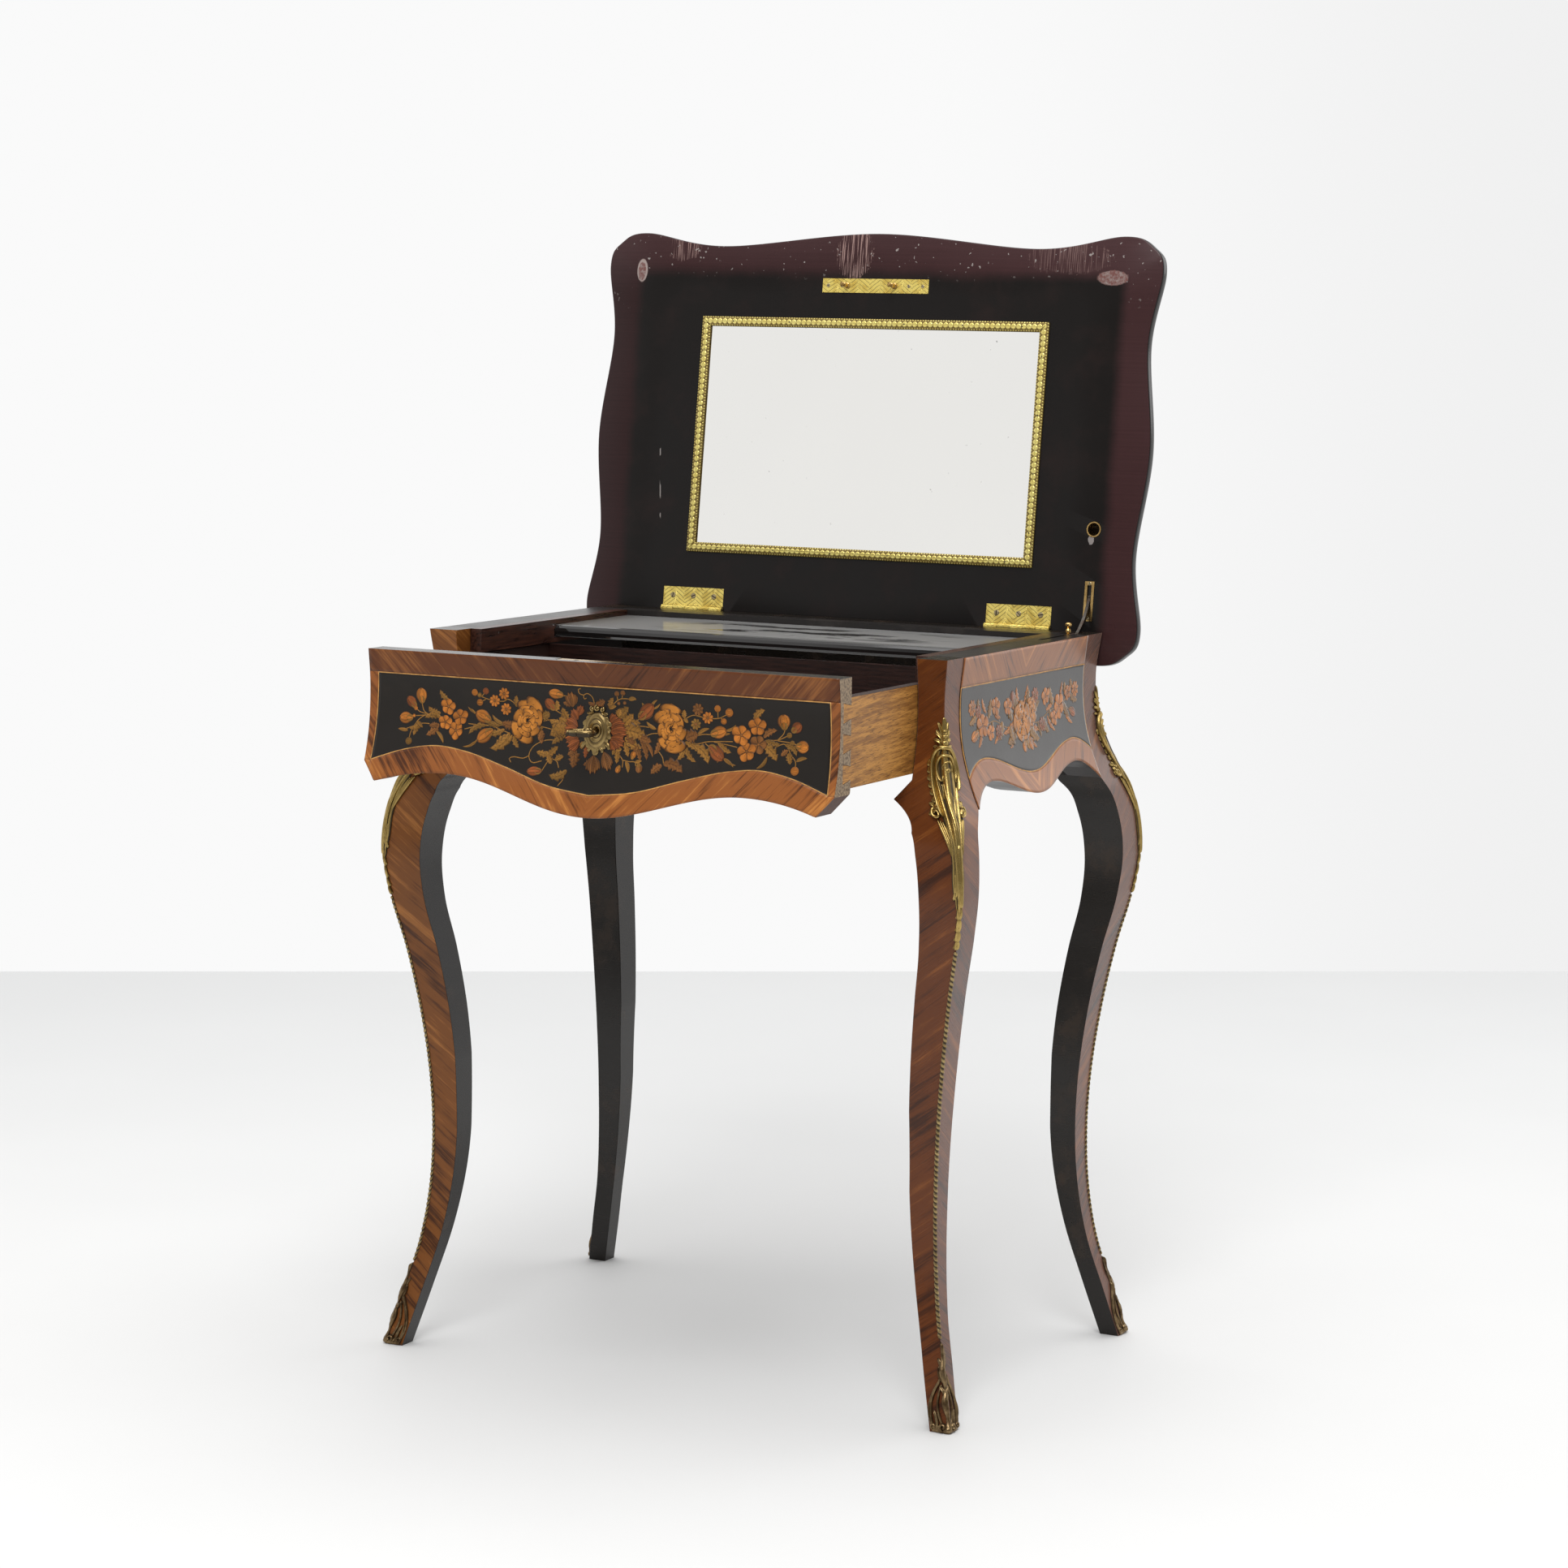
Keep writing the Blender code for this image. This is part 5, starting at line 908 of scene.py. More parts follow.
@dataclass(frozen=True)
class Legs:
    """Four cabriole legs, each with its corner post; the front two carry a pointed ear."""

    post_width: float = 0.031
    post_depth: float = 0.036
    ear: tuple[float, float, float] = (0.6035, 0.5855, 0.557)
    ear_reach: float = 0.046
    knee: float = 0.575
    groove_x: tuple[float, float] = (0.2597, 0.2647)
    groove_y: tuple[float, float] = (0.0684, 0.1675)
    groove_floor: float = 0.7025
    arris: float = 0.0006
    levels: int = 190
    slant: float = 36.0

    def inner(self, z: Array, post: float, ear: bool) -> Array:
        """Inner face's offset from the case's outer face at each height.

        The post's width above, the leg's inner line below; the ear slants out to its tip and returns
        in a parabola.

        Args:
            z: Heights.
            post: The post's size in this direction.
            ear: Whether the ear is on this face.

        Returns:
            The offsets, negative inwards.
        """
        line = np.where(z < self.knee, np.maximum(-post, CASE.inner(z)), -post)
        if not ear:
            return line
        shoulder, tip, root = self.ear
        foot = float(CASE.inner(root))
        slanted = -post + (-self.ear_reach + post) * (shoulder - z) / (shoulder - tip)
        under = foot + (-self.ear_reach - foot) * ((z - root) / (tip - root)) ** 2
        line = np.where((z <= shoulder) & (z >= tip), slanted, line)
        return np.where((z < tip) & (z >= root), under, line)

    def build(self) -> None:
        """Builds each leg as four ruled faces between its corner lines, and two caps."""
        z = np.unique(np.concatenate((np.linspace(0.0, CASE.height, self.levels), self.ear)))
        out = CASE.sweep(z)
        share = np.linspace(0.0, 1.0, 5)
        outer = np.column_stack((CASE.half_width + out, CASE.half_depth + out))
        for corner, right, back in CORNERS:
            inner = np.column_stack((CASE.half_width + self.inner(z, self.post_width, back < 0),
                                     CASE.half_depth + self.inner(z, self.post_depth, False)))
            rim = [np.column_stack(pair) for pair in
                   ((outer[:, 0], inner[:, 1]), (outer[:, 0], outer[:, 1]),
                    (inner[:, 0], outer[:, 1]), (inner[:, 0], inner[:, 1]))]
            shell = Shell()
            for k in range(4):
                flat = rim[k][:, None] + (rim[(k + 1) % 4] - rim[k])[:, None] * share[:, None]
                points = spread(right * flat[..., 0], back * flat[..., 1] + SHIFT, z[:, None])
                cut = grain(flat[..., 0 if k == 1 else 1], z[:, None], self.slant, 1.7 * right + back)
                cheek = k == 2 and back < 0
                low = int(np.searchsorted(z, self.ear[0])) if cheek else len(z) - 1
                shell.grid(points[:low + 1], cut[:low + 1], slot=0 if k < 2 else 1)
                if cheek:
                    shell.grid(points[low:], cut[low:], slot=0)
            for row in (0, -1):
                cap = np.array([[rim[0][row], rim[1][row]], [rim[3][row], rim[2][row]]])
                shell.grid(spread(right * cap[..., 0], back * cap[..., 1] + SHIFT, z[row]), slot=1)
            faded = right < 0 and back < 0
            leg = shell.make(f"leg_{corner}_veneered", (FADED if faded else KINGWOOD, BLACK))
            if right > 0 and back > 0:
                carve(leg, self.groove())
            round_edges(leg, self.arris)
            settle(leg, "case", "kingwood", f"leg_{corner}")

    def groove(self) -> Shell:
        """The groove that the stay's knob slides in."""
        groove = Shell()
        (left, right), (near, far) = self.groove_x, self.groove_y
        groove.box((left, near, self.groove_floor), (right, far, CASE.height + 0.01),
                   lambda x, y, z: spread(x, y + SHIFT, z))
        return groove


@dataclass(frozen=True)
class VeneerFace:
    """A veneered face: crossbanded border, boxwood line and dark field, as thin abutting sheets.

    Attributes:
        name: Piece name.
        body: Body that carries it.
        half: Half width of the face.
        top: Height of its top edge.
        edge: Height of its lower edge at each place along it.
        foot: Height of the field's lower boundary.
        head: Height of the field's top.
        ends: Half width of the field at its head and at its low corners.
        place: World point of places along, heights and lifts off the face.
        slant: Angle of the grain.
        panel: Finish of the field.
        band: Finish of the border.
        cap: Finish of the border's top strip.
        flip: Whether the sheets' faces need turning round.
        line: Width of the boxwood line.
        lift: Height of the sheets' faces over the ground.
        depth: Their thickness.
        columns: Points along the face.
    """

    name: str
    body: str
    half: float
    top: float
    edge: Callable[[Array], Array]
    foot: Callable[[Array], Array]
    head: float
    ends: tuple[float, float]
    place: Ground
    slant: float = 48.0
    panel: Finish = FIELD
    band: Finish = BAND
    cap: Finish = BAND
    flip: bool = False
    line: float = 0.0010
    lift: float = 0.00035
    depth: float = 0.0007
    columns: int = 181

    def sheet(self, shell: Shell, u: Array, v: Array, slot: int, sheet: float = 0.0) -> None:
        """Adds one sheet given by its grid of places along and heights."""
        shell.grid(self.place(u, v, self.lift), grain(np.abs(u), v, self.slant, sheet), slot=slot, flip=self.flip)

    def strip(self, shell: Shell, u: Array, low: Any, high: Any, rows: int, slot: int, sheet: float = 0.0) -> None:
        """Adds a sheet between two lines or heights over the same places along."""
        self.sheet(shell, u, low + (high - low) * np.linspace(0.0, 1.0, rows)[:, None], slot, sheet)

    def build(self) -> None:
        """Builds the border below, above and at the ends, the four lines and the field."""
        shell = Shell()
        wide, line, (high_end, low_end) = self.half, self.line, self.ends
        corner = float(self.foot(np.array(low_end)))
        u = np.linspace(-low_end, low_end, self.columns)
        self.strip(shell, u, self.edge(u), self.foot(u), 9, 0)
        self.strip(shell, np.linspace(-wide, wide, 121), self.head, self.top, 9, 3, 3.0)
        v = np.linspace(corner, self.head, 31)[:, None]
        reach = high_end + (low_end - high_end) * (self.head - v) / (self.head - corner)
        for side in (-1, 1):
            if wide - low_end > MM:
                out = (side * np.linspace(low_end, wide, 7))[::side]
                self.strip(shell, out, self.edge(out), corner, 5, 0)
                across = reach + (wide - reach) * np.linspace(0.0, 1.0, 7)
                self.sheet(shell, (side * across)[:, ::side], v, 0)
            across = reach - line + line * np.linspace(0.0, 1.0, 3)
            self.sheet(shell, (side * across)[:, ::side], v, 1)
        inner = np.linspace(-1.0, 1.0, self.columns)
        lower = inner * (low_end - line)
        low = self.foot(lower) + line
        self.strip(shell, lower, self.foot(lower), low, 3, 1)
        self.strip(shell, inner * (high_end - line), self.head - line, self.head, 3, 1)
        height = low + (self.head - line - low) * np.linspace(0.0, 1.0, 41)[:, None]
        along = inner * (high_end - line + (low_end - high_end)
                         * np.clip((self.head - height) / (self.head - corner), 0.0, 1.0))
        self.sheet(shell, along, height, 2, 5.0)
        made = shell.make(self.name, (self.band, LINE, self.panel, self.cap), weld=False)
        thicken(made, self.depth)
        settle(made, self.body, "kingwood")


class Tone(Enum):
    """Woods of the marquetry."""

    LEAF = (0.310, 0.145, 0.028)
    OLIVE = (0.250, 0.122, 0.025)
    BROWN = (0.235, 0.092, 0.024)
    RED = (0.285, 0.080, 0.021)
    BUD = (0.50, 0.170, 0.027)
    FLOWER = (0.53, 0.175, 0.027)
    ROSE = (0.59, 0.220, 0.034)


@dataclass
class Marquetry:
    """A spray of flowers, leaves and stems cut from woods, laid over one another.

    Every part is a blade: a spine spread by a half-width profile.

    Attributes:
        place: World point of flat points and a lift.
        spread: Scale of the places along and up.
        size: Scale of the single parts.
        at: Where the spray's middle lies.
        flip: Whether the faces need turning round.
        finish: Finish of the woods.
        shell: The mesh so far.
        layer: Number of blades laid.
        lift: Height of the first blade over the ground.
        step: Height of each further one over the one before.
        depth: Thickness of a blade.
    """

    place: Ground
    spread: tuple[float, float] = (1.0, 1.0)
    size: float = 1.0
    at: tuple[float, float] = (0.0, 0.0)
    flip: bool = False
    finish: Finish = INLAY
    shell: Shell = field(default_factory=Shell)
    layer: int = 0
    lift: float = 0.00042
    step: float = 0.0000006
    depth: float = 0.0002

    def put(self, spine: Array, half: Array, columns: int, tone: Colour, vein: float) -> None:
        """Lays one blade, in millimetres, on top of the ones before it."""
        across = np.linspace(-1.0, 1.0, columns)
        flat = blade(spine, half, across) * MM
        self.layer += 1
        lift = self.lift + self.step * self.layer
        cut = spread(across, np.linspace(0.0, 1.0, len(spine))[:, None], vein)
        self.shell.grid(self.place(flat[..., 0] + self.at[0], flat[..., 1] + self.at[1], lift), cut, tone,
                        flip=not self.flip)

    def tone(self, name: str) -> Colour:
        """A wood's colour, a little lighter or darker from part to part."""
        return dimmed(Tone[name].value, 0.86 + 0.28 * ((self.layer * 37) % 11) / 10)

    def spot(self, x: float, z: float) -> Array:
        """A place in the spray, in millimetres."""
        return np.array((x * self.spread[0], z * self.spread[1]))

    def leafy(self, base: Array, tip: Array, half: float, bend: float, tone: Colour, vein: float = 1.8,
              teeth: float = 0.0, round_tip: float = 0.8) -> None:
        """A leaf or petal: half width follows a skewed sine along a bowed spine, with teeth if wanted."""
        t = np.linspace(0.0, 1.0, 29 if teeth else 11)
        reach = tip - base
        spine = base + t[:, None] * reach + (bend * 4 * t * (1 - t))[:, None] * square(reach)
        width = half * np.sin(np.pi * t ** round_tip) ** 0.8 * (1 + teeth * (0.5 - (t * 4.0) % 1.0))
        self.put(spine, width, 5, tone, vein)

    def stem(self, values: list[float]) -> None:
        """A thin stem through its points."""
        knots = np.array([self.spot(*pair) for pair in zip(values[::2], values[1::2])])
        count = 7 * (len(knots) - 1) + 1
        self.put(flow(knots, count), np.full(count, 0.42), 2, Tone.LEAF.value, 0.0)

    def leaf(self, name: str, values: list[float]) -> None:
        """A leaf, toothed where it is large."""
        x0, z0, x1, z1, half, bend = values
        self.leafy(self.spot(x0, z0), self.spot(x1, z1), half * self.size, bend, self.tone(name),
                   teeth=0.75 if half > 2.3 else 0.0)

    def bud(self, name: str, values: list[float]) -> None:
        """A closed flower: two outer petals, a lighter middle one and two sepals."""
        base, tip, half = self.spot(*values[:2]), self.spot(*values[2:4]), values[4] * self.size
        tone = self.tone(name)
        for bend, wide, share, bright in ((0.16, 0.62, 1.0, 0.75), (-0.16, 0.62, 1.0, 0.9), (0.0, 0.55, 0.97, 1.15)):
            self.leafy(base, base + (tip - base) * share, half * wide, bend, dimmed(tone, bright), 0.85, round_tip=1.25)
        for bend in (0.3, -0.3):
            self.leafy(base, base + (tip - base) * 0.5, half * 0.22, bend, Tone.OLIVE.value, 0.4)

    def ball(self, name: str, values: list[float]) -> None:
        """A berry: a disc whose half width follows a half circle, with a lighter one on it."""
        x, z, radius = values
        t = np.linspace(0.0, 1.0, 11)
        for share, bright in ((1.0, 0.7), (0.62, 1.1)):
            size = radius * share * self.size
            spine = self.spot(x, z) + np.column_stack(((-np.cos(np.pi * t)) * size, 0 * t))
            self.put(spine, size * np.sin(np.pi * t), 5, dimmed(self.tone(name), bright), 0.3)

    def petals(self, centre: Array, ring: Array, inner: float, outer: Array, wide: float, tone: Colour) -> None:
        """A ring of petals, each from the centre outwards in its direction."""
        for turn, reach in zip(ring, outer):
            way = np.array((math.cos(turn), math.sin(turn)))
            shade = 0.86 + 0.2 * ((self.layer * 13) % 7) / 6
            self.leafy(centre + way * inner, centre + way * reach, wide, 0.02, dimmed(tone, shade), 0.95,
                       round_tip=1.45)

    def flower(self, name: str, values: list[float]) -> None:
        """An open five-petalled flower with a dark eye."""
        x, z, radius, turn = values
        centre, radius = self.spot(x, z), radius * self.size
        ring = turn + np.arange(5) * 2 * math.pi / 5
        outer = radius * (0.95 + 0.1 * np.sin(ring * 3.0))
        self.petals(centre, ring, 0.6, outer, radius * 0.46, self.tone(name))
        self.ball("BROWN", [x, z, 1.5])

    def daisy(self, name: str, values: list[float]) -> None:
        """A small flower of eight narrow petals."""
        x, z, radius = values
        centre, radius = self.spot(x, z), radius * self.size
        ring = np.arange(8) * math.pi / 4 + 0.3
        self.petals(centre, ring, 0.5, np.full(8, radius), radius * 0.30, self.tone(name))
        self.ball("BROWN", [x, z, radius * 0.26])

    def rose(self, name: str, values: list[float]) -> None:
        """A full rose: loose outer petals on a leaning oval, then two rings of folded ones and a coiled heart.

        Each ring's petals reach from near the centre to its oval; the heart is nested bowed blades.
        """
        x, z, wide, tall, lean = values
        centre, tone = self.spot(x, z), Tone[name].value
        turn = np.array(((math.cos(lean), -math.sin(lean)), (math.sin(lean), math.cos(lean))))

        def oval(angle: float, share: float) -> Array:
            """A point of the leaning oval."""
            return centre + turn @ np.array((wide * math.cos(angle), tall * math.sin(angle))) * share * self.size
        for count, share, fat, bright, start in ((7, 1.0, 0.50, 0.84, 0.35), (5, 0.74, 0.56, 0.98, 0.9),
                                                 (4, 0.50, 0.60, 1.08, 0.2)):
            for k in range(count):
                angle = start + 2.0 * math.pi * k / count
                tip = oval(angle, share * (1.0 + 0.06 * math.sin(5.0 * angle + x)))
                reach = float(np.linalg.norm(tip - centre))
                shade = bright * (0.92 + 0.14 * ((k * 5) % 3) / 2)
                self.leafy(centre + (tip - centre) * 0.10, tip, reach * fat, 0.05, dimmed(tone, shade), 0.95,
                           round_tip=2.2)
        for k, (angle, share) in enumerate(((2.0, 0.30), (5.0, 0.27), (3.4, 0.14))):
            start, end = oval(angle - 1.3, share), oval(angle + 1.3, share)
            self.leafy(start, end, 2.3 * self.size, -0.42, dimmed(tone, 0.80 + 0.14 * k), 1.0, round_tip=1.0)

    def pink(self, name: str, values: list[float]) -> None:
        """A fan-shaped petal: seven narrow blades of uneven length spread from one root."""
        base, tip, half = self.spot(*values[:2]), self.spot(*values[2:4]), values[4] * self.size
        reach = tip - base
        side = square(reach) / (np.linalg.norm(reach) + 1e-9)
        for k in (-3, 3, -2, 2, -1, 1, 0):
            end = base + reach * (1.02 - 0.030 * k * k + 0.09 * (k % 2)) + side * half * 0.30 * k
            tone = dimmed(Tone[name].value, 0.72 + 0.22 * (k % 3))
            self.leafy(base, end, half * 0.24, 0.03 * k, tone, 1.0, round_tip=1.25)

    def lay(self, table: dict[str, str], name: str, body: str) -> None:
        """Lays every part of a table in its order, stems first, and makes the piece.

        Args:
            table: For each kind, its rows, parted by semicolons; only a stem's row names no wood.
            name: Piece name.
            body: Body that carries it.
        """
        for kind, rows in table.items():
            named = kind != "stem"
            for words in map(str.split, rows.split(";")):
                getattr(self, kind)(*words[:named], [float(word) for word in words[named:]])
        made = self.shell.make(name, (self.finish,), weld=False)
        thicken(made, self.depth)
        settle(made, body, "kingwood")


@dataclass(frozen=True)
class Walls:
    """Veneers and marquetry of the drawer front, the sides and the back."""

    drawer_half: float = 0.2488
    drawer_top: float = 0.709
    drawer_tip: float = 0.2338
    drawer_tip_height: float = 0.58585
    drawer_slant: float = 0.018
    drawer_apron: tuple[float, float, float, float] = (0.12915, 0.0755, 0.1175, 0.146)
    drawer_field: Curve = Curve(((0.0, 0.588), (0.045, 0.5935), (0.095, 0.6075), (0.140, 0.6185), (0.171, 0.6215),
                                 (0.205, 0.6165), (0.2425, 0.6045)))
    side_half: float = 0.1423
    side_apron: tuple[float, float, float, float, float] = (0.1422, 0.140, 0.0455, 0.119, 0.139)
    side_band: float = 0.0195
    side_swell: float = 0.006
    back_half: float = 0.2492
    back_apron: tuple[float, float, float, float] = (0.146, 0.090, 0.119, 0.139)
    drawer_head: float = 0.6875
    drawer_ends: tuple[float, float] = (0.2395, 0.2425)
    case_head: float = 0.687
    case_gap: float = 0.0004
    side_end: float = 0.1421
    back_end: float = 0.2395
    back_band: float = 0.019
    proud: float = 0.0005

    def drawer_place(self, x: Array, z: Array, lift: float) -> Array:
        """World points on the drawer's bombe face, pulled out as it rests."""
        return spread(x, -CASE.half_depth - CASE.sweep(z) - CASE.drawer_out - self.proud - lift + SHIFT, z)

    def drawer_edge(self, x: Array) -> Array:
        """Lower edge of the drawer front: a slant beyond its tips, a scalloped line between them."""
        u = np.abs(x)
        share = (u - self.drawer_tip) / (self.drawer_half - self.drawer_tip)
        return np.where(u > self.drawer_tip, self.drawer_tip_height + self.drawer_slant * share,
                        CASE.apron(x, self.drawer_tip, *self.drawer_apron))

    def drawer_foot(self, x: Array) -> Array:
        """Lower boundary of the drawer's field, from its centre over the crests to its corners."""
        return self.drawer_field(np.abs(x))

    def side_edge(self, y: Array) -> Array:
        """Lower edge of a side."""
        return CASE.apron(y, *self.side_apron)

    def side_foot(self, y: Array) -> Array:
        """Lower boundary of a side's field."""
        return self.side_edge(y * 0.985) + self.side_band + self.side_swell * (np.abs(y) / self.side_half) ** 4

    def back_edge(self, x: Array) -> Array:
        """Lower edge of the back."""
        return CASE.apron(x, self.back_half, *self.back_apron)

    def build(self) -> None:
        """Builds the four veneered faces and lays their flowers."""
        # The drawer front's border and top strip take the lit and shaded copies of the banding: painted light and
        # painted shade.
        VeneerFace("drawer_front_veneer", "drawer", self.drawer_half, self.drawer_top, self.drawer_edge,
                   self.drawer_foot, self.drawer_head, self.drawer_ends, self.drawer_place, band=DRAWER_BAND_PAINTED_LIGHT,
                   cap=DRAWER_CAP_PAINTED_SHADE).build()
        Marquetry(self.drawer_place, at=(0.0, 0.645)).lay(SPRAY, "drawer_front_flowers", "drawer")
        top = CASE.height - self.case_gap
        for name, right in (("left", -1.0), ("right", 1.0)):
            def place(y: Array, z: Array, lift: float, right: float = right) -> Array:
                """World points on one bombe side."""
                return spread(right * (CASE.half_width + CASE.sweep(z) + self.proud + lift), y + SHIFT, z)
            # The sides' border takes the lighter copy of the banding, whose extra lightness is painted reflection.
            VeneerFace(f"side_{name}_veneer", "case", self.side_half, top, self.side_edge, self.side_foot,
                       self.case_head, (self.side_end, self.side_end), place, panel=SIDE_FIELD, band=SIDE_BAND_PAINTED_REFLECTION,
                       cap=SIDE_BAND_PAINTED_REFLECTION, flip=right < 0).build()
            spray = Marquetry(place, (0.97, 0.90), 0.95, (0.0, 0.6475), flip=right < 0, finish=SIDE_INLAY)
            spray.lay(SIDE_SPRAY, f"side_{name}_flowers", "case")

        def behind(x: Array, z: Array, lift: float) -> Array:
            """World points on the back."""
            return spread(x, CASE.half_depth + CASE.sweep(z) + self.proud + lift + SHIFT, z)
        VeneerFace("back_veneer", "case", self.back_half, top, self.back_edge,
                   lambda x: self.back_edge(x) + self.back_band, self.case_head, (self.back_end, self.back_end), behind,
                   panel=KINGWOOD, flip=True).build()


@dataclass(frozen=True)
class LidBoard(Finish):
    """The lid's faces: black where the shut case covers the inside, faded round it, black moulded edge.

    Object coordinates are turned into the lid's own: across, reach from the hinge axis, height over
    the inner face.
    """

    def lay(self, tree: NodeTree) -> None:
        """Lays field, faded margin, edge and wear."""
        where = tree.place()
        x, y, z = tree.axes(where)
        back, rise = y - LID_AXIS[0], z - LID_AXIS[1]
        reach = back * LID_LEAN[0] + rise * LID_LEAN[1]
        height = back * LID_LEAN[1] - rise * LID_LEAN[0] - LID_RISE
        cloud = tree.noise(where, 22.0, 4.0, 0.6)
        fine = tree.noise(where, 800.0, 2.0)
        ragged = (tree.noise(where, 330.0, 3.0, 0.7) - 0.5) * 1.6
        drawn = tree.noise(tree.join(x * 7.0, reach * 420.0, height), 1.0, 3.0, 0.6)
        combed = tree.fade(tree.noise(tree.join(x * 900.0, reach * 22.0, height), 1.0, 2.0), 0.50, 0.60)
        wander = (cloud - 0.5) * 0.010

        def patch(spot: tuple[float, float], size: tuple[float, float], rough: float = 1.0) -> Sock:
            """A worn place about a spot: one inside its ragged oval."""
            far = ((x - spot[0]) / size[0]) ** 2.0 + ((reach - spot[1]) / size[1]) ** 2.0
            return tree.fade(far + ragged * rough, 1.15, 0.85)
        covered = tree.fade(abs(x) + wander, 0.284, 0.268) * tree.fade(reach + wander, 0.362, 0.344)
        lit = tree.fade(reach, 0.32, 0.39) * 0.75 + tree.fade(x, 0.1, 0.32) * tree.fade(reach, 0.0, 0.25) * 0.45
        plain = tree.blend(tree.fade(x, -0.1, 0.25), (0.027, 0.0098, 0.0100), (0.046, 0.0175, 0.0180))
        faded = tree.dim(plain, 0.72 + drawn * 0.56)
        faded = tree.blend(lit.low(1.0), faded, tree.blend(drawn, (0.050, 0.022, 0.023), (0.072, 0.034, 0.036)))
        black = tree.blend(tree.fade(cloud, 0.45, 0.8), (0.0098, 0.0080, 0.0074), (0.017, 0.0105, 0.0095))
        inside = tree.blend(covered, faded, black)
        rubbed = (patch((-0.228, 0.379), (0.020, 0.014)) * 0.75).top(patch((-0.026, 0.374), (0.020, 0.026)))
        rubbed = rubbed.top(patch((0.215, 0.372), (0.045, 0.016)) * 0.35) * combed
        inside = tree.blend(rubbed * 0.75, inside, (0.42, 0.27, 0.24))
        oval, slip = patch((-0.276, 0.354), (0.0062, 0.0118), 0.15), patch((0.263, 0.352), (0.0165, 0.0075), 0.6)
        bare = tree.blend(tree.fade(ragged, -0.2, 0.3), (0.20, 0.085, 0.075), (0.34, 0.27, 0.25))
        inside = tree.blend(oval.top(slip) * 0.85, inside, bare)
        inside = tree.blend((oval - patch((-0.2765, 0.353), (0.0045, 0.0095), 0.15)) * 0.6, inside, (0.45, 0.40, 0.37))
        line = tree.fade(abs(x + 0.2375 + (reach - 0.147) * 0.08), 0.0009, 0.0004)
        line = line * patch((-0.2375, 0.147), (0.02, 0.058)) * tree.fade(tree.noise(where, 60.0, 2.0), 0.46, 0.52)
        nicks = tree.fade(tree.noise(where, 210.0, 2.0), 0.695, 0.715) * (1.0 - covered) * tree.fade(reach, 0.30, 0.37)
        nicks = nicks.top(line).top(patch((0.260, 0.0915), (0.003, 0.005)))
        inside = tree.blend(nicks * 0.7, inside, (0.40, 0.36, 0.34))
        edge = tree.fade(height, 0.0004, 0.0010)
        tree.shade({"Base Color": tree.blend(edge, inside, (0.0085, 0.0075, 0.0072)),
                    "Roughness": 0.30 + (cloud - 0.5) * 0.12 - edge * 0.15 + (rubbed + nicks) * 0.2,
                    "Normal": tree.bump(fine * 0.4 + cloud * 1.2 + drawn * 0.4 - nicks, 0.00006),
                    "Specular IOR Level": 0.22})


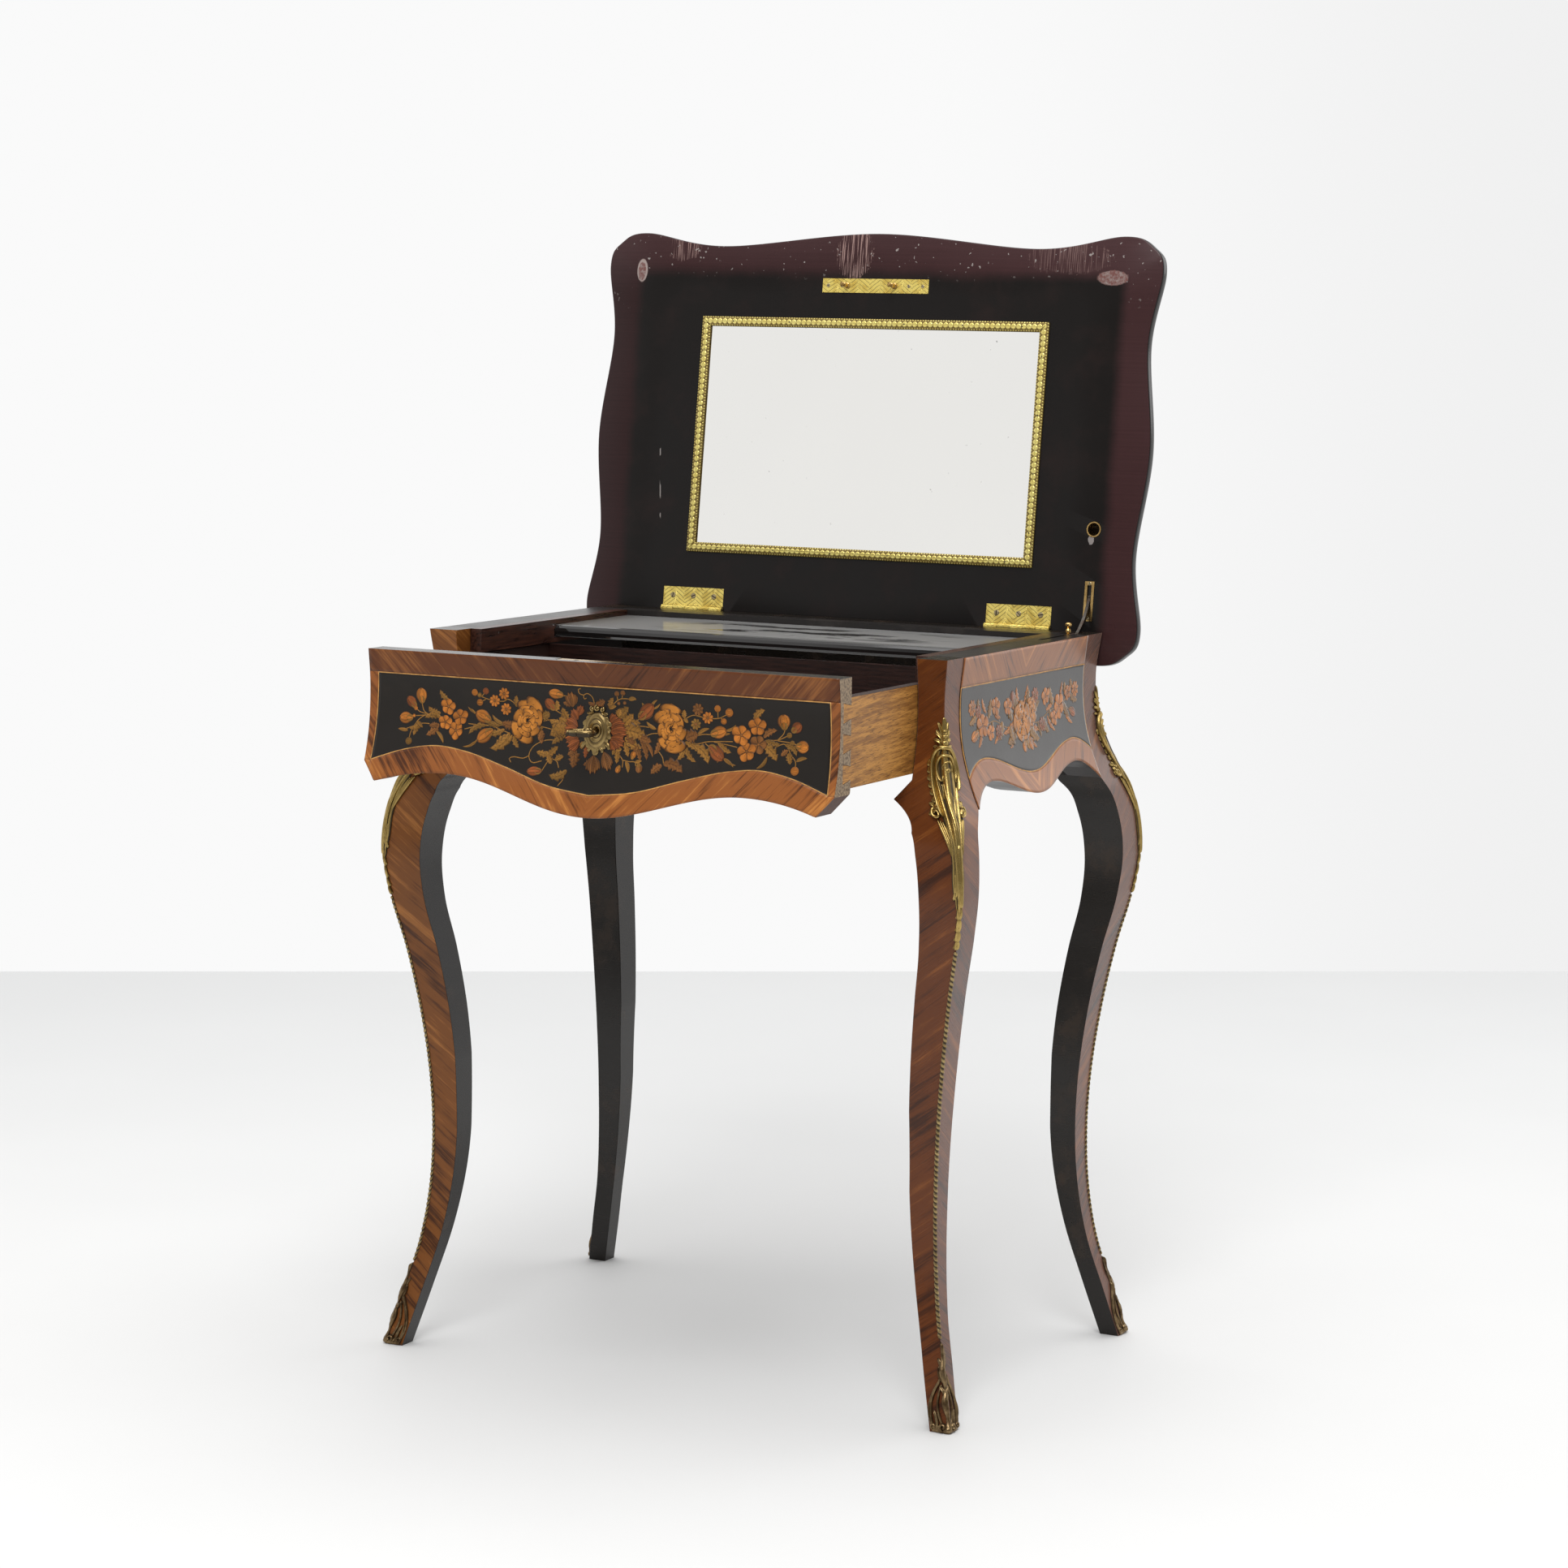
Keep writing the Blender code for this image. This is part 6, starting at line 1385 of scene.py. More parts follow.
@dataclass(frozen=True)
class Lid:
    """The serpentine lid board, drawn by its own coordinates and laid open as the part rests."""

    half: tuple[float, float] = (0.316, 0.2145)
    centre: float = 0.180
    steps: int = 18
    edge: tuple[tuple[float, float], ...] = ((0.0015, 0.0), (0.0, 0.0015), (0.0, 0.0085), (0.0012, 0.0135),
                                             (0.005, 0.018), (0.011, 0.0194))
    pockets: tuple[tuple[tuple[float, ...], tuple[float, ...]], ...] = (
        ((-0.1915, 0.0667, -0.01), (0.1915, 0.3001, 0.004)),
        ((-0.0608, 0.3332, -0.01), (0.0608, 0.3483, 0.0015)),
        ((-0.2226, -0.01, -0.01), (-0.1510, 0.0228, 0.0021)),
        ((0.1510, -0.01, -0.01), (0.2226, 0.0228, 0.0021)),
        ((0.2569, 0.0097, -0.01), (0.2675, 0.0500, 0.0015)),
        ((0.2599, 0.018, -0.02), (0.2645, 0.046, 0.0083)))
    bore: tuple[float, float] = (0.2622, 0.1016)
    bore_radius: float = 0.0081
    bore_ends: tuple[float, float] = (-0.01, 0.0133)
    veneer_inset: float = 0.0112
    veneer_face: float = 0.0195
    veneer_depth: float = 0.0004
    border: float = 0.046
    line: float = 0.0475
    spray_ground: float = 0.01918

    def place(self, x: Array, reach: Array, height: Array) -> Array:
        """World points of places across, reaches from the axis and heights over the inner face."""
        lift = height + LID_RISE
        return spread(x, LID_AXIS[0] + LID_LEAN[0] * reach + LID_LEAN[1] * lift,
                      LID_AXIS[1] + LID_LEAN[1] * reach - LID_LEAN[0] * lift)

    def outline(self) -> tuple[Array, Array]:
        """The serpentine outline about the lid's centre and its outward normals.

        One quarter's points are mirrored to the rest and joined by a closed smooth curve.
        """
        wide, deep = self.half
        quarter = [(0.0, deep), (wide - 0.138, deep - 0.014), (wide - 0.044, deep - 0.001),
                   (wide - 0.0117, deep - 0.0117), (wide, deep - 0.0365), (wide - 0.0105, deep - 0.1095),
                   (wide - 0.0003, 0.0)]
        points = quarter + [(x, -y) for x, y in quarter[-2::-1]]
        points = np.array(points + [(-x, y) for x, y in points[-2:0:-1]])
        before, after, beyond = (np.roll(points, -shift, axis=0)[:, None] for shift in (-1, 1, 2))
        here = points[:, None]
        t = (np.arange(self.steps) / self.steps)[None, :, None]
        slope, next_slope = (after - before) / 2, (beyond - here) / 2
        curve = ((1 + 2 * t) * (1 - t) ** 2 * here + t * (1 - t) ** 2 * slope
                 + t * t * (3 - 2 * t) * after - t * t * (1 - t) * next_slope).reshape(-1, 2)
        along = np.roll(curve, -1, axis=0) - np.roll(curve, 1, axis=0)
        normal = np.column_stack((-along[:, 1], along[:, 0]))
        return curve, normal / np.linalg.norm(normal, axis=1, keepdims=True)

    def ring(self, inset: float) -> Array:
        """The outline drawn in by an inset, closed: places across and reaches."""
        curve, normal = self.outline()
        drawn = curve - normal * inset
        drawn = np.vstack((drawn, drawn[:1]))
        return np.column_stack((drawn[:, 0], self.centre - drawn[:, 1]))

    def build(self) -> None:
        """Builds the board from rings of its moulded edge and two flat faces, and sinks its pockets."""
        edge = flow(self.edge, 21)
        rings = np.stack([self.ring(inset) for inset, _ in edge])
        shell = Shell()
        shell.grid(self.place(rings[..., 0], rings[..., 1], edge[:, 1:2]))
        middle = np.array((0.0, self.centre))
        for row in (0, -1):
            faces = middle + (rings[row] - middle) * np.linspace(1.0, 0.0, 5)[:, None, None]
            shell.grid(self.place(faces[..., 0], faces[..., 1], edge[row, 1]))
        board = shell.make("lid_board_polished", (LidBoard("lid_polish"),))
        pockets = Shell()
        for low, high in self.pockets:
            pockets.box(low, high, self.place)
        carve(board, pockets)
        bore, turn = Shell(), once_round(49)
        wide, (above, floor) = self.bore_radius, self.bore_ends
        for heights, radii in (((above, floor), (wide, wide)), ((above, above), (0.0, wide)),
                               ((floor, floor), (wide, 0.0))):
            radius = np.array(radii)[:, None]
            bore.grid(self.place(self.bore[0] + radius * np.cos(turn), self.bore[1] + radius * np.sin(turn),
                                 np.array(heights)[:, None]))
        carve(board, bore)
        settle(board, "lid", "ebonised_wood", "lid_board")
        self.veneer()

    def veneer(self) -> None:
        """Lays the outer face: a crossbanded border, a line and a dark field with a spray of flowers.

        Every line inside the edge is the outline drawn towards the middle, by the same width across and along.
        """
        shell = Shell()
        middle, rim = np.array((0.0, self.centre)), self.ring(self.veneer_inset)
        size = np.array(self.half) - self.veneer_inset

        def drawn(insets: Array) -> Array:
            """The outlines at the insets from the veneer's rim."""
            return middle + (rim - middle) * (1.0 - insets[:, None] / size)[:, None]
        step = np.linalg.norm(np.diff(rim, axis=0, prepend=rim[:1]), axis=1)
        inner = np.append(np.linspace(self.line, 0.18, 9), size[1])
        for insets, slot in ((np.linspace(0.0, self.border, 9), 0), (np.linspace(self.border, self.line, 3), 1),
                             (inner, 2)):
            rings = drawn(insets)
            cut = spread(np.cumsum(step), insets[:, None], 7.0)
            shell.grid(self.place(rings[..., 0], rings[..., 1], self.veneer_face), cut, slot=slot, flip=True)
        made = shell.make("lid_top_veneer", (BAND, LINE, FIELD), outward=False)
        thicken(made, self.veneer_depth)
        settle(made, "lid", "kingwood")

        def outside(x: Array, reach: Array, lift: float) -> Array:
            """World points over the lid's outer face."""
            return self.place(x, reach, self.spray_ground + lift)
        spray = Marquetry(outside, (0.98, 2.3), 1.7, (0.0, self.centre), flip=True)
        spray.lay(SPRAY, "lid_top_flowers", "lid")


@dataclass(frozen=True)
class CarcaseWood(Finish):
    """The drawer front's own wood: pale end grain with dark flecks at its ends, black top, red-brown inside."""

    def lay(self, tree: NodeTree) -> None:
        """Lays the three woods by Object coordinates."""
        where = tree.place()
        x, y, z = tree.axes(where)
        drawn = tree.noise(tree.join(x * 60.0, y * 420.0, z * 420.0), 1.0, 3.0, 0.6)
        chips = tree.fade(tree.noise(where, 130.0, 3.0, 0.7), 0.60, 0.66) * tree.fade(y, -0.268, -0.2735)
        ends = tree.fade(abs(x), 0.2483, 0.2486)
        lid_side = tree.fade(z, 0.7084, 0.7087)
        inside = tree.blend(tree.fade(drawn, 0.35, 0.7), (0.050, 0.020, 0.012), (0.105, 0.042, 0.022))
        pale = tree.blend(tree.fade(drawn, 0.34, 0.62), (0.115, 0.072, 0.040), (0.34, 0.245, 0.150))
        top = tree.blend(chips * 0.8, (0.018, 0.015, 0.013), (0.33, 0.22, 0.12))
        tree.shade({"Base Color": tree.blend(lid_side, tree.blend(ends, inside, pale), top),
                    "Roughness": 0.5 - lid_side * 0.27 + (drawn - 0.5) * 0.15,
                    "Normal": tree.bump(drawn, 0.00015)})


@dataclass(frozen=True)
class DrawerSide(Finish):
    """Quartered oak outside with dark flecks that lean along the side, dark polish inside and on the top edge."""

    def lay(self, tree: NodeTree) -> None:
        """Lays flecked oak and lining by Object coordinates."""
        where = tree.place()
        x, y, z = tree.axes(where)
        drawn = tree.join(x * 300.0, y * 32.0 + z * 25.0, z * 420.0 - y * 30.0)
        broad = tree.noise(tree.join(x * 20.0, y * 9.0, z * 75.0), 1.0, 3.0)
        grained = tree.noise(drawn, 1.0, 3.0, 0.6)
        flecks = tree.fade(tree.noise(drawn, 2.4, 2.0, 0.6), 0.54, 0.66)
        oak = tree.blend(tree.fade(grained * 0.6 + broad * 0.4, 0.38, 0.62), (0.27, 0.112, 0.022), (0.56, 0.262, 0.056))
        oak = tree.blend(flecks * 0.62, oak, (0.085, 0.036, 0.011))
        lining = tree.blend(grained, (0.014, 0.007, 0.006), (0.045, 0.018, 0.012))
        inside = tree.fade(abs(x), 0.2432, 0.2428).top(tree.fade(z, 0.6905, 0.6908))
        tree.shade({"Base Color": tree.blend(inside, oak, lining), "Roughness": 0.48 + (grained - 0.5) * 0.2,
                    "Normal": tree.bump(grained - flecks * 0.4, 0.00012)})


@dataclass(frozen=True)
class PlainNodes:
    """Finishes of the CAD pieces that stay as they are."""

    def finishes(self) -> dict[str, Finish]:
        """Finish of each piece, by the start of its name; the longest start that fits is taken."""
        lining = PlainWood("drawer_lining", (0.012, 0.0045, 0.0035), (0.036, 0.0125, 0.0085), (30.0, 30.0, 400.0),
                           0.40, 0.2)
        oak = PlainWood("flecked_oak", (0.20, 0.092, 0.028), (0.46, 0.240, 0.078), (380.0, 28.0, 380.0), 0.55, 0.55)
        rosewood = PlainWood("rosewood", (0.020, 0.008, 0.006), (0.085, 0.030, 0.018), (420.0, 30.0, 420.0), 0.30, 0.3)
        engraved, steel = Engraved("engraved_gilt"), Steel("dark_steel")
        # The side panels and back rail take the greyer rail polish, whose grey is painted sheen.
        return {"side_panel": RAIL_PAINTED_SHEEN, "back_panel": BLACK, "back_rail": RAIL_PAINTED_SHEEN, "rear_shelf": DullPolish("shelf_polish"),
                "drawer_kicker": rosewood, "drawer_runner": oak, "drawer_side": DrawerSide("drawer_side_oak"),
                "drawer_back": lining, "drawer_bottom": lining, "drawer_partition": lining,
                "drawer_front": CarcaseWood("carcase_wood"),
                "hinge_case_leaf": engraved, "hinge_lid_leaf": engraved, "hinge_pin": steel, "strike_plate": engraved,
                "strike_stud": BRASS, "lock_case": BRASS, "lock_selvedge": BRASS, "lock_bolt": steel,
                "stay_plate": BRASS, "stay_arm": steel, "stay_knob": BRASS, "stay_pin": steel, "knob_bush": BRASS,
                "mirror_glass": Mirror("silvered_glass"), "mirror_frame": GILT, "escutcheon": GILT, "key": BRASS,
                "chute": GILT, "edge_rope": BRONZE, "sabot": BRONZE, "leg": KINGWOOD, "lid_board": BLACK}

    def dress(self) -> None:
        """Gives every CAD piece its finish."""
        finishes = self.finishes()
        for name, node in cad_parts.items():
            start = max((key for key in finishes if name.startswith(key)), key=len)
            for slot in node.material_slots:
                slot.material = finishes[start].material()
        LOG.info("finishes on %d solid pieces", len(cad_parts))


# Cast and chased metal

@dataclass
class Relief:
    """Cast ornament of raised bars, leaves and beads on a curved ground, measured in millimetres.

    Attributes:
        place: World points of two ground coordinates and a height.
        shell: The mesh so far.
    """

    place: Ground
    shell: Shell = field(default_factory=Shell)

    def lay(self, u: Array, v: Array, height: Array, cut: Any) -> None:
        """Adds a grid of ground places and heights in millimetres."""
        self.shell.grid(self.place(u * MM, v * MM, height * MM), cut)

    def bar(self, knots: Any, half: Any, crown: float, base: float = 0.0, sink: float = 0.5, count: int = 17,
            columns: int = 12, power: float = 0.8, groove: float = 0.0, flutes: int = 0, beads: float = 0.0,
            ends: float = 0.22) -> None:
        """A raised bar or leaf: a closed lens section carried along a smooth path, with rounded ends.

        Across the section the place is the cosine and the height the sine to a power, less a groove in
        the middle and flutes; along it the height may swell into beads.

        Args:
            knots: Path on the ground.
            half: Half width, one or several along the path.
            crown: Height over the base.
            base: Height of the section's middle line.
            sink: Depth under it.
            count: Samples along.
            columns: Samples round the section.
            power: Roundness of the top.
            groove: Share of the crown taken off along the middle.
            flutes: Waves across.
            beads: Number of swellings along.
            ends: Share of the length that each rounded end takes.
        """
        spine = flow(knots, count)
        t = np.linspace(0.0, 1.0, count)
        ease = np.clip(np.minimum(t, 1.0 - t) / ends, 0.0, 1.0)
        ease = np.sqrt(ease * (2.0 - ease))
        half = np.atleast_1d(half)
        wide = np.interp(t, np.linspace(0.0, 1.0, len(half)), half) * ease
        turn = once_round(columns + 1)
        across, up = np.cos(turn), np.sin(turn)
        flat = blade(spine, wide, across)
        top = np.maximum(up, 0.0) ** power * (1.0 - groove * np.exp(-(across / 0.25) ** 2))
        top = top * (1.0 + (0.22 * np.cos(flutes * np.pi * across) if flutes else 0.0))
        swell = 1.0 + (0.35 * np.cos(2.0 * np.pi * beads * t) if beads else 0.0 * t)
        rise = base + (np.where(up > 0.0, crown * top, sink * up) * (ease * swell)[:, None])
        hollow = 1.0 - np.clip((rise - base) / crown, 0.0, 1.0) ** 0.7
        hollow = np.where(up >= -0.01, hollow, 1.0) * 0.85
        self.lay(flat[..., 0], flat[..., 1], rise, spread(across, t[:, None], hollow))

    def leaf(self, base: Any, tip: Any, half: float, bend: float, crown: float, lift: float = 0.0,
             **shape: Any) -> None:
        """A leaf from base to tip, bowed sideways, with a groove along its middle."""
        base, tip = np.array(base, float), np.array(tip, float)
        reach = tip - base
        side = square(reach) * bend
        knots = [base, base + 0.33 * reach + 0.9 * side, base + 0.7 * reach + 0.8 * side, tip]
        shape = {"groove": 0.45, "ends": 0.5, "count": 13, **shape}
        self.bar(knots, half, crown, lift, **shape)

    def bead(self, u: float, v: float, radius: float, crown: float, lift: float = 0.0) -> None:
        """A round bead."""
        self.bar([(u - radius, v), (u, v), (u + radius, v)], radius, crown, lift, ends=0.5, count=9, columns=10)

    def curl(self, u: float, v: float, radius: float, start: float, turns: float, half: float, crown: float,
             lift: float = 0.0) -> None:
        """A scroll: a bar along a spiral whose radius shrinks as it turns."""
        t = np.linspace(0.0, 1.0, 13)
        angle = start + 2.0 * np.pi * turns * t
        reach = radius * (1.0 - 0.8 * t)
        self.bar(np.column_stack((u + reach * np.cos(angle), v + reach * np.sin(angle))),
                 half * np.linspace(1.0, 0.6, 5), crown, lift, count=25, columns=10, ends=0.12)

    def plate(self, levels: Array, left: Curve, right: Curve, rim: float, crown: float, ribs: float,
              depth: float) -> None:
        """A ribbed ground plate between two edge lines: a flat arch over its width with waves across.

        Args:
            levels: Heights of its rows.
            left: Left edge by height.
            right: Right edge by height.
            rim: Height at the edges.
            crown: Extra height in the middle.
            ribs: Waves across the half width.
            depth: Height of the waves.
        """
        s = np.linspace(-1.0, 1.0, 33)
        level = np.asarray(levels, float)[:, None]
        middle, half = (right(level) + left(level)) / 2, (right(level) - left(level)) / 2
        wave = 0.5 + 0.5 * np.cos(2.0 * np.pi * ribs * s + 0.6)
        top = rim + crown * np.sqrt(1.0 - 0.92 * s ** 2) + depth * (wave - 0.5) + 0.0 * level
        across = np.concatenate((s, s[::-1], s[:1]))
        height = np.concatenate((top, np.full(top.shape, -0.4), top[:, :1]), axis=1)
        hollow = np.concatenate((0.95 * (1.0 - wave), np.ones(s.shape), 0.95 * (1.0 - wave[:1])))
        self.lay(middle + half * across, level, height, spread(across, 0.0, hollow))


@dataclass(frozen=True)
class LegMounts:
    """Gilt chute on each knee, rope edging down the arris and sabot on the foot.

    Ground coordinates run round the leg's outer arris: negative on the front or back face, positive
    on the side face, then the height.
    """

    soft: float = 0.001
    rope_low: float = 0.0823
    rope_high: float = 0.452
    rope_pitch: float = 0.0100
    rope_radius: float = 0.0021
    rope_end: float = 0.0015
    rope_lift: float = 0.0002

    def ground(self, right: float, back: float) -> Ground:
        """The map round one leg's arris: both coordinates follow a softened ramp, so the corner is round."""
        def on_arris(a: Array, z: Array, h: Array) -> Array:
            """World points."""
            root = np.sqrt(a * a + self.soft ** 2)
            out = CASE.sweep(z)
            to_x, to_y = (1.0 + a / root) / 2, (1.0 - a / root) / 2
            size = np.hypot(to_x, to_y)
            x = CASE.half_width + out - (root - a) / 2 + h * to_x / size
            y = CASE.half_depth + out - (root + a) / 2 + h * to_y / size
            return spread(right * x, back * y + SHIFT, z)
        return on_arris

    def chute(self, relief: Relief) -> None:
        """Palmette finial, C-scrolls round a ribbed shell, side scrolls with leaf tails, rod and husks."""
        left = Curve(((637, -1.0), (633, -7.0), (625, -12.5), (608, -15.5), (592, -15.0), (578, -12.0), (560, -9.0),
                      (545, -7.4), (530, -6.8), (518, -7.4), (508, -6.4), (500, -4.2), (493, -3.0), (488, -0.5)))
        right = Curve(((637, 1.0), (633, 6.0), (625, 11.0), (608, 13.5), (592, 12.5), (578, 10.5), (560, 8.0),
                       (545, 6.6), (530, 6.0), (518, 6.6), (508, 5.6), (500, 3.8), (493, 2.8), (488, 0.5)))
        relief.plate(np.linspace(488, 637, 63), left, right, 1.2, 1.1, 1.7, 0.9)
        bar, leaf = relief.bar, relief.leaf
        for k in range(7):
            z = 621.0 - 6.4 * k
            leaf((-12.0, z), (-19.6 + 0.9 * abs(k - 2.5), z - 4.0), 3.1, -0.30, 2.7, 0.3)
            leaf((11.0, z - 3.0), (16.4 - 0.8 * k, z - 7.0), 2.6, 0.30, 2.0, 0.3)
        bar([(12, 594), (14.5, 604), (14, 616), (9, 628), (0, 635), (-8, 632), (-13, 622), (-14.6, 607), (-14, 594),
             (-12, 582), (-9, 573)], (0.9, 1.6, 2.3, 2.5, 2.2, 1.7, 0.9), 4.8, 0.7, count=43, ends=0.06)
        bar([(9.5, 603), (10.5, 613), (7, 623), (0, 628), (-6, 625), (-9.0, 616), (-7.5, 607), (-4.0, 606),
             (-3.2, 611)], (0.8, 1.5, 1.8, 1.5, 0.8), 3.9, 0.9, count=33, ends=0.08)
        bar([(5, 610), (5.4, 618), (1.5, 622.5), (-2.6, 619), (-3.2, 614)], (0.6, 1.2, 0.8), 3.0, 0.8, count=17)
        relief.bead(0.8, 614.5, 2.4, 2.6, 0.6)
        for knots, wide in (([(-10.5, 612), (-9.0, 596), (-5.4, 571), (-1.8, 547), (-0.6, 520), (-0.2, 500)], 1.35),
                            ([(-4.0, 604), (-2.4, 592), (-0.2, 572), (1.2, 548), (1.3, 520)], 1.15),
                            ([(10.0, 600), (7.8, 584), (5.0, 562), (2.8, 543)], 1.15)):
            bar(knots, (0.6 * wide, wide, wide, 0.7 * wide), 2.6, 1.0, count=27, ends=0.08)
        for k in range(4):
            leaf((-6.0 + 4.2 * k, 604.0 - 4.0 * k), (-7.0 + 3.6 * k, 588.0 - 8.0 * k), 1.8, 0.1, 2.0, 0.8)
        for side, reach in ((-1.0, 1.0), (1.0, 0.88)):
            relief.curl(side * 16.6 * reach, 577.0, 5.0, math.pi / 2, -side * 1.35, 1.9, 3.6, 0.5)
            for base, tip, wide, bend, crown in (((17.0, 581.0), (23.0, 584.0), 2.0, 0.25, 2.4),
                                                 ((19.0, 577.0), (24.0, 574.0), 1.8, 0.20, 2.2)):
                leaf(*mirrored(side * reach, base, tip), wide, side * bend, crown, 0.3)
            bar(mirrored(side * reach, (10.5, 583), (13.5, 582.5), (16.0, 581.2)), 1.5, 2.6, 0.6)
            for k, wide in enumerate((1.5, 1.3, 1.1)):
                tail = mirrored(side * reach, (17.0 - 2.4 * k, 572.5 - k), (13.2 - 2.0 * k, 562),
                                (9.0 - 1.5 * k, 551), (5.4 - 0.8 * k, 538 - 3 * k))
                bar(tail, (0.6, wide, wide, 0.4), 2.3 - 0.3 * k, 0.5, ends=0.15)
        leaf((-2.6, 545), (-4.0, 506), 2.3, 0.07, 1.8, 1.2, flutes=2)
        leaf((3.0, 543), (3.8, 512), 1.7, -0.06, 1.5, 1.2)
        leaf((-4.2, 528), (-6.0, 499), 2.6, 0.12, 2.2, 0.8)
        leaf((3.8, 526), (5.2, 500), 2.3, -0.12, 2.0, 0.8)
        bar([(0.6, 552), (0.9, 530), (0.9, 508), (0.8, 492)], (1.2, 2.0, 2.1, 2.2), 3.2, 0.6, count=25, ends=0.08)
        for top, low, wide in ((495, 481, 2.7), (484, 469, 2.4), (472, 460, 2.6), (463, 452.6, 2.2)):
            for side in (-1.0, 0.0, 1.0):
                leaf((0.2 + 0.6 * side, top), (2.7 * side, low + abs(side) * 1.5), wide * (0.85 - 0.15 * abs(side)),
                     -0.12 * side, 3.2 - 0.8 * abs(side), 0.3)
        for turn, length, wide in ((90, 23.5, 2.0), (66, 20.0, 1.9), (114, 20.0, 1.9), (44, 15.5, 1.8),
                                   (136, 15.5, 1.8)):
            way = math.radians(turn)
            leaf((0.0, 640.0), (0.72 * length * math.cos(way), 640.0 + length * math.sin(way) * 0.98), wide,
                 0.12 * math.cos(way), 2.6, 0.5)
        for side in (-1.0, 1.0):
            for base, tip, wide, bend, crown in (((2.0, 636.5), (9.5, 648.0), 2.2, 0.28, 2.4),
                                                 ((3.0, 635.5), (11.0, 641.0), 2.0, 0.30, 2.2),
                                                 ((5.0, 632.5), (12.0, 634.5), 1.5, 0.25, 1.9)):
                leaf(*mirrored(side, base, tip), wide, side * bend, crown, 0.6)
        for v, size in ((639.0, 2.4), (645.0, 1.6), (650.0, 1.2)):
            relief.bead(0.0, v, size, 2.4, 1.2)

    def rope(self, place: Ground) -> Shell:
        """Two twisted strands on the arris: a round section, swelling twice round, that turns with height."""
        shell = Shell()
        z = np.linspace(self.rope_low, self.rope_high, 440)[:, None]
        turn = once_round(17)
        end = np.clip(np.minimum(z - self.rope_low, self.rope_high - z) / self.rope_end, 0.0, 1.0)
        swell = 0.5 + 0.5 * np.cos(2.0 * turn - 2.0 * np.pi * (z - self.rope_low) / (self.rope_pitch / 2))
        radius = self.rope_radius * (0.66 + 0.34 * swell) * np.sqrt(end)
        height = self.rope_lift + radius * np.sin(turn)
        shell.grid(place(radius * np.cos(turn), z, height), spread(swell, z, 0.9 * (1.0 - swell)))
        return shell

    def sabot(self, relief: Relief) -> None:
        """Foot ring with beads, paired straps round leaf-shaped openings, and a twisted stem up the arris."""
        bar, leaf = relief.bar, relief.leaf
        bar([(-17.5, 3.7), (-9, 3.5), (0, 3.5), (9, 3.5), (17.5, 3.7)], 3.4, 2.1, 0.2, count=27, ends=0.06,
            groove=0.25)
        for side in (-1.0, 1.0):
            bar(mirrored(side, (15.5, 4), (17.0, 14), (15.6, 26), (10.5, 37), (4.5, 46), (1.2, 54)),
                (1.9, 1.9, 1.7, 1.5, 0.9), 2.5, 0.3, count=29, ends=0.08, groove=0.3)
            bar(mirrored(side, (4.5, 5), (7.6, 14), (8.6, 24), (6.0, 35), (2.0, 44)), (1.2, 1.3, 1.1, 0.7), 2.0, 0.3,
                count=23, ends=0.1)
            for base, tip, wide, bend, crown, lift in (((12.0, 3.0), (13.2, 20.0), 2.0, 0.10, 1.9, 0.5),
                                                       ((16.5, 8.0), (13.6, 30.0), 1.2, -0.12, 2.9, 0.5),
                                                       ((1.0, 50.0), (4.4, 66.0), 2.3, 0.12, 1.7, 0.3),
                                                       ((0.6, 30.0), (5.2, 42.0), 1.9, 0.20, 2.6, 0.6)):
                leaf(*mirrored(side, base, tip), wide, side * bend, crown, lift)
            relief.curl(side * 14.5, 5.5, 2.9, -math.pi / 2, side * 1.2, 1.1, 2.6, 0.8)
            relief.bead(side * 8.5, 3.6, 2.3, 2.4, 0.8)
            relief.curl(side * 4.2, 6.0, 3.6, -math.pi / 2, side * 1.1, 1.5, 3.6, 0.9)
        bar([(0, 3), (1.2, 14), (-1.2, 27), (1.3, 40), (-1.1, 53), (0.6, 67), (0, 81)],
            (2.6, 2.3, 2.6, 1.8, 2.2, 1.3, 0.5), 3.0, 0.4, count=53, ends=0.05, beads=3)
        leaf((0.6, 44.0), (-2.6, 60.0), 2.1, 0.15, 3.0, 0.5)
        leaf((-0.4, 56.0), (0.8, 78.0), 1.8, -0.12, 2.4, 0.4, flutes=2)
        relief.bead(0.0, 4.2, 3.2, 3.4, 0.8)

    def build(self) -> None:
        """Builds the three mounts of each leg."""
        for corner, right, back in CORNERS:
            place = self.ground(right, back)
            chute, sabot = Relief(place), Relief(place)
            self.chute(chute)
            self.sabot(sabot)
            for name, node, shell, finish, slot in (
                    ("chute_cast", "chute", chute.shell, GILT, "gilt_brass"),
                    ("edge_rope_twisted", "edge_rope", self.rope(place), ROPE, "worn_gilt_bronze"),
                    ("sabot_cast", "sabot", sabot.shell, BRONZE, "worn_gilt_bronze")):
                made = shell.make(f"{name}_{corner}", (finish,), sharp=70.0)
                settle(made, "case", slot, f"{node}_{corner}")


